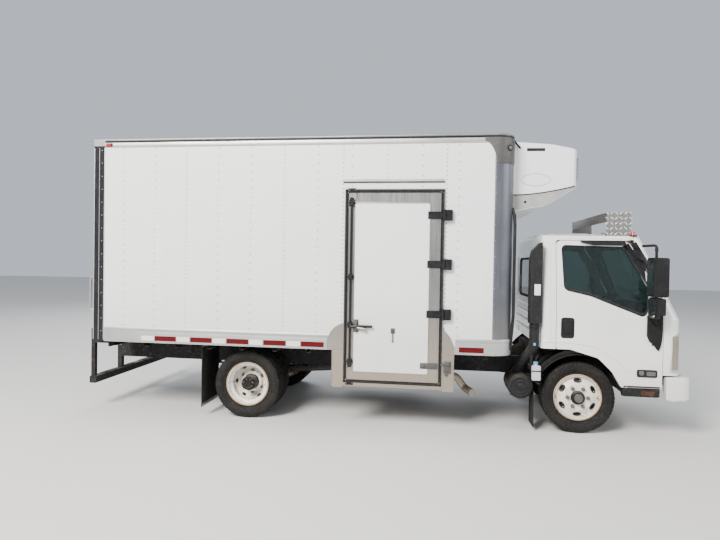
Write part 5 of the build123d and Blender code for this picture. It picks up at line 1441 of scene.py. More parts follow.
def cooling_unit():
    """Seams, vents, badges left blank and fittings on the unit's cover."""
    skin = Skin("refrigeration_unit")
    seam, slots, emboss, skirt, rims = Shape(), Shape(), Shape(), Shape(), Shape()
    for side in (-1, 1):
        xs = [UNIT.rear + 0.012 + index * 0.02 for index in range(35)]
        top = [skin.beside(x, unit_seam(x), 0.0005, side) for x in xs]
        seam.strip(top, 0.012, 0.006, LEFT * side)
        rows = []
        for x in xs:
            share = (x - UNIT.rear) / 0.37
            foot = UNIT.low + 0.006 + (0.064 * share if share < 1
                else 0.064 + (x - UNIT.rear - 0.37) * 0.612)
            foot = min(foot, unit_seam(x) - 0.006)
            rows.append([skin.beside(x, foot + (unit_seam(x) - foot) * step / 5, 0.0004, side)
                for step in range(6)])
        skirt.sheet(rows, 0.0012, LEFT * side)

        z = UNIT.high - 0.088
        slot = [skin.beside(UNIT.rear + 0.155 + index * 0.0284, z, 0.0004, side) for index in range(8)]
        slots.strip(slot, 0.034, 0.003, LEFT * side, crown=0.1)
        oval = []
        for angle in angles(41):
            reach = math.cos(angle)
            tall = math.copysign(abs(math.sin(angle)) ** 1.25, math.sin(angle))
            oval.append(skin.beside(UNIT.rear + 0.258 + 0.163 * reach, 2.8385 + 0.0695 * tall, 0.0, side))
        emboss.strip(oval, 0.014, 0.0035, LEFT * side, joined=True)
        skirt.strip(oval, 0.0075, 0.0048, LEFT * side, joined=True)
        fields = []
        for index in range(15):
            x = UNIT.rear + 0.258 - 0.140 + index * 0.020
            tall = 0.056 * (1 - abs((x - UNIT.rear - 0.258) / 0.147) ** 1.7)
            fields.append([skin.beside(x, 2.8385 - tall + tall * step / 3, 0.0, side)
                for step in range(7)])
        emboss.sheet(fields, 0.002, LEFT * side)
        at = skin.beside(UNIT.rear + 0.148, 2.587, 0.0, side)
        rims.turned([(0, 0.004), (0.014, 0.003), (0.017, 0)], at, LEFT * side, 16)
        low, mid = (skin.beside(UNIT.rear + a, UNIT.high - b, 0.008, side) for a,
            b in ((0.085, 0.075), (0.050, 0.035)))
        top = min(3.296, UNIT.high + 0.03)
        rims.tube([(UNIT.rear + 0.004, mid.y * 0.98, top), (UNIT.rear + 0.018, mid.y * 0.985, top - 0.02),
            mid, low], 0.010, 10)
    finished(seam, "unit_seams", "chassis", PLASTIC)
    finished(skirt, "unit_skirts", "chassis", UNIT_GREY)
    finished(slots, "unit_side_vents", "chassis", PLASTIC)
    finished(emboss, "unit_blank_badges", "chassis", UNIT_WHITE)
    finished(rims, "unit_cover_plugs", "chassis", PLASTIC)

    flange = Shape()
    back = UNIT.rear + 0.006
    half = UNIT.left
    around = [(-half, UNIT.low), (half, UNIT.low), (half, UNIT.high), (-half, UNIT.high)]
    flange.strip([Vector((back, y, z)) for y, z in around], 0.010, 0.007, [
        Vector((0, -1, -1)), Vector((0, 1, -1)), Vector((0, 1, 1)), Vector((0, -1, 1))], joined=True)
    finished(flange, "unit_mounting_flange", "chassis", FLAP)

    front = UNIT.front
    low, high, width = 2.835, 3.120, 0.790
    deep = front - 0.070
    coil = Shape()
    coil.block((deep, deep + 0.006), (-width + 0.004, width - 0.004), (low + 0.004, high - 0.004))
    finished(coil, "unit_coil", "chassis", COIL)
    blade = Shape()
    blade.prism([(deep + 0.012, low + 0.020), (deep + 0.016, low + 0.017), (front - 0.016, low + 0.034),
                 (front - 0.018, low + 0.038)], -width + 0.002, width - 0.002)
    SLATS.grow(blade, "unit_grille_blades", "chassis", PLASTIC, Count=8, Step=(0.0, 0.0, 0.0315))
    bar = Shape()
    bar.block((deep + 0.010, front - 0.012), (-width + 0.10, -width + 0.106), (low + 0.002, high - 0.002))
    SLATS.grow(bar, "unit_grille_bars", "chassis", PLASTIC, Count=15, Step=(0.0, 0.0985, 0.0))
    rim = Shape()
    around = oblong(-width, width, low, high, 0.040)
    rim.strip([skin.ahead(p[0] * 1.006, p[1] + (0.004 if p[1] > 3 else -0.004), 0.0005)
               for p in spaced(around, 0.05)], 0.016, 0.008, FORWARD, joined=True)
    finished(rim, "unit_grille_rim", "chassis", PLASTIC)
    fans = Shape()
    for y in (-0.4, 0.4):
        fans.turned([(0.118, 0.010), (0.122, 0.014), (0.130, 0.014), (0.132, 0.006)], (deep, y, 2.978),
            FORWARD, 36)
        for angle in angles(7):
            hub = Vector((deep + 0.010, y + 0.03 * math.cos(angle), 2.978 + 0.03 * math.sin(angle)))
            tip = Vector((deep + 0.010, y + 0.112 * math.cos(angle + 0.5),
                2.978 + 0.112 * math.sin(angle + 0.5)))
            fans.strip([hub, hub.lerp(tip, 0.5), tip], 0.030, 0.003, FORWARD, crown=0.1)
        fans.turned([(0, 0.016), (0.026, 0.014), (0.034, 0.006)], (deep, y, 2.978), FORWARD, 24)
    finished(fans, "unit_fans", "chassis", REAR_BLACK)

    fitting = Shape()
    corner = Vector((UNIT.rear + 0.030, -half + 0.05, UNIT.high))
    fitting.tube([corner - UP * 0.01, corner + UP * 0.004, corner + Vector((-0.004, 0.0, 0.020)),
                  corner + Vector((-0.030, 0.0, 0.028))], 0.013, 12)
    fitting.turned([(0.013, 0.010), (0.021, 0.008), (0.022, -0.002)], corner, UP, 16)
    fitting.tube([corner + Vector((0.0, 0.09, -0.01)), corner + Vector((0.0, 0.09, 0.012)),
                  corner + Vector((-0.025, 0.09, 0.022))], 0.008, 10)
    finished(fitting, "unit_pipe_fittings", "chassis", PLASTIC)
    top = Shape()
    for y in (-0.45, 0.0, 0.45):
        path = [skin.above(UNIT.rear + 0.05 + 0.05 * step, y, 0.0) for step in range(8)]
        top.strip(path, 0.012, 0.005, UP)
    finished(top, "unit_top_ribs", "chassis", UNIT_WHITE)
    under = Shape()
    for y in (-0.55, 0.55):
        under.block((UNIT.rear + 0.01, UNIT.rear + 0.06), (y + 0.2, y - 0.2),
            (UNIT.low + 0.002, UNIT.low - 0.012), 0.004)
    finished(under, "unit_drain_pans", "chassis", UNIT_GREY)


UNIT_GREY = variant(dull_paint("unit_skirt_grey", (0.29, 0.29, 0.28), 0.5, 0.2, 0.0), "unit_white")
COIL = variant(bright_metal("condenser_coil", (0.10, 0.10, 0.10), 0.6, (1, 1, 60)), "black_plastic")
cooling_unit()


# Cab, outside

CAB = Extent("cab_front", "cab_roof", "cab_back_wall")
CAB_DOOR = Extent("cab_door_right")
PANE = Extent("door_glass_right")
SHELL = Skin("cab_front", "cab_roof", "cab_back_wall", "cab_door_right", "cab_door_left", "cab_glass",
             "door_glass_right", "door_glass_left")


def laid(outline, side, out=0.0, pitch=0.03, closed=True):
    """A line of (x, z) points laid on the cab's side, with the way out at each."""
    points, ways = [], []
    for x, z in spaced([Vector(p) for p in outline], pitch, closed):
        place, normal = SHELL.hit((x, side * 3, z), (0, -side, 0))
        if normal.y * side < 0:
            normal = -normal
        points.append(Vector((x, place.y, z)) + normal * out)
        ways.append(normal)
    return points, ways


def moulding(shape, outline, side, width, height, out=0.0004, pitch=0.03, closed=False):
    """A moulding along a line laid on the cab's side."""
    points, ways = laid(outline, side, out, pitch, closed)
    shape.strip(points, width, height, ways, joined=closed)


def laid_ahead(outline, out=0.0, pitch=0.04, closed=True):
    """A line of (y, z) points laid on the cab's front, with the way out at each."""
    points, ways = [], []
    for y, z in spaced([Vector(p) for p in outline], pitch, closed):
        place, normal = SHELL.hit((6, y, z), BACK)
        if normal.x < 0:
            normal = -normal
        points.append(Vector((place.x, y, z)) + normal * out)
        ways.append(normal)
    return points, ways


def patch(shape, low_edge, high_edge, thickness, side=None, out=0.0, steps=6):
    """A sheet on the cab between two edges with as many points each."""
    rows = []
    for first, second in zip(low_edge, high_edge):
        line = [Vector(first).lerp(Vector(second), step / steps) for step in range(steps + 1)]
        row = []
        for a, b in line:
            place, normal = SHELL.hit((a, side * 3, b), (0, -side, 0)) if side else SHELL.hit((6, a, b),
                BACK)
            away = LEFT * side if side else FORWARD
            row.append(Vector((a, place.y, b)) + away * out if side else Vector((place.x, a,
                b)) + away * out)
        rows.append(row)
    shape.sheet(rows, thickness, LEFT * side if side else FORWARD)


WINDOW = rounded([
    (PANE.rear, PANE.high), (PANE.rear + 0.028, PANE.low + 0.295), (PANE.rear + 0.308, PANE.low + 0.232),
    (PANE.front - 0.020, PANE.low), (PANE.front, PANE.low + 0.316), (PANE.rear + 0.659, PANE.high - 0.018),
], [0.05, 0.07, 0.12, 0.06, 0.06, 0.06])


def door_outsides():
    """Window rubbers, rain visors, handles, side lamps, mirror feet and sill rubbers of both doors."""
    for side, name in SIDES:
        body = f"cab_door_{name}"
        rubber = Shape()
        moulding(rubber, WINDOW, side, 0.020, 0.005, 0.0005, 0.02, True)
        finished(rubber, f"{body}_window_rubber", body, FLAP)

        visor = Shape()
        top = [(PANE.rear + 0.20 + 0.55 * share, PANE.high + 0.052 - 0.03 * max(0, share - 0.75) ** 2)
               for share in (0, 0.12, 0.25, 0.38, 0.5, 0.62, 0.75, 0.85)]
        top += [(PANE.rear + 0.695, PANE.high - 0.025), (PANE.rear + 0.735, PANE.high - 0.095),
                (PANE.rear + 0.775, PANE.high - 0.165)]
        rows = []
        for index, (x, z) in enumerate(top):
            place, normal = SHELL.hit((x, side * 3, z), (0, -side, 0))
            drop = 0.055 * min(1, 0.4 + index * 0.3, 0.4 + (len(top) - 1 - index) * 0.25)
            base = Vector((x, place.y, z)) + LEFT * side * 0.0015
            inward = Vector((-0.5, 0, -1)).normalized() if index > 7 else Vector((0, 0, -1))
            rows.append([base + inward * drop * share + LEFT * side * 0.016 * share ** 0.6
                         for share in (0, 0.3, 0.65, 1.0)])
        visor.sheet(rows, 0.003, LEFT * side)
        finished(visor, f"{body}_rain_visor", body, REAR_BLACK)

        handle, bezel = Shape(), Shape()
        x_low, x_high, z_low, z_high = PANE.rear, PANE.rear + 0.129, 1.083, 1.299
        around = oblong(x_low, x_high, z_low, z_high, 0.022)
        moulding(bezel, around, side, 0.013, 0.006, pitch=0.02, closed=True)
        face = SHELL.beside((x_low + x_high) / 2, 1.19, 0.0, side).y
        inner = oblong(x_low + 0.004, x_high - 0.004, z_low + 0.004, z_high - 0.004, 0.019)
        bezel.prism(inner, *sorted((face - side * 0.004, face + side * 0.0025)))
        finished(bezel, f"{body}_handle_bezel", body, PLASTIC)
        paddle = oblong(x_low + 0.022, x_high - 0.016, z_low + 0.045, z_high - 0.016, 0.014)
        handle.prism(paddle, *sorted((face, face + side * 0.014)), soft=0.004)
        handle.turned([(0, 0.006), (0.007, 0.006), (0.011, 0.003), (0.012, 0)],
                      (x_high - 0.040, face + side * 0.0025, z_low + 0.023), LEFT * side, 18)
        finished(handle, f"{body}_handle", body, REAR_BLACK)

        lamp, lens = Shape(), Shape()
        x_low, x_high, z_low, z_high = CAB_DOOR.front - 0.260, CAB_DOOR.front - 0.052, 0.680, 0.762
        at = SHELL.beside((x_low + x_high) / 2, 0.72, 0.0, side)
        around = oblong(x_low, x_high, z_low, z_high, 0.016)
        lamp.prism(around, *sorted((at.y - side * 0.006, at.y + side * 0.008)), soft=0.002)
        finished(lamp, f"{body}_side_lamp_frame", body, PLASTIC)
        lens.turned([(0, 0.007), (0.015, 0.006), (0.024, 0.002), (0.026, 0)],
                    (x_low + 0.048, at.y + side * 0.008, 0.7235), LEFT * side, 28)
        block = oblong(x_low + 0.098, x_high - 0.018, z_low + 0.018, z_high - 0.018, 0.008)
        lens.prism(block, *sorted((at.y, at.y + side * 0.013)), soft=0.002)
        finished(lens, f"{body}_side_lamp", body, SMOKED)

        foot = Shape()
        rear_edge = [(3.036, 1.350), (3.036, 1.245), (3.036, 1.130), (3.062, 1.070), (3.108, 1.035),
            (3.140, 0.985)]
        fore_edge = [(3.196, 1.405), (3.195, 1.260), (3.193, 1.150), (3.188, 1.085), (3.180, 1.035),
            (3.160, 0.972)]
        patch(foot, rear_edge, fore_edge, 0.017, side, 0.0, 5)
        finished(foot, f"{body}_mirror_foot", body, MIRROR_SHELL)

        trim = Shape()
        sill = [(CAB_DOOR.front - ahead, CAB_DOOR.low + 0.012) for ahead in (0.395, 0.02)]
        moulding(trim, sill, side, 0.016, 0.004, pitch=0.05)
        finished(trim, f"{body}_sill_rubber", body, FLAP)


def side_lines():
    """Black pillar garnish, the arch creases, the liners' lower front and the step's rust."""
    for side, name in SIDES:
        body = f"cab_door_{name}"
        black, crease = Shape(), Shape()
        moulding(black, [(2.824, 2.115), (3.001, 1.815)], side, 0.084, 0.0024)
        patch(black, [(2.966, 1.800), (3.000, 1.744), (3.033, 1.688)],
            [(3.022, 1.842), (3.030, 1.775), (3.036, 1.700)], 0.0024, side, 0.0, 5)
        finished(black, f"{body}_pillar_garnish", body, REAR_BLACK)
        moulding(crease, [(2.150, 1.039), (2.361, 1.024), (2.534, 0.989), (2.685, 0.905), (2.792, 0.814),
                          (2.868, 0.734)], side, 0.022, 0.007, 0.0)
        finished(crease, f"{body}_arch_crease", body, CAB_WHITE)
        pillar, rear = Shape(), Shape()
        for line, width in (([(2.879, 2.128), (3.038, 1.858)], 0.062),
                ([(2.918, 2.142), (3.056, 1.905)], 0.050), ([(3.052, 1.870), (3.056, 1.700)], 0.026)):
            moulding(pillar, line, side, width, 0.0024)
        moulding(pillar, [(2.830, 2.160), (2.915, 2.150)], side, 0.040, 0.0030)
        finished(pillar, f"pillar_garnish_{name}", "cab", REAR_BLACK)
        moulding(rear, [(CAB.rear + 0.03, 1.033), (2.112, 1.039)], side, 0.022, 0.007, 0.0)
        finished(rear, f"rear_corner_crease_{name}", "cab", CAB_WHITE)
        liner = Shape()
        liner.prism([Vector(p) for p in ((2.748, 0.645), (2.788, 0.580), (2.818, 0.492), (2.824, 0.494),
            (2.795, 0.583), (2.755, 0.650))], *sorted((side * 0.985, side * 0.50)), soft=0.001)
        finished(liner, f"arch_liner_front_{name}", "cab", FLAP)
    stain = Shape()
    stain.prism([Vector(p) for p in ((2.993, 0.492), (3.010, 0.482), (3.062, 0.486), (3.098, 0.478),
        (3.136, 0.490), (3.150, 0.512), (3.128, 0.530), (3.066, 0.524), (3.030, 0.534), (2.998, 0.520))],
        -1.0206, -1.0190)
    finished(stain, "cab_step_rust", "cab", RUSTED)


def mirrors():
    """Housings, silvered glass, rims and clamps of the mirrors."""
    for side, name in SIDES:
        body = f"cab_door_{name}"
        shell = Shape()
        shell.block((3.0125, 3.166), sorted((side * 1.079, side * 1.268)), (1.562, 1.976), 0.022)
        shell.block((3.0520, 3.150), sorted((side * 1.110, side * 1.240)), (1.366, 1.548), 0.018)
        finished(shell, f"mirror_housing_{name}", body, MIRROR_SHELL)
        head = Extent(f"mirror_{name}")
        outer, inner = side * 1.262, side * 1.085
        glass, seams = Shape(), Shape()
        for low, high, x in ((1.585, 1.958, 3.010), (1.352, 1.538, 3.030)):
            around = oblong(*sorted((outer, inner)), low, high, 0.022)
            glass.prism(around, x - 0.0025, x, axis="x", soft=0.001)
            seams.strip([Vector((x, p[0], p[1])) for p in around], 0.009, 0.006, BACK, joined=True)
        finished(glass, f"mirror_glass_{name}", body, MIRROR_GLASS)
        finished(seams, f"mirror_rims_{name}", body, MIRROR_SHELL)
        ribs = Shape()
        for z in (1.60, 1.94):
            ribs.tube([(3.090, side * 1.100, z - 0.02), (3.090, side * 1.100, z + 0.02)], 0.021, 16)
        for z in (1.345, 2.062):
            ribs.tube([(3.090, side * 1.100, z - 0.016), (3.090, side * 1.100, z + 0.016)], 0.018, 16)
        finished(ribs, f"mirror_clamps_{name}", body, PLASTIC)


def cab_nose():
    """Windscreen rubber, wipers, cowl, grille, creases, headlamp bowls and turn signals."""
    screen = rounded([(-0.900, 1.405), (0.900, 1.405), (0.780, 2.108), (-0.780, 2.108)], 0.1)
    rubber = Shape()
    points, ways = laid_ahead(screen, 0.001, 0.04)
    rubber.strip(points, 0.034, 0.008, ways, joined=True)
    finished(rubber, "windscreen_rubber", "cab", FLAP)

    cowl = Shape()
    ys = [-0.84 + 0.07 * index for index in range(25)]
    patch(cowl, [(y, 1.318) for y in ys], [(y, 1.382) for y in ys], 0.008, None, 0.0, 3)
    finished(cowl, "windscreen_cowl", "cab", PLASTIC)
    vents = Shape()
    for y in [-0.55 + 0.1 * index for index in range(12)]:
        points, ways = laid_ahead([(y - 0.03, 1.350), (y + 0.03, 1.350)], 0.0085, 0.03, False)
        vents.strip(points, 0.018, 0.003, ways)
    finished(vents, "cowl_vents", "cab", REAR_BLACK)

    wipers = Shape()
    for pivot, end, low, high in ((-0.62, -0.30, (-0.52, 1.44), (0.05, 1.60)),
            (0.10, 0.42, (0.20, 1.44), (0.78, 1.60))):
        start, way = laid_ahead([(pivot, 1.345), (pivot + 0.001, 1.346)], 0.012, 1, False)
        wipers.turned([(0, 0.022), (0.014, 0.020), (0.018, 0.006), (0.018, -0.010)], start[0], way[0], 18)
        blade, ways = laid_ahead([low, high], 0.018, 0.05, False)
        middle = blade[len(blade) // 2]
        wipers.tube([start[0] + way[0] * 0.014, start[0].lerp(middle, 0.5) + ways[0] * 0.022,
                     middle + ways[0] * 0.012], [0.009, 0.007, 0.006], 10, flat=0.6)
        wipers.strip(blade, 0.014, 0.010, ways)
        rubber_line = [point - way * 0.010 for point, way in zip(blade, ways)]
        wipers.strip(rubber_line, 0.004, 0.011, ways)
    finished(wipers, "windscreen_wipers", "cab", PLASTIC)

    nose = Skin("cab_front")
    floor_x = nose.ahead(0.3, 1.10).x
    blade = Shape()
    blade.prism([(floor_x, 1.040), (floor_x + 0.022, 1.034), (floor_x + 0.024, 1.040), (floor_x, 1.047)],
        -0.612, 0.612)
    SLATS.grow(blade, "grille_blades", "cab", PLASTIC, Count=5, Step=(0.0, 0.0, 0.026))
    bars = Shape()
    bars.block((floor_x, floor_x + 0.018), (-0.600, -0.594), (1.032, 1.163))
    SLATS.grow(bars, "grille_bars", "cab", PLASTIC, Count=11, Step=(0.0, 0.1191, 0.0))
    rim = Shape()
    slot = oblong(-0.62, 0.62, 1.030, 1.165, 0.03)
    rim_points = [nose.ahead(p[0] * 1.012, p[1] + (0.008 if p[1] > 1.1 else -0.008), 0.0)
        for p in spaced(slot, 0.05)]
    rim.strip(rim_points, 0.016, 0.005, FORWARD, joined=True)
    finished(rim, "grille_rim", "cab", PLASTIC)
    lines_across = Shape()
    for z, half in ((1.245, 0.86), (0.990, 0.66), (0.735, 0.70)):
        ys = [-half + half / 12 * index for index in range(25)]
        points, ways = laid_ahead([(y, z) for y in ys], 0.0002, 1, False)
        lines_across.strip(points, 0.008, 0.003, ways)
    finished(lines_across, "front_panel_creases", "cab", CAB_WHITE)

    for side, name in SIDES:
        bezel, turn, bowls = Shape(), Shape(), Shape()
        lens = Skin("headlamps")

        def spot(y, z, out=0.0):
            place, normal = lens.hit((6, side * y, z), BACK)
            return Vector((place.x, side * y, z)) + normal * out, normal

        for z, size in ((1.055, 0.062), (0.890, 0.070)):
            at, way = spot(0.80, z, 0.0005)
            bowls.turned([(size * 0.30, 0.004), (size * 0.55, 0.0025), (size * 0.8, 0.003), (size, 0.006),
                          (size * 1.08, 0.004), (size * 1.1, 0)], at, FORWARD * 0.9 + way * 0.1, 32)
            bowls.turned([(0, 0.007), (size * 0.22, 0.005), (size * 0.3, 0.0)], at, way, 20)
        finished(bowls, f"headlamp_bowls_{name}", "cab", STAINLESS)
        edge_points = [spot(0.685, 0.748 + 0.050 * step)[0] for step in range(9)]
        bezel.strip(edge_points, 0.010, 0.005, FORWARD)
        finished(bezel, f"headlamp_bezel_{name}", "cab", PLASTIC)
        rows = []
        for step in range(8):
            z = 0.77 + 0.052 * step
            row = []
            for x in (3.300, 3.325, 3.350, 3.375):
                place, normal = lens.hit((x, side * 3, z), (0, -side, 0))
                row.append(Vector((x, place.y, z)) + LEFT * side * 0.0004)
            rows.append(row)
        turn.sheet(rows, 0.0015, LEFT * side)
        finished(turn, f"turn_signal_{name}", "cab", SIDE_LENS)


def cab_top():
    """Marker lamps, gutters and pressed ribs of the roof, and the tread plate on its tray."""
    lamps, feet = Shape(), Shape()
    for y in (-0.90, -0.18, 0.0, 0.18, 0.90):
        at, size = SHELL.above(2.915, y), 1.3 if abs(y) > 0.5 else 1.0
        feet.turned([(r * size, h * size) for r, h in (
            (0.030, 0.008), (0.034, 0.004), (0.036, -0.004), (0, -0.004), (0, 0.008))], at, UP, 20)
        lamps.turned([(r * size, h * size) for r, h in (
            (0, 0.036), (0.012, 0.034), (0.022, 0.026), (0.028, 0.008), (0, 0.008))], at, UP, 20)
    finished(lamps, "roof_marker_lamps", "cab", RED_LENS)
    finished(feet, "roof_marker_lamp_feet", "cab", PLASTIC)
    gutters = Shape()
    for side in (-1, 1):
        line = [(2.030, 0.985), (2.030, 1.5), (2.030, 1.95), (2.036, 2.06), (2.060, 2.13), (2.11, 2.172),
            (2.2, 2.186), (2.45, 2.192), (2.70, 2.192), (2.80, 2.184)]
        moulding(gutters, line, side, 0.010, 0.005, 0.0, 0.04)
    finished(gutters, "cab_gutters", "cab", CAB_WHITE)
    ribs = Shape()
    for y in (-0.55, -0.275, 0.0, 0.275, 0.55):
        path = [SHELL.above(2.08 + 0.04 * step, y, -0.0005) for step in range(14)]
        ribs.strip(path, 0.050, 0.006, UP, crown=0.45)
    finished(ribs, "roof_ribs", "cab", CAB_WHITE)

    tray = Extent("roof_tray")
    low = 2.245
    tall, long = tray.high - low - 0.012, tray.front - tray.rear - 0.008
    middle = (tray.rear + tray.front) / 2
    for side, name in SIDES:
        tread_plate(f"roof_tray_tread_{name}", "cab", TREAD_METAL, (long, tall), 0.042,
                    (middle, side * (tray.left + 0.0002), (low + tray.high) / 2), (math.pi / 2, 0.0, 0.0))
    tread_plate("roof_tray_tread_top", "cab", TREAD_METAL, (long, 2 * tray.left - 0.02), 0.042,
                (middle, 0.0, tray.high + 0.0002))
    edge = Shape()
    for x in (tray.rear, tray.front):
        edge.strip([(x, tray.right, tray.high), (x, tray.left, tray.high)], 0.010, 0.004, UP)
    finished(edge, "roof_tray_edges", "cab", TREAD_METAL)
    # A dark plate on the tray's rear face: painted shade of the face that turns away from the light.
    lip = Shape()
    lip.block((tray.rear - 0.0015, tray.rear), (tray.right + 0.004, tray.left - 0.004),
        (tray.high - 0.104, tray.high - 0.002), 0.0005)
    finished(lip, "roof_tray_shaded_lip", "cab", SHADED_EDGE_METAL)
    feet, pins = Shape(), []
    for side in (-1, 1):
        for x in (tray.rear + 0.03, tray.front - 0.05):
            at = SHELL.above(x, side * (tray.left - 0.04))
            feet.block((x - 0.025, x + 0.025), sorted((side * (tray.left - 0.07),
                side * (tray.left - 0.006))), (at.z - 0.002, at.z + 0.020), 0.003)
            pins.append((x, side * (tray.left - 0.04), at.z + 0.020))
        feet.block((tray.rear + 0.004, tray.front - 0.004), sorted((side * (tray.left - 0.030),
            side * (tray.left - 0.006))), (2.262, 2.335), 0.004)
    finished(feet, "roof_tray_feet", "cab", PLASTIC)
    bolts("roof_tray_bolts", "cab", STAINLESS, pins, UP, 0.009, 0.007)


def cab_back():
    """Rear window rubber and pressed ribs on the back of the cab."""
    rubber = Shape()
    window = rounded([(-0.560, 1.480), (0.560, 1.480), (0.540, 1.960), (-0.540, 1.960)], 0.07)
    back = Skin("cab_back_wall")
    points = []
    for y, z in spaced(window, 0.05):
        place, _ = back.hit((0, y * 1.02, z + (0.008 if z > 1.7 else -0.008)), FORWARD)
        points.append(Vector((place.x - 0.0004, y * 1.01, z)))
    rubber.strip(points, 0.028, 0.009, BACK, joined=True)
    finished(rubber, "rear_window_rubber", "cab", FLAP)
    ribs = Shape()
    for z in (1.06, 1.17, 1.28, 1.39):
        ribs.strip([(CAB.rear + 0.0005, -0.78, z), (CAB.rear + 0.0005, 0.78, z)], 0.044, 0.007, BACK,
            crown=0.42)
    for y in (-0.72, 0.72):
        ribs.strip([(CAB.rear + 0.0005, y, 1.46), (CAB.rear + 0.0005, y, 1.99)], 0.044, 0.007, BACK,
            crown=0.42)
    finished(ribs, "cab_back_ribs", "cab", CAB_WHITE)


def bumper():
    """Creases, ends, fog lamps, air slots and the blank plate of the front bumper."""
    skin = Skin("front_bumper")
    edge = Shape()
    for z in (0.655, 0.545):
        half = [skin.ahead(-1.00 + 0.05 * index, z, 0.0) for index in range(41)]
        half = [Vector((min(point.x, 3.5125), point.y, point.z)) for point in half]
        edge.strip(half, 0.008, 0.0024, FORWARD)
    finished(edge, "bumper_creases", "chassis", CAB_WHITE)
    for side, name in SIDES:
        end = Shape()
        half = Extent("front_bumper").left + 0.003
        plan = [(3.243, half), (3.390, half), (3.450, half - 0.016), (3.494, half - 0.055),
            (3.5135, half - 0.125), (3.5135, 0.780), (3.480, 0.780), (3.470, 0.870), (3.440, 0.925),
            (3.390, 0.955), (3.243, 0.960)]
        end.prism([Vector((x, side * y)) for x, y in (plan if side > 0 else plan[::-1])], 0.436, 0.690,
            axis="z", soft=0.014)
        finished(end, f"bumper_end_{name}", "chassis", CAB_WHITE)
    fogs, rims, intake = Shape(), Shape(), Shape()
    for side in (-1, 1):
        at = skin.ahead(side * 0.735, 0.565, -0.002)
        way = Vector((1, side * 0.12, 0)).normalized()
        fogs.turned([(0, 0.008), (0.030, 0.007), (0.046, 0.003), (0.046, 0)], at, way, 28)
        rims.turned([(0.044, 0.003), (0.047, 0.009), (0.058, 0.008), (0.066, 0.0)], at, way, 28)
    finished(fogs, "fog_lamps", "chassis", LENS)
    finished(rims, "fog_lamp_rims", "chassis", PLASTIC)
    plate = Shape()
    around = oblong(-0.60, -0.45, 0.51, 0.585, 0.008)
    plate.prism(around, skin.ahead(-0.45, 0.55).x - 0.006, 3.5138, axis="x", soft=0.001)
    finished(plate, "front_number_plate_blank", "chassis", CAB_WHITE)
    for z in (0.462, 0.478):
        ys = [-0.62 + 0.062 * index for index in range(21)]
        path = [skin.ahead(y, z, 0.001) for y in ys]
        intake.strip(path, 0.010, 0.004, FORWARD)
    finished(intake, "bumper_air_slots", "chassis", PLASTIC)
    tops = [(3.44, y, 0.650) for y in (-0.36, 0.36)]
    bolts("bumper_bracket_bolts", "chassis", CASTING, tops, UP, 0.012, 0.008)


MIRROR_GLASS = variant(Finish("mirror_silver", (0.82, 0.84, 0.86), 0.04, 1.0).done(), "mirror_black")
door_outsides()
side_lines()
mirrors()
cab_nose()
cab_top()
cab_back()
bumper()


# Wheels and tyres

FRONT_TYRE = Extent("front_tyre_right")
REAR_TYRES = Extent("rear_tyres_right")
TWIN = 0.128
TREAD_ROWS = 54
LIP_RADIUS, LIP_HALF, LIP_WIRE = 0.2525, 0.0815, 0.0070


def swept(shape, section, centre, first, last, steps):
    """A section of (distance, y) carried round the Y axis between two angles."""
    rings = []
    for step in range(steps + 1):
        angle = math.radians(first + (last - first) * step / steps)
        way = Vector((math.cos(angle), 0, math.sin(angle)))
        rings.append(shape.loop([Vector((centre[0], y, centre[2])) + way * d for d, y in section]))
    shape.bridge(rings)


def ring_bead(shape, distance, y, size, centre, steps=72):
    """A round wire bent into a hoop about the Y axis."""
    section = [(distance + size * math.cos(a), y - centre[1] + size * math.sin(a))
               for a in (math.pi * k / 4 for k in range(9))]
    shape.turned(section, centre, steps=steps)


def carcass(shape, centre):
    """A tyre's side walls with their moulded rings, and the bottom of its tread grooves."""
    half = (FRONT_TYRE.left - FRONT_TYRE.right) / 2 - 0.0005
    side = ((0.248, 0.072), (0.262, 0.0735), (0.268, 0.0765), (0.2705, 0.0795), (0.2745, 0.080),
        (0.277, 0.078), (0.290, 0.086), (0.302, 0.0945), (0.304, 0.097), (0.309, 0.0995), (0.311, 0.0985),
        (0.324, 0.108), (0.336, half - 0.003), (0.346, half), (0.355, half - 0.0005),
        (0.361, half - 0.003), (0.363, half - 0.0015), (0.367, half - 0.003), (0.368, half - 0.0055),
        (0.379, 0.105), (0.386, 0.099), (0.3885, 0.090))
    profile = [(d, -a) for d, a in side] + [(0.3895, 0.0)] + [(d, a) for d, a in reversed(side)]
    shape.turned(profile + profile[:1], centre, steps=96)


BLOCKS = ((-0.015, 0.015, 0.3988, 0.3988, 0.004), (-0.052, -0.022, 0.3978, 0.3988, -0.005),
          (0.022, 0.052, 0.3988, 0.3978, -0.005), (-0.097, -0.060, 0.3935, 0.3975, 0.003),
          (0.060, 0.097, 0.3975, 0.3935, 0.003))


def tread_row():
    """One row of skewed blocks across the top of a tread; the outer two turn down the shoulder."""
    row = Shape()
    for index, (low, high, low_top, high_top, skew) in enumerate(BLOCKS):
        shoulder = abs(low + high) > 0.14
        rings = []
        for drop, inset in ((0.013, 0.0), (0.0025, 0.0), (0.0, 0.0018)):
            points = []
            for x, y, top in ((-0.019, low, low_top), (0.019, low, low_top), (0.019, high, high_top),
                              (-0.019, high, high_top)):
                out = 0.0085 if shoulder and drop > 0.01 and abs(y) > 0.09 else 0.0
                sink = 0.006 if out else 0.0
                lean = skew if y > (low + high) / 2 else -skew
                pull = inset if y < (low + high) / 2 else -inset
                points.append((x + lean - math.copysign(inset, x) + 0.011 * (index % 2),
                               y + math.copysign(out, y) + pull, top - drop - sink))
            rings.append(row.loop(points))
        row.bridge(rings)
    return row


def tread(name, body, centre):
    round_hub(tread_row(), name, body, RUBBER, TREAD_ROWS, centre)


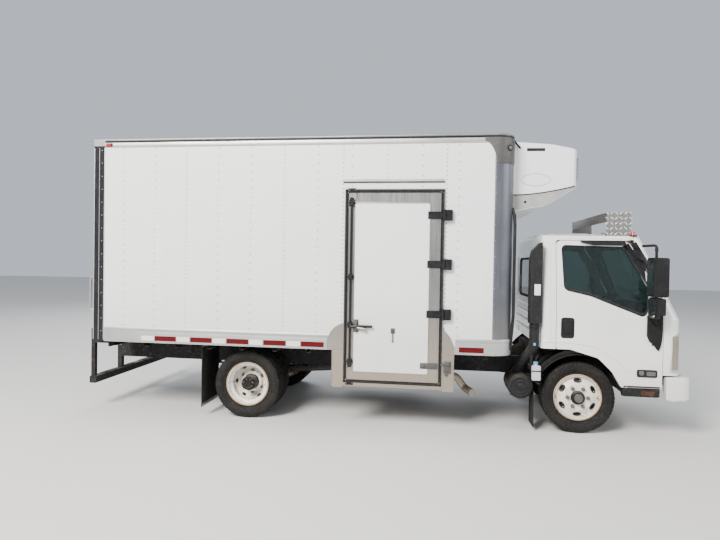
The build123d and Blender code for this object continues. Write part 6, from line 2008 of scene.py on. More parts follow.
HUB_BLACK = variant(dull_paint("hub_black", (0.012, 0.012, 0.012), 0.4, 0.4, 0.3), "wheel_cream")
HUB_GREY = variant(dull_paint("hub_grey", (0.065, 0.065, 0.064), 0.45, 0.3, 0.1), "wheel_cream")
RUSTY_LIP = variant(dull_paint("rusty_lip", (0.36, 0.22, 0.09), 0.6, 0.2, 0.5), "wheel_cream")
NUT_STEEL = variant(dull_paint("wheel_nut", (0.10, 0.084, 0.062), 0.5, 0.2, 0.5), "wheel_cream")


def placed(shape, side, turn=0.0):
    """The shape turned about the Y axis by an angle in degrees, and mirrored for the left side."""
    bmesh.ops.transform(shape.mesh, verts=shape.mesh.verts[:], matrix=Matrix.Rotation(math.radians(turn),
        4, "Y"))
    return shape if side < 0 else shape.mirrored()


def wheel_nut(distance, face, side, turn):
    """A hexagon nut with its washer and the end of its stud, standing out from the disc."""
    nut = Shape()
    for radius, sides, out, shift in ((0.0225, 18, 0.005, 0), (0.0205, 6, 0.024, 0.5),
            (0.0095, 10, 0.033, 0)):
        ring = [(radius * math.cos(a), distance + radius * math.sin(a))
                for a in angles(sides, shift)]
        nut.prism(ring, face - out, face, soft=0.0015)
    return placed(nut, side, turn)


def hole_rim(y_inner, y_outer, side, turn):
    """The turned edge of an oval hand hole, following the slope of the disc."""
    rim = Shape()
    path = [(0.0385 * math.cos(a), y_inner + (y_outer - y_inner) * (1 + math.sin(a)) / 2,
        0.190 + 0.0195 * math.sin(a)) for a in angles(24)]
    rim.tube(path, 0.0075, 8, joined=True)
    return placed(rim, side, turn)


def front_wheels():
    """Tyres, hubs, nuts and lips of the front wheels."""
    centre = FRONT_TYRE.middle
    face = -0.088
    for side, name in SIDES:
        body = f"front_wheel_{name}"
        tyre = Shape()
        carcass(tyre, centre)
        finished(placed(tyre, side), f"front_tyre_carcass_{name}", body, RUBBER, (f"front_tyre_{name}",),
            24)
        at = Vector((centre.x, side * -centre.y, centre.z))
        tread(f"front_tyre_tread_{name}", body, at)
        hub = Shape()
        hub.turned([(0.030, face - 0.0355), (0.063, face - 0.0355), (0.0735, face - 0.023),
            (0.0795, face + 0.004), (0.088, face + 0.0005), (0.088, face + 0.004), (0.030, face + 0.004),
            (0.030, face - 0.0355)], centre)
        finished(placed(hub, side), f"front_hub_sleeve_{name}", body, HUB_BLACK)
        cap = Shape()
        cap.turned([(0.0, face - 0.0575), (0.022, face - 0.0575), (0.026, face - 0.054),
            (0.035, face - 0.054), (0.038, face - 0.057), (0.042, face - 0.0575), (0.0460, face - 0.053),
            (0.0490, face - 0.034), (0.0, face - 0.034)], centre, steps=40)
        finished(placed(cap, side), f"front_hub_cap_{name}", body, HUB_GREY)
        round_hub(wheel_nut(0.111, face, side, 30), f"front_wheel_nuts_{name}", body, NUT_STEEL, 6, at)
        # The front hole rims are black and wider than the holes: painted shade that enlarges the dark of
        # each hand hole.
        round_hub(hole_rim(face + 0.012, face + 0.038, side, 0), f"front_hole_rims_{name}", body,
            HUB_BLACK, 6, at)
        lip = Shape()
        ring_bead(lip, LIP_RADIUS, centre.y - LIP_HALF, LIP_WIRE, centre)
        ring_bead(lip, LIP_RADIUS, centre.y + LIP_HALF, LIP_WIRE, centre)
        finished(placed(lip, side), f"front_rim_lips_{name}", body, RUSTY_LIP)
        dark = Shape()
        dark.turned([(0.150, face + 0.0175), (0.206, face + 0.0505), (0.206, face + 0.053),
            (0.150, face + 0.020), (0.150, face + 0.0175)], centre)
        finished(placed(dark, side), f"front_drum_face_{name}", body, HUB_BLACK)
        seam = Shape()
        ring_bead(seam, 0.2285, centre.y - 0.047, 0.0035, centre)
        finished(placed(seam, side), f"front_rim_weld_{name}", body, WHEEL)
        stem = Shape()
        stem.tube([(centre.x + 0.205, centre.y - 0.043, centre.z), (centre.x + 0.214, centre.y - 0.066,
            centre.z), (centre.x + 0.214, centre.y - 0.098, centre.z)], [0.006, 0.0045, 0.0045], 10)
        stem.tube([(centre.x + 0.214, centre.y - 0.094, centre.z), (centre.x + 0.214, centre.y - 0.106,
            centre.z)], 0.0062, 10)
        stem.block((centre.x - 0.247, centre.x - 0.236), (centre.y - 0.090, centre.y - 0.072),
                   (centre.z - 0.022, centre.z + 0.022), 0.003)
        finished(placed(stem, side), f"front_valve_stem_{name}", body, HUB_GREY)


def rear_wheel_sets():
    """Tyres, flange bolts, nuts and lips of the twin rear wheels."""
    centre = REAR_TYRES.middle
    for side, name in SIDES:
        body = f"rear_wheels_{name}"
        tyres, lips = Shape(), Shape()
        for twin, label in ((-TWIN, "outer"), (TWIN, "inner")):
            place = centre + LEFT * twin
            carcass(tyres, place)
            tread(f"rear_tyre_tread_{label}_{name}", body, Vector((place.x, side * -place.y, place.z)))
            for edge in (-LIP_HALF, LIP_HALF):
                ring_bead(lips, LIP_RADIUS, place.y + edge, LIP_WIRE, place)
        finished(placed(tyres, side), f"rear_tyre_carcasses_{name}", body, RUBBER, (f"rear_tyres_{name}",),
            24)
        finished(placed(lips, side), f"rear_rim_lips_{name}", body, RUSTY_LIP)
        at = Vector((centre.x, side * -centre.y, centre.z))
        round_hub(wheel_nut(0.133, -0.012, side, 0), f"rear_wheel_nuts_{name}", body, NUT_STEEL, 6, at)
        round_hub(hole_rim(-0.028, -0.058, side, 30), f"rear_hole_rims_{name}", body, WHEEL, 6, at)
        round_hub(wheel_nut(0.063, -0.172, side, 0), f"rear_flange_bolts_{name}", body, HUB_BLACK, 8, at)
        hub = Shape()
        hub.turned([(0.0, -0.1915), (0.049, -0.1915), (0.052, -0.188), (0.052, -0.184), (0.060, -0.1775),
            (0.0755, -0.1775), (0.0855, -0.167), (0.0875, -0.062), (0.0955, -0.056), (0.0955, -0.050),
            (0.0, -0.050)], centre)
        finished(placed(hub, side), f"rear_hub_sleeve_{name}", body, HUB_BLACK)
        stems = Shape()
        for turn, reach in ((0.0, 0.150), (math.pi, 0.130)):
            way = Vector((math.cos(turn), 0, math.sin(turn)))
            root = centre + way * 0.204 - LEFT * 0.096
            stems.tube([root, root + way * 0.004 - LEFT * 0.03,
                root + way * 0.004 - LEFT * (reach - 0.06)], [0.006, 0.0045, 0.0045], 10)
        finished(placed(stems, side), f"rear_valve_stems_{name}", body, HUB_GREY)


front_wheels()
rear_wheel_sets()


# Underframe

FRAME = Extent("frame_rails")
WEB = FRAME.left
TANK = Extent("fuel_tank")
BATTERY = Extent("battery_box")
FRONT_X, REAR_X = FRONT_TYRE.middle.x, REAR_TYRES.middle.x
SPRINGS_Y = 0.395


def frame_fittings():
    """Rail bolts, body clamps, brake lines and the wiring that runs along the rails."""
    for side, name in SIDES:
        heads = [(x, side * (WEB + 0.003), z) for x in [FRAME.rear + 0.22 + 0.29 * k for k in range(20)]
                 for z in (0.598, 0.718)]
        bolts(f"rail_bolts_{name}", "chassis", CHASSIS, heads, LEFT * side, 0.011, 0.010)
    clamps, lines_made = Shape(), Shape()
    for x in (-3.05, -2.45, -0.95, -0.72, 0.55, 1.05, 1.45):
        clamps.block((x - 0.032, x + 0.032), (WEB, WEB + 0.010), (0.640, 0.845), 0.002)
        for z in (0.665, 0.815):
            clamps.block((x - 0.011, x + 0.011), (WEB + 0.008, WEB + 0.020), (z - 0.011, z + 0.011), 0.003)
    for y, z, size in ((0.372, 0.700, 0.006), (0.372, 0.680, 0.006), (0.378, 0.655, 0.013)):
        lines_made.tube([(-3.30, y, z), (-1.20, y, z - 0.01), (0.60, y, z + 0.004), (2.80, y, z)], size, 8)
    for x in [-3.1 + 0.45 * k for k in range(14)]:
        lines_made.block((x - 0.008, x + 0.008), (0.362, 0.419), (0.640, 0.708), 0.003)
    finished(clamps.also_mirrored(), "body_clamp_plates", "chassis", CHASSIS)
    finished(lines_made.also_mirrored(), "rail_brake_lines", "chassis", PLASTIC)


def spring_fittings():
    """U-bolts, eye bolts and shock absorbers at both axles."""
    hoops, dampers = Shape(), Shape()
    for x, low, high in ((FRONT_X, 0.275, 0.425), (REAR_X, 0.375, 0.535)):
        for dx in (-0.048, 0.048):
            hoops.tube([(x + dx, SPRINGS_Y - 0.046, low), (x + dx, SPRINGS_Y - 0.046, high - 0.01),
                (x + dx, SPRINGS_Y - 0.034, high), (x + dx, SPRINGS_Y + 0.034, high),
                (x + dx, SPRINGS_Y + 0.046, high - 0.01), (x + dx, SPRINGS_Y + 0.046, low)], 0.0075, 8)
            for dy in (-0.046, 0.046):
                hoops.prism([(x + dx + 0.014 * math.cos(a), SPRINGS_Y + dy + 0.014 * math.sin(a))
                             for a in (math.pi * k / 3 for k in range(6))], low + 0.012, low + 0.030, "z")
        hoops.block((x - 0.066, x + 0.066), (SPRINGS_Y - 0.058, SPRINGS_Y + 0.058),
            (low + 0.030, low + 0.044), 0.003)
    for x in (FRONT_X - 0.62, FRONT_X + 0.62, REAR_X - 0.64, REAR_X + 0.64):
        hoops.tube([(x, SPRINGS_Y - 0.050, 0.523), (x, SPRINGS_Y + 0.060, 0.523)], 0.013, 6)
    for x, foot, top in ((FRONT_X, (0.060, 0.500, 0.330), (0.150, 0.470, 0.640)),
                         (REAR_X, (-0.085, 0.485, 0.360), (-0.200, 0.470, 0.680))):
        foot, top = Vector((x + foot[0], *foot[1:])), Vector((x + top[0], *top[1:]))
        way = (top - foot).normalized()
        for a, b, size in ((0.0, 0.62, 0.024), (0.45, 0.97, 0.031), (0.9, 1.0, 0.012)):
            dampers.tube([foot.lerp(top, a), foot.lerp(top, b)], size, 18)
        dampers.tube([foot - LEFT * 0.028, foot + LEFT * 0.022], 0.021, 14)
        dampers.tube([top - LEFT * 0.050, top + LEFT * 0.022], 0.019, 14)
        dampers.block((foot.x - 0.02, foot.x + 0.02), (0.435, foot.y), (foot.z - 0.012, foot.z + 0.012),
            0.003)
    finished(hoops.also_mirrored(), "spring_u_bolts", "chassis", CHASSIS)
    finished(dampers.also_mirrored(), "shock_absorbers", "chassis", CHASSIS)


def brake_gear():
    """Brake chambers and hoses on the rear axle, the differential's bolts and the air tanks."""
    drums = Shape()
    x, y, z = REAR_X + 0.185, 0.455, 0.430
    drums.turned([(0.0, 0.0), (0.052, 0.0), (0.066, 0.012), (0.068, 0.050), (0.074, 0.054), (0.074, 0.066),
        (0.068, 0.070), (0.060, 0.118), (0.040, 0.128), (0.0, 0.128)], (x - 0.02, y, z), FORWARD, 32)
    drums.tube([(x - 0.02, y, z), (x - 0.10, y, z - 0.01)], 0.010, 10)
    drums.block((x - 0.145, x - 0.015), (y - 0.008, y + 0.008), (z - 0.045, z + 0.030), 0.004)
    drums.tube([(x + 0.07, y - 0.02, z + 0.07), (x + 0.05, y - 0.05, z + 0.14),
        (x - 0.02, 0.395, z + 0.20), (x - 0.05, 0.380, 0.66)], 0.008, 8)
    finished(drums.also_mirrored(), "rear_brake_chambers", "chassis", CHASSIS)
    cover = [(REAR_X - 0.1185, 0.118 * math.cos(a), 0.400 + 0.118 * math.sin(a))
             for a in angles(12)]
    bolts("axle_cover_bolts", "chassis", CASTING, cover, BACK, 0.009, 0.008)
    plug = Shape()
    plug.turned([(0.0, 0.0), (0.018, 0.0), (0.018, 0.010), (0.012, 0.012), (0.012, 0.020), (0.0, 0.020)],
                (REAR_X - 0.119, 0.04, 0.345), BACK, 6)
    plug.tube([(REAR_X - 0.03, 0.30, 0.475), (REAR_X - 0.03, 0.14, 0.560), (REAR_X - 0.03, -0.14, 0.560),
               (REAR_X - 0.03, -0.30, 0.475)], 0.006, 8)
    finished(plug, "axle_plug_and_pipe", "chassis", CASTING)
    tanks = Shape()
    y, z = 0.548, 0.640
    for low, high in ((-2.62, -2.16), (-2.98, -2.70)):
        tanks.turned([(0.0, 0.0), (0.05, 0.004), (0.092, 0.028), (0.100, 0.05), (0.100, high - low - 0.05),
                      (0.092, high - low - 0.028), (0.05, high - low - 0.004), (0.0, high - low)],
                     (low, y, z), FORWARD, 32)
        for x in (low + 0.09, high - 0.09):
            band = [Vector((x, y + 0.1015 * math.cos(a), z + 0.1015 * math.sin(a))) for a in angles(28)]
            ways = [Vector((0, p.y - y, p.z - z)).normalized() for p in band]
            tanks.strip(band, 0.03, 0.003, ways, joined=True)
            tanks.block((x - 0.015, x + 0.015), (WEB, 0.470), (0.600, 0.690), 0.003)
        tanks.tube([(low + 0.06, y, 0.545), (low + 0.06, y, 0.527)], 0.012, 8)
    finished(tanks, "air_tanks", "chassis", CHASSIS)


def tank_and_batteries():
    """Straps, filler cap and sender of the fuel tank; lid, ribs and latches of the battery box."""
    straps = Shape()
    ring = rounded([(TANK.left - 0.56 + 0.02, TANK.low), (TANK.left, TANK.low), (TANK.left, TANK.high),
                    (TANK.left - 0.54, TANK.high)], 0.06, 6)
    middle = Vector((TANK.left - 0.27, (TANK.low + TANK.high) / 2))
    for x in (TANK.rear + 0.18, TANK.front - 0.18):
        path, ways = [], []
        for index, (y, z) in enumerate(ring):
            before, after = ring[index - 1], ring[(index + 1) % len(ring)]
            out = Vector((after[1] - before[1], before[0] - after[0]))
            out = out if out.dot(Vector((y, z)) - middle) > 0 else -out
            path.append((x, y, z))
            ways.append(Vector((0, out.x, out.y)).normalized())
        straps.strip(path, 0.046, 0.004, ways, joined=True)
        straps.tube([(x, TANK.left + 0.004, 0.60), (x, TANK.left + 0.004, 0.52)], 0.007, 8)
    for x in (TANK.rear + 0.002, TANK.front - 0.002):
        bead = [(x, y, z) for y, z in spaced(ring, 0.08)]
        straps.tube(bead, 0.004, 6, joined=True)
    finished(straps, "fuel_tank_straps", "chassis", STAINLESS)
    cap = Shape()
    cap.turned([(0.0, 0.0), (0.036, 0.0), (0.036, 0.014), (0.050, 0.016), (0.052, 0.036), (0.046, 0.042),
                (0.016, 0.042), (0.014, 0.048), (0.0, 0.048)],
               (TANK.front - 0.31, TANK.left - 0.014, TANK.high - 0.085), Vector((0, 0.55, 0.83)), 32)
    cap.turned([(0.0, 0.0), (0.040, 0.0), (0.040, 0.006), (0.022, 0.008), (0.022, 0.016), (0.0, 0.016)],
               (TANK.rear + 0.30, TANK.left - 0.27, TANK.high - 0.001), UP, 24)
    cap.tube([(TANK.rear + 0.30, TANK.left - 0.27, TANK.high + 0.012),
        (TANK.rear + 0.38, 0.56, TANK.high + 0.02), (TANK.rear + 0.40, WEB + 0.01, 0.74)], 0.006, 8)
    finished(cap, "fuel_filler_cap", "chassis", PLASTIC)
    lid = Shape()
    out = BATTERY.left
    lid.block((BATTERY.rear + 0.008, BATTERY.front - 0.008), (WEB + 0.012, out + 0.006),
         (BATTERY.high - 0.004, BATTERY.high + 0.008), 0.006)
    lid.block((BATTERY.rear + 0.02, BATTERY.front - 0.02), (out + 0.006, out),
        (BATTERY.high - 0.05, BATTERY.high), 0.002)
    for x in (BATTERY.rear + 0.10, BATTERY.middle.x, BATTERY.front - 0.10):
        lid.prism(oblong(x - 0.012, x + 0.012, BATTERY.low + 0.03, BATTERY.high - 0.10, 0.006), out,
            out + 0.005)
    for x in (BATTERY.rear + 0.19, BATTERY.front - 0.19):
        lid.block((x - 0.016, x + 0.016), (out + 0.014, out + 0.004),
            (BATTERY.high - 0.085, BATTERY.high - 0.012), 0.003)
        lid.tube([(x, out + 0.014, BATTERY.high - 0.075), (x, out + 0.022, BATTERY.high - 0.095)], 0.006,
            10)
    finished(lid, "battery_cover", "chassis", PLASTIC)


def exhaust_fittings():
    """Bands and saddles on the canister, and the clamps of its tail."""
    bands = Shape()
    y, z, radius = -0.615, 0.560, 0.1255
    for x, width in ((0.080, 0.014), (0.210, 0.040), (0.710, 0.040), (0.840, 0.014), (0.46, 0.010)):
        turn = [a * math.pi / 20 for a in range(40)]
        path = [Vector((x, y + radius * math.cos(a), z + radius * math.sin(a))) for a in turn]
        bands.strip(path, width, 0.0035, [Vector((0, math.cos(a), math.sin(a))) for a in turn],
            joined=True)
    for x in (0.210, 0.710):
        bands.block((x - 0.02, x + 0.02), (y + 0.05, y + 0.02), (z + radius - 0.004, z + radius + 0.03),
            0.003)
    for x in (0.905, 0.935):
        path = [Vector((x, y + 0.0452 * math.cos(a), 0.520 + 0.0452 * math.sin(a))) for a in turn]
        bands.strip(path, 0.012, 0.004, [Vector((0, math.cos(a), math.sin(a))) for a in turn], joined=True)
    finished(bands, "exhaust_bands", "chassis", EXHAUST)


def driveline_fittings():
    """Yokes of the shaft, and the engine's ribs, sump, pulleys, filter and fan."""
    start, end = Vector((1.374, 0, 0.600)), Vector((REAR_X + 0.2653, 0, 0.400))
    way = (end - start).normalized()
    side = way.cross(UP).normalized()
    over = side.cross(way)
    yokes = Shape()
    for share in (0.02, 0.5, 0.97):
        for step, turn in ((-0.006, 0), (0.026, 0.5)):
            spot = start.lerp(end, share) + way * step * 2.6
            for k in range(4):
                a = math.pi * (k + turn) / 2
                out = (side * math.cos(a) + over * math.sin(a)) * 0.052
                yokes.tube([spot + out, spot + out + way * 0.022], 0.011, 6)
                yokes.tube([spot + out * 0.4, spot + out * 0.95 - way * 0.03], [0.020, 0.014], 8)
    finished(yokes, "shaft_yokes", "chassis", CASTING)
    block = Extent("engine_block")
    dress = Shape()
    for k in range(7):
        x = block.rear + 0.09 + 0.095 * k
        dress.block((x - 0.008, x + 0.008), (block.left + 0.009, block.right - 0.009), (0.56, 0.80), 0.003)
    dress.block((block.rear + 0.06, block.front - 0.12), (0.20, -0.20),
        (block.low - 0.012, block.low + 0.01), 0.01)
    for x in (block.rear + 0.10, block.front - 0.16):
        dress.tube([(x, 0.0, block.low - 0.010), (x, 0.0, block.low - 0.024)], 0.016, 6)
    dress.turned([(0.0, 0.0), (0.085, 0.0), (0.088, 0.008), (0.078, 0.014), (0.088, 0.020), (0.085, 0.028),
        (0.0, 0.028)], (block.front, 0.0, 0.56), FORWARD, 36)
    dress.turned([(0.0, 0.0), (0.055, 0.0), (0.058, 0.006), (0.050, 0.012), (0.058, 0.018), (0.0, 0.022)],
                 (block.front, 0.17, 0.78), FORWARD, 30)
    dress.turned([(0.0, 0.0), (0.046, 0.0), (0.046, 0.10), (0.040, 0.112), (0.0, 0.112)],
                 (block.rear + 0.30, block.right - 0.002, 0.60), (0, -1, -0.4), 24)
    finished(dress, "engine_dressing", "chassis", CASTING)
    fan = Shape()
    for a in angles(8):
        out = Vector((0, math.cos(a), math.sin(a)))
        across = Vector((0, -math.sin(a), math.cos(a)))
        hub = Vector((block.front + 0.055, 0.0, 0.70))
        fan.bridge([fan.loop([hub + out * d - across * w + FORWARD * 0.016,
            hub + out * d + across * w - FORWARD * 0.012, hub + out * d + across * w - FORWARD * 0.016,
            hub + out * d - across * w + FORWARD * 0.012]) for d, w in ((0.035, 0.020), (0.10, 0.042),
            (0.172, 0.050))])
    fan.turned([(0.0, -0.055), (0.030, -0.055), (0.030, -0.02), (0.046, -0.016), (0.046, 0.020),
        (0.0, 0.024)], (block.front + 0.055, 0.0, 0.70), FORWARD, 30)
    finished(fan, "engine_fan", "chassis", PLASTIC)


frame_fittings()
spring_fittings()
brake_gear()
tank_and_batteries()
exhaust_fittings()
driveline_fittings()


# Between the cab and the box, and round the cab's lower edge

BOTTLE = variant(Finish("bottle_plastic", (0.62, 0.66, 0.70), 0.35, Transmission_Weight=0.25).done(),
    "black_plastic")
CAP_BLUE = variant(Finish("cap_blue", (0.10, 0.30, 0.55), 0.4).done(), "black_plastic")
LABEL = variant(Finish("blank_plate", (0.80, 0.80, 0.78), 0.45).done(), "black_plastic")
STEP_BLACK = variant(dull_paint("step_black", (0.015, 0.015, 0.016), 0.5, 0.3, 0.75), "chassis_black")
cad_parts["cab_steps"].data.materials[0] = STEP_BLACK[0]


def bent(points, radius, steps=6):
    """A line through the points with its inner corners eased into curves."""
    points = [Vector(p) for p in points]
    made = [points[0]]
    for before, corner, after in zip(points, points[1:], points[2:]):
        start = corner + (before - corner).normalized() * radius
        end = corner + (after - corner).normalized() * radius
        made += [start.lerp(corner, t).lerp(corner.lerp(end, t), t)
            for t in (k / steps for k in range(steps + 1))]
    return made + [points[-1]]


def hoop(shape, centre, axis, radius, width, height=0.003, steps=36):
    """A flat band round a tube."""
    axis = Vector(axis).normalized()
    side = axis.cross(UP if abs(axis.z) < 0.9 else FORWARD).normalized()
    ways = [side * math.cos(a) + axis.cross(side) * math.sin(a) for a in angles(steps)]
    shape.strip([Vector(centre) + way * radius for way in ways], width, height, ways, joined=True)


def air_intake():
    """Louvres and plate on the stack, the pleated hose, the cleaner's ribbed end and the bottle."""
    stack = Extent("air_intake")
    x, y = (1.798 + 1.933) / 2, stack.right
    hose = lines(bent([(x, -0.995, 1.235), (x, -0.995, 0.960), (1.748, -0.760, 0.720),
        (1.728, -0.760, 0.640)], 0.09, 10))
    PLEATS.grow(hose, "intake_hose_pleats", "chassis", PLASTIC, sharp=60, Radius=0.0535, Pleat=0.004,
        Pitch=0.020)
    fittings = Shape()
    hoop(fittings, (x, -0.995, 1.190), UP, 0.0585, 0.014, 0.004)
    hoop(fittings, (1.728, -0.760, 0.655), UP, 0.0585, 0.014, 0.004)
    cleaner = (1.728, -1.0, 0.511)
    fittings.turned([(0.0, 0.012), (0.030, 0.012), (0.034, 0.006), (0.060, 0.006), (0.063, 0.013),
        (0.071, 0.013), (0.074, 0.006), (0.100, 0.006), (0.103, 0.012), (0.110, 0.012), (0.113, 0.004),
        (0.137, -0.016), (0.1395, -0.030), (0.1395, -0.046), (0.130, -0.050)], cleaner, RIGHT, 56)
    for y_band in (-0.90, -0.70):
        hoop(fittings, (1.728, y_band, 0.511), LEFT, 0.1365, 0.034, 0.004, 48)
    for k in range(4):
        a = math.pi * (0.25 + k / 2)
        way = Vector((math.cos(a), 0, math.sin(a)))
        place = Vector((1.728, -0.965, 0.511)) + way * 0.144
        fittings.tube([place + LEFT * 0.025, place, place - LEFT * 0.025], [0.004, 0.0075, 0.004], 8)
    for z in (0.025, 0.045, 0.065):
        fittings.strip([(1.815, y - 0.0005, 2.131 - 0.18 - z), (1.915, y - 0.0005, 2.131 - 0.10 - z)],
            0.010, 0.004, RIGHT)
    for k in range(9):
        z = 1.30 + 0.062 * k
        fittings.strip([(1.812, y - 0.0005, z), (1.832, y - 0.0005, z)], 0.006, 0.002, RIGHT)
    finished(fittings, "intake_fittings", "chassis", PLASTIC)
    plate = Shape()
    plate.block((1.8475, 1.9125), (y, y - 0.0025), (1.546, 1.666), 0.001)
    finished(plate, "intake_blank_plate", "chassis", LABEL)
    bottle = Shape()
    bottle.block((1.842, 1.938), (-0.984, -1.046), (0.592, 0.760), 0.014)
    bottle.turned([(0.0, 0.0), (0.024, 0.0), (0.020, 0.018), (0.020, 0.030), (0.0, 0.030)],
        (1.885, -1.014, 0.754), UP, 24)
    finished(bottle, "overflow_bottle", "chassis", BOTTLE)
    cap = Shape()
    cap.turned([(0.0, 0.0), (0.025, 0.0), (0.025, 0.018), (0.021, 0.022), (0.0, 0.022)],
        (1.885, -1.014, 0.780), UP, 24)
    cap.block((1.850, 1.876), (-1.044, -1.056), (0.985, 1.015), 0.003)
    finished(cap, "bottle_cap", "chassis", CAP_BLUE)
    line = Shape()
    line.tube(bent([(1.885, -1.014, 0.800), (1.885, -1.014, 0.835), (1.915, -0.98, 0.86),
        (1.93, -0.80, 0.90), (1.90, -0.45, 0.86)], 0.02), 0.006, 8)
    line.strip([(1.839, -1.048, 0.70), (1.941, -1.048, 0.70)], 0.014, 0.002, RIGHT)
    finished(line, "bottle_line", "chassis", PLASTIC)


ARCH_SWEEP = (21, 146, 44)


def arch_bands():
    """The wide black band inside each front wheel arch, and the liner's edge behind it."""
    centre = FRONT_TYRE.middle
    for side, name in SIDES:
        band = Shape()
        swept(band, [(0.4965, -0.962), (0.552, -1.006), (0.5575, -1.006), (0.503, -0.962)], centre,
            *ARCH_SWEEP)
        finished(placed(band, side), f"arch_band_{name}", "cab", FLAP)
        edge = Shape()
        swept(edge, [(0.487, -0.9765), (0.487, -0.970), (0.500, -0.970), (0.500, -0.9765)], centre,
            *ARCH_SWEEP)
        finished(placed(edge, side), f"arch_liner_edge_{name}", "cab", PLASTIC)


def step_details():
    """Tread on the cab's steps, and the block and bolts at their front end."""
    for side, name in SIDES:
        tread_plate(f"cab_step_tread_{name}", "cab", STEP_BLACK, (0.34, 0.19), 0.030,
                    (3.00, side * 0.885, 0.4815))
    steps = Shape()
    steps.block((3.150, 3.193), (-1.012, -0.900), (0.470, 0.545), 0.006)
    for x in (2.86, 3.02, 3.14):
        steps.tube([(x, -1.0195, 0.505), (x, -1.0245, 0.505)], 0.009, 6)
    finished(steps.also_mirrored(), "cab_step_blocks", "cab", STEP_BLACK)


def flap_fittings():
    """Clamping bars and bolts along the top of each mudflap, and weights along its foot."""
    bars = Shape()
    for x, y_low, y_high, top, foot in ((FRONT_X - 0.496, 0.735, 0.985, 0.452, 0.068),
                                        (REAR_X - 0.550, 0.595, 1.095, 0.872, 0.121)):
        bars.block((x + 0.008, x + 0.013), (y_high, y_low), (top - 0.040, top), 0.001)
        for k in range(4):
            y = y_low + 0.04 + (y_high - y_low - 0.08) * k / 3
            bars.tube([(x + 0.012, y, top - 0.02), (x + 0.020, y, top - 0.02)], 0.009, 6)
        if foot > 0.1:
            bars.block((x + 0.008, x + 0.012), (y_high, y_low), (foot, foot + 0.035), 0.001)
            bars.block((x - 0.004, x), (y_high, y_low), (foot, foot + 0.035), 0.001)
    finished(bars.also_mirrored(), "mudflap_bars", "chassis", STAINLESS)


def floor_beams():
    """Cross beams under the box floor, with gussets to the long sills."""
    beams = Shape()
    for k in range(12):
        x = -3.10 + 0.40 * k
        for side in (-1, 1):
            in_well = side < 0 and -0.42 < x < 1.01
            outer = 0.78 if in_well else 1.165
            beams.block((x - 0.003, x + 0.003), (side * outer, side * 0.427), (0.822, 0.879), 0.001)
            beams.block((x - 0.003, x + 0.042), (side * outer, side * 0.427), (0.822, 0.827), 0.001)
            beams.prism([(side * 0.427, 0.822), (side * 0.427, 0.775), (side * 0.475, 0.822)], x - 0.002,
                x + 0.003, "x")
    finished(beams, "floor_cross_beams", "chassis", CHASSIS)


air_intake()
arch_bands()
step_details()
flap_fittings()
floor_beams()


# Inside the cab

SEAT_X, SEAT_Y, SEAT_BASE = 2.305, 0.52, 1.015
DASH = Extent("dashboard")
HUB = Vector((3.005, 0.520, 1.390))
HUB_AXIS = Vector((-0.5, 0, 0.866))


def sewn(piece_mesh, start, aim, out=0.0):
    """The nearest place of a cushion along a ray, and its normal."""
    place, normal, _, _ = piece_mesh.ray_cast(Vector(start), Vector(aim))
    return (place + normal * out, normal) if place is not None else (None, None)


def pad(name, outline, half, replaced=(), middle=0.0, cap=0.024, rest=None, voxel=0.011):
    """A cushion: a slim form remeshed, swollen as cloth to its cap, flat where it rests, then smoothed."""
    form = Shape()
    form.prism(rounded(outline, 0.030, 4), middle - half, middle + half, soft=0.018)
    bmesh.ops.recalc_face_normals(form.mesh, faces=form.mesh.faces[:])
    piece = linked(name, form.into_mesh(name))
    scene = bpy.context.scene
    remesh = piece.modifiers.new("even_cells", "REMESH")
    remesh.mode = "VOXEL"
    remesh.voxel_size = voxel
    piece.data = evaluated(piece)
    piece.modifiers.clear()
    before = [vert.co.copy() for vert in piece.data.vertices]
    cloth = piece.modifiers.new("swelling", "CLOTH")
    cloth.settings.use_pressure = True
    cloth.settings.uniform_pressure_force = 4
    cloth.settings.effector_weights.gravity = 0
    for number in range(1, 21):
        scene.frame_set(number)
    swollen = evaluated(piece)
    piece.modifiers.clear()
    scene.frame_set(1)
    for vert, start, moved in zip(piece.data.vertices, before, swollen.vertices):
        move = moved.co - start
        vert.co = start + move * min(1.0, cap / max(move.length, 1e-6))
    for vert in piece.data.vertices:
        if rest is not None and vert.co.z < rest:
            vert.co.z = rest
    smooth = piece.modifiers.new("smoothing", "SUBSURF")
    smooth.levels = smooth.render_levels = 1
    piece.data = evaluated(piece)
    piece.modifiers.clear()
    piece.data.name = name
    piece.data.shade_smooth()
    piece.data.materials.clear()
    piece.data.materials.append(CLOTH[0])
    return piece


def twin_pad(piece):
    """The passenger's copy of a driver's cushion, turned inside out again after mirroring."""
    copy = bmesh.new()
    copy.from_mesh(piece.data)
    bmesh.ops.scale(copy, vec=(1, -1, 1), verts=copy.verts[:])
    bmesh.ops.recalc_face_normals(copy, faces=copy.faces[:])
    mesh = piece.data.copy()
    copy.to_mesh(mesh)
    copy.free()
    twin = linked(piece.name.replace("driver", "passenger"), mesh)
    twin.data.name = twin.name
    return twin


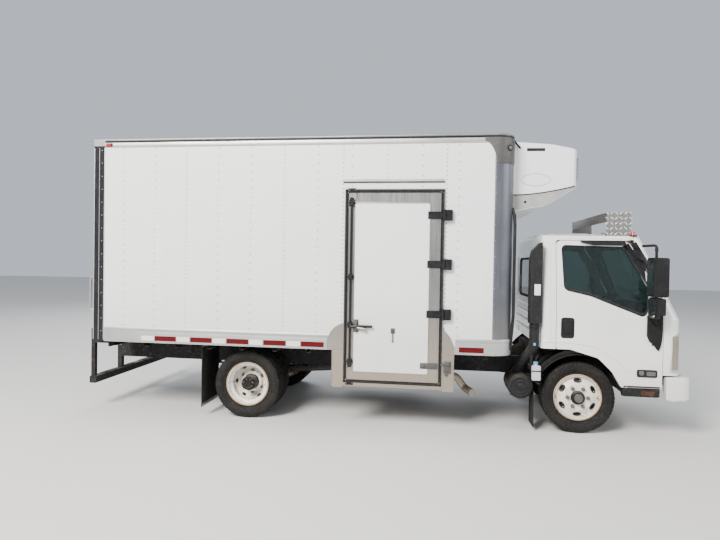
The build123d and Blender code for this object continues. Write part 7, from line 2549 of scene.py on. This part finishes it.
def seats():
    """Cushions, backs and head rests with their seams, slides and belts."""
    x, z = SEAT_X, SEAT_BASE
    cushion = pad("driver_seat_cushion", [(x - 0.225, z + 0.012), (x + 0.240, z + 0.012),
        (x + 0.248, z + 0.128), (x - 0.225, z + 0.104)], 0.215, middle=SEAT_Y, rest=z)
    back = pad("driver_seat_back", [(x - 0.222, z + 0.135), (x - 0.135, z + 0.135), (x - 0.200, z + 0.695),
                                    (x - 0.272, z + 0.695)], 0.215, middle=SEAT_Y, cap=0.022)
    head = pad("driver_head_rest", [(x - 0.280, z + 0.735), (x - 0.225, z + 0.735), (x - 0.238, z + 0.865),
                                    (x - 0.280, z + 0.865)], 0.108, middle=SEAT_Y, cap=0.018, voxel=0.008)
    trees = []
    for piece in (cushion, back):
        mesh = bmesh.new()
        mesh.from_mesh(piece.data)
        trees.append(BVHTree.FromBMesh(mesh))
        mesh.free()
    seams = Shape()
    for dy in (-0.135, 0.0, 0.135):
        top = [sewn(trees[0], (x - 0.215 + 0.43 * k / 24, SEAT_Y + dy, z + 0.5), (0, 0, -1), 0.0004)[0]
            for k in range(25)]
        seams.tube([p for p in top if p is not None], 0.0035, 6)
        face = [sewn(trees[1], (x + 0.3, SEAT_Y + dy, z + 0.16 + 0.51 * k / 26), BACK, 0.0004)[0]
            for k in range(27)]
        seams.tube([p for p in face if p is not None], 0.0035, 6)
    for tree, origins, aim in ((trees[0], [(x + 0.150, SEAT_Y - 0.20 + 0.40 * k / 24, z + 0.5)
            for k in range(25)], (0, 0, -1)), (trees[1], [(x + 0.3, SEAT_Y - 0.20 + 0.40 * k / 24,
            z + 0.58) for k in range(25)], (-1, 0, 0))):
        found = [sewn(tree, origin, aim, 0.0004)[0] for origin in origins]
        seams.tube([p for p in found if p is not None], 0.0035, 6)
    for number, piece in enumerate((cushion, back, head)):
        twin = twin_pad(piece)
        own(piece, "cab", ("seats",) if number == 0 else ())
        own(twin, "cab")
    finished(seams.also_mirrored(), "seat_seams", "cab", PLASTIC)
    frames = Shape()
    for dy in (-0.17, 0.17):
        frames.block((x - 0.24, x + 0.22), (SEAT_Y + dy + 0.018, SEAT_Y + dy - 0.018), (z, z + 0.018),
            0.003)
        for dx in (-0.22, 0.20):
            frames.tube([(x + dx, SEAT_Y + dy, z + 0.016), (x + dx, SEAT_Y + dy, z + 0.024)], 0.008, 6)
    for dy in (-0.05, 0.05):
        frames.tube([(x - 0.246, SEAT_Y + dy, z + 0.66), (x - 0.255, SEAT_Y + dy, z + 0.78)], 0.006, 10)
    for dy in (-0.236, 0.236):
        frames.prism(rounded([(x - 0.245, z + 0.03), (x - 0.13, z + 0.03), (x - 0.125, z + 0.12),
            (x - 0.165, z + 0.26), (x - 0.225, z + 0.26)], 0.02, 4), SEAT_Y + dy - 0.008,
            SEAT_Y + dy + 0.008)
        frames.tube([(x - 0.185, SEAT_Y + dy * 1.04, z + 0.10), (x - 0.185, SEAT_Y + dy * 0.96, z + 0.10)],
            0.024, 20)
    frames.tube(bent([(x - 0.185, SEAT_Y + 0.246, z + 0.10), (x - 0.10, SEAT_Y + 0.250, z + 0.085),
                      (x - 0.02, SEAT_Y + 0.250, z + 0.09)], 0.02), 0.007, 10)
    finished(frames.also_mirrored(), "seat_frames", "cab", PLASTIC)
    belts = Shape()
    y = CAB_INNER - 0.022
    belts.strip(bent([(2.060, y, 1.080), (2.060, y, 1.60), (2.052, y - 0.01, 1.86)], 0.05), 0.046, 0.0015,
        RIGHT)
    belts.block((2.030, 2.090), (y + 0.014, y - 0.012), (1.845, 1.905), 0.005)
    belts.block((2.022, 2.098), (y + 0.018, y - 0.018), (1.045, 1.130), 0.006)
    belts.block((x - 0.13, x - 0.095), (0.270, 0.248), (z + 0.03, z + 0.16), 0.004)
    finished(belts.also_mirrored(), "seat_belts", "cab", PLASTIC)


CAB_INNER = 0.966


def dashboard():
    """Instrument hood, vents, radio, glove box and switches on the dashboard."""
    face = DASH.rear
    trim = Shape()
    hood = [(face + 0.004, 1.345), (face - 0.012, 1.415), (face + 0.010, 1.432), (face + 0.150, 1.405),
        (face + 0.185, 1.350)]
    trim.prism(rounded(hood, 0.012, 3), 0.345, 0.365)
    trim.prism(rounded(hood, 0.012, 3), 0.675, 0.695)
    trim.prism(rounded([(face - 0.012, 1.412), (face + 0.010, 1.434), (face + 0.150, 1.407),
        (face + 0.185, 1.350), (face + 0.178, 1.346), (face + 0.145, 1.396), (face + 0.012, 1.420)], 0.004,
        3), 0.350, 0.690)
    trim.block((face - 0.006, face + 0.03), (0.165, -0.165), (1.050, 1.290), 0.008)
    trim.block((face - 0.006, face + 0.03), (-0.34, -0.86), (1.055, 1.210), 0.010)
    trim.block((face - 0.016, face - 0.004), (-0.55, -0.65), (1.178, 1.196), 0.004)
    for y in (-0.84, -0.26, 0.26, 0.84):
        trim.block((face - 0.008, face + 0.03), (y + 0.062, y - 0.062), (1.218, 1.290), 0.008)
    trim.block((face, face + 0.14), (-0.20, -0.60), (1.366, 1.376), 0.004)
    finished(trim, "dashboard_trim", "cab", PLASTIC)
    slats = Shape()
    for y in (-0.84, -0.26, 0.26, 0.84):
        slats.block((face - 0.012, face - 0.002), (y - 0.052, y + 0.052), (1.2265, 1.2295))
    SLATS.grow(slats, "dashboard_vent_slats", "cab", CAB_GREY, Count=6, Step=(0.0, 0.0, 0.011))
    dials = Shape()
    for y, size in ((0.445, 0.050), (0.595, 0.050), (0.520, 0.026)):
        dials.turned([(0.0, 0.0), (size - 0.006, 0.0), (size - 0.004, 0.006), (size, 0.006), (size, -0.01),
            (0.0, -0.01)], (face + 0.022, y, 1.372), BACK, 30)
    for k, y in enumerate((-0.115, 0.115, -0.075, 0.0, 0.075)):
        z = 1.235 if k < 2 else 1.100
        dials.turned([(0.0, 0.022), (0.013, 0.020), (0.015, 0.004), (0.019, 0.0), (0.0, 0.0)],
            (face - 0.006, y, z), BACK, 20)
    for k in range(5):
        dials.block((face - 0.010, face - 0.004), (-0.052 + 0.032 * k, -0.078 + 0.032 * k), (1.160, 1.174),
            0.002)
    dials.block((face - 0.008, face - 0.004), (0.085, -0.085), (1.195, 1.262), 0.002)
    finished(dials, "dashboard_dials", "cab", STAINLESS)
    needles = Shape()
    for y, tilt in ((0.445, 0.03), (0.595, -0.022)):
        needles.tube([(face + 0.018, y, 1.372), (face + 0.018, y + tilt, 1.372 + 0.028)], 0.0016, 6)
    finished(needles, "dial_needles", "cab", RED_LENS)


def controls():
    """Horn pad, column shroud and stalks, shift and brake levers, and the pedals."""
    parts = Shape()
    parts.turned([(0.0, 0.034), (0.045, 0.032), (0.062, 0.024), (0.068, 0.010), (0.060, 0.0), (0.0, 0.0)],
                 HUB, HUB_AXIS, 40)
    parts.turned([(0.0, -0.03), (0.046, -0.032), (0.052, -0.06), (0.054, -0.16), (0.0, -0.17)], HUB,
        HUB_AXIS, 32)
    low = HUB - HUB_AXIS * 0.085
    for way, reach in ((1, 0.185), (-1, 0.175)):
        parts.tube([low + LEFT * way * 0.04, low + LEFT * way * 0.11 + HUB_AXIS * 0.004,
                    low + LEFT * way * reach + HUB_AXIS * 0.012], [0.0065, 0.0055, 0.0105], 12)
    for k in range(12):
        a = math.pi * (0.18 + k * 0.058)
        for flip in (1, -1):
            spoke = LEFT * math.cos(a) * flip + LEFT.cross(HUB_AXIS) * math.sin(a)
            along = HUB_AXIS.cross(spoke)
            spot = HUB + spoke * 0.2200
            parts.tube([spot - along * 0.004, spot + along * 0.004], 0.0162, 14)
    finished(parts, "steering_controls", "cab", PLASTIC)
    levers = Shape()
    face = DASH.rear
    levers.turned([(0.0, 0.0), (0.040, 0.0), (0.034, 0.012), (0.022, 0.026), (0.014, 0.040), (0.0, 0.040)],
                  (face, 0.205, 1.120), BACK, 28)
    levers.tube([(face - 0.03, 0.205, 1.122), (face - 0.055, 0.205, 1.150)], 0.006, 10)
    levers.tube([(face - 0.053, 0.205, 1.146), (face - 0.058, 0.205, 1.155), (face - 0.059, 0.205, 1.185),
                 (face - 0.056, 0.205, 1.196)], [0.010, 0.016, 0.018, 0.010], 16)
    levers.block((2.33, 2.47), (0.280, 0.262), (SEAT_BASE, SEAT_BASE + 0.05), 0.006)
    levers.tube([(2.40, 0.271, SEAT_BASE + 0.035), (2.55, 0.271, SEAT_BASE + 0.070)], 0.0065, 10)
    levers.tube([(2.545, 0.271, SEAT_BASE + 0.068), (2.57, 0.271, SEAT_BASE + 0.075),
        (2.66, 0.271, SEAT_BASE + 0.096), (2.672, 0.271, SEAT_BASE + 0.098)],
        [0.009, 0.0135, 0.0135, 0.008], 14)
    for y, half in ((0.405, 0.026), (0.535, 0.040)):
        levers.block((3.222, 3.236), (y + half, y - half), (0.735, 0.825), 0.004)
        levers.tube(bent([(3.236, y, 0.78), (3.285, y, 0.86), (3.270, y, 1.02)], 0.03), 0.009, 10)
        for k in range(5):
            levers.block((3.218, 3.223), (y + half - 0.005, y - half + 0.005),
                (0.745 + 0.017 * k, 0.752 + 0.017 * k), 0.001)
    finished(levers, "levers_and_pedals", "cab", PLASTIC)


def cab_lining():
    """Headliner, sun visors, lamp, floor mats and the rear wall's trim."""
    ceiling = Skin("cab_roof")
    rows = []
    for i in range(10):
        x = 2.05 + 0.80 * i / 9
        rows.append([ceiling.hit((x, -0.80 + 1.60 * j / 12, 1.95), UP)[0] - UP * 0.010 for j in range(13)])
    liner = Shape()
    liner.sheet(rows, 0.006, (0, 0, 1))
    for i in (2, 5, 8):
        liner.tube([p - UP * 0.001 for p in rows[i]], 0.004, 6)
    finished(liner, "headliner", "cab", CAB_GREY)
    lamp = Shape()
    top = rows[4][6]
    lamp.block((top.x - 0.055, top.x + 0.055), (0.036, -0.036), (top.z - 0.020, top.z - 0.001), 0.006)
    finished(lamp, "cab_lamp", "cab", LENS)
    visors = Shape()
    for y in (-0.48, 0.48):
        x = rows[9][6].x + 0.01
        z = rows[9][6].z - 0.014
        visors.prism(rounded([(x, z), (x + 0.155, z - 0.040), (x + 0.158, z - 0.054), (x, z - 0.018)],
            0.005, 3), y - 0.19, y + 0.19, soft=0.003)
        visors.tube([(x - 0.006, y - 0.20, z - 0.008), (x - 0.006, y + 0.20, z - 0.008)], 0.006, 10)
    finished(visors, "sun_visors", "cab", CAB_GREY)
    mats = Shape()
    mats.block((2.905, 3.290), (0.925, 0.498), (0.6302, 0.6360), 0.002)
    finished(mats.also_mirrored(), "floor_mats", "cab", FLAP)
    ribs = Shape()
    for y in (-0.712, 0.712):
        ribs.block((2.915, 2.921), (y - 0.20, y + 0.20), (0.6355, 0.6385))
    SLATS.grow(ribs, "floor_mat_ribs", "cab", FLAP, Count=31, Step=(0.012, 0.0, 0.0))
    wall = Shape()
    wall.block((1.984, 1.990), (0.90, -0.90), (1.030, 1.450), 0.002)
    for k in range(9):
        y = -0.80 + 0.20 * k
        wall.block((1.989, 1.994), (y + 0.030, y - 0.030), (1.08, 1.40), 0.002)
    finished(wall, "rear_wall_trim", "cab", CAB_GREY)


def door_linings():
    """Trim panel, arm rest, pull, window crank and speaker inside each cab door."""
    inner = Skin("cab_door_right")
    for side, name in SIDES:
        body = f"cab_door_{name}"
        panel, parts, disc = Shape(), Shape(), Shape()
        rows = [[inner.hit((2.150 + 0.90 * i / 14, -0.6, 1.03 + 0.31 * j / 4), RIGHT)[0] + LEFT * 0.001
                 for i in range(15)] for j in range(5)]
        panel.sheet(rows, 0.009, LEFT)
        rows = [[inner.hit((2.900 + 0.22 * i / 4, -0.6, 0.62 + 0.40 * j / 4), RIGHT)[0] + LEFT * 0.001
                 for i in range(5)] for j in range(5)]
        panel.sheet(rows, 0.009, LEFT)
        y = rows[2][2].y + 0.009
        parts.block((2.36, 2.78), (y + 0.040, y), (1.215, 1.250), 0.012)
        parts.tube(bent([(2.84, y, 1.13), (2.84, y + 0.035, 1.13), (2.84, y + 0.035, 1.27),
            (2.84, y, 1.27)], 0.015), 0.009, 10)
        disc.turned([(0.0, 0.0), (0.020, 0.0), (0.018, 0.012), (0.0, 0.012)], (2.62, y, 1.115), LEFT, 20)
        disc.tube(bent([(2.62, y + 0.012, 1.115), (2.56, y + 0.022, 1.10), (2.51, y + 0.024, 1.09)], 0.02),
            0.006, 10)
        disc.tube([(2.51, y + 0.020, 1.09), (2.51, y + 0.046, 1.09)], 0.010, 12)
        disc.turned([(0.0, 0.003), (0.008, 0.008), (0.013, 0.003), (0.030, 0.008), (0.034, 0.003),
            (0.052, 0.008), (0.056, 0.003), (0.062, 0.003), (0.066, 0.009), (0.073, 0.009), (0.076, 0.0),
            (0.0, 0.0)], (3.005, y, 0.800), LEFT, 32)
        disc.block((2.905, 2.965), (y + 0.008, y), (1.285, 1.325), 0.003)
        disc.tube([(2.92, y + 0.012, 1.305), (2.955, y + 0.014, 1.305)], 0.006, 10)
        finished(placed(panel, side), f"door_trim_panel_{name}", body, CAB_GREY)
        finished(placed(parts, side), f"door_arm_rest_{name}", body, PLASTIC)
        finished(placed(disc, side), f"door_crank_and_speaker_{name}", body, PLASTIC)


seats()
dashboard()
controls()
cab_lining()
door_linings()


# Inside the box

def cargo_fittings():
    """Ribbed floor, kick plates, wall rails, lamps and the return-air panel."""
    floor = BOX.low + 0.150
    bar = Shape()
    bar.block((WALL.rear + 0.010, 1.440), (-0.784, -0.770), (floor - 0.0005, floor + 0.0035))
    SLATS.grow(bar, "cargo_floor_ribs", "chassis", FLOOR_METAL, Count=47, Step=(0.0, 0.0405, 0.0))
    bar = Shape()
    for low, high in ((WALL.rear + 0.010, DOOR_FRAME.rear - 0.006), (DOOR_FRAME.front + 0.006, 1.440)):
        bar.block((low, high), (-1.120, -1.106), (floor - 0.0005, floor + 0.0035))
    SLATS.grow(bar, "cargo_floor_side_ribs", "chassis", FLOOR_METAL, Count=8, Step=(0.0, 0.0405, 0.0))
    plates = Shape()
    inner = BOX.left - 0.076
    spans = {1: [(WALL.rear + 0.01, WALL.front - 0.01)], -1: [(WALL.rear + 0.01, DOOR_FRAME.rear - 0.01),
        (DOOR_FRAME.front + 0.01, WALL.front - 0.01)]}
    for side, runs in spans.items():
        face = side * inner
        for low, high in runs:
            plates.block((low, high), (face - side * 0.003, face), (floor + 0.004, floor + 0.30), 0.001)
            for z in (floor + 0.86, floor + 1.46):
                plates.block((low, high), (face - side * 0.008, face), (z - 0.022, z + 0.022), 0.001)
                plates.block((low, high), (face - side * 0.012, face), (z - 0.062, z - 0.050), 0.001)
    plates.block((1.5205, 1.5235), (1.05, -1.05), (floor + 0.004, floor + 0.30), 0.001)
    finished(plates, "cargo_wall_plates", "chassis", ALUMINIUM)
    panel = Shape()
    panel.block((1.512, 1.5235), (0.86, -0.86), (2.55, 3.12), 0.003)
    for y in (-0.45, 0.45):
        panel.turned([(0.0, 0.0), (0.205, 0.0), (0.205, 0.006), (0.196, 0.010), (0.188, 0.006),
            (0.188, 0.002), (0.140, 0.002), (0.136, 0.008), (0.128, 0.002), (0.084, 0.002), (0.080, 0.008),
            (0.072, 0.002), (0.030, 0.002), (0.026, 0.010), (0.0, 0.012)], (1.512, y, 2.86), BACK, 44)
    finished(panel, "cargo_air_panel", "chassis", PANEL_WHITE)
    lamps = Shape()
    for x in (-2.35, -0.55, 0.95):
        lamps.block((x - 0.16, x + 0.16), (0.055, -0.055), (ROOF.low - 0.026, ROOF.low - 0.0005), 0.008)
    finished(lamps, "cargo_lamps", "chassis", LENS)


cargo_fittings()
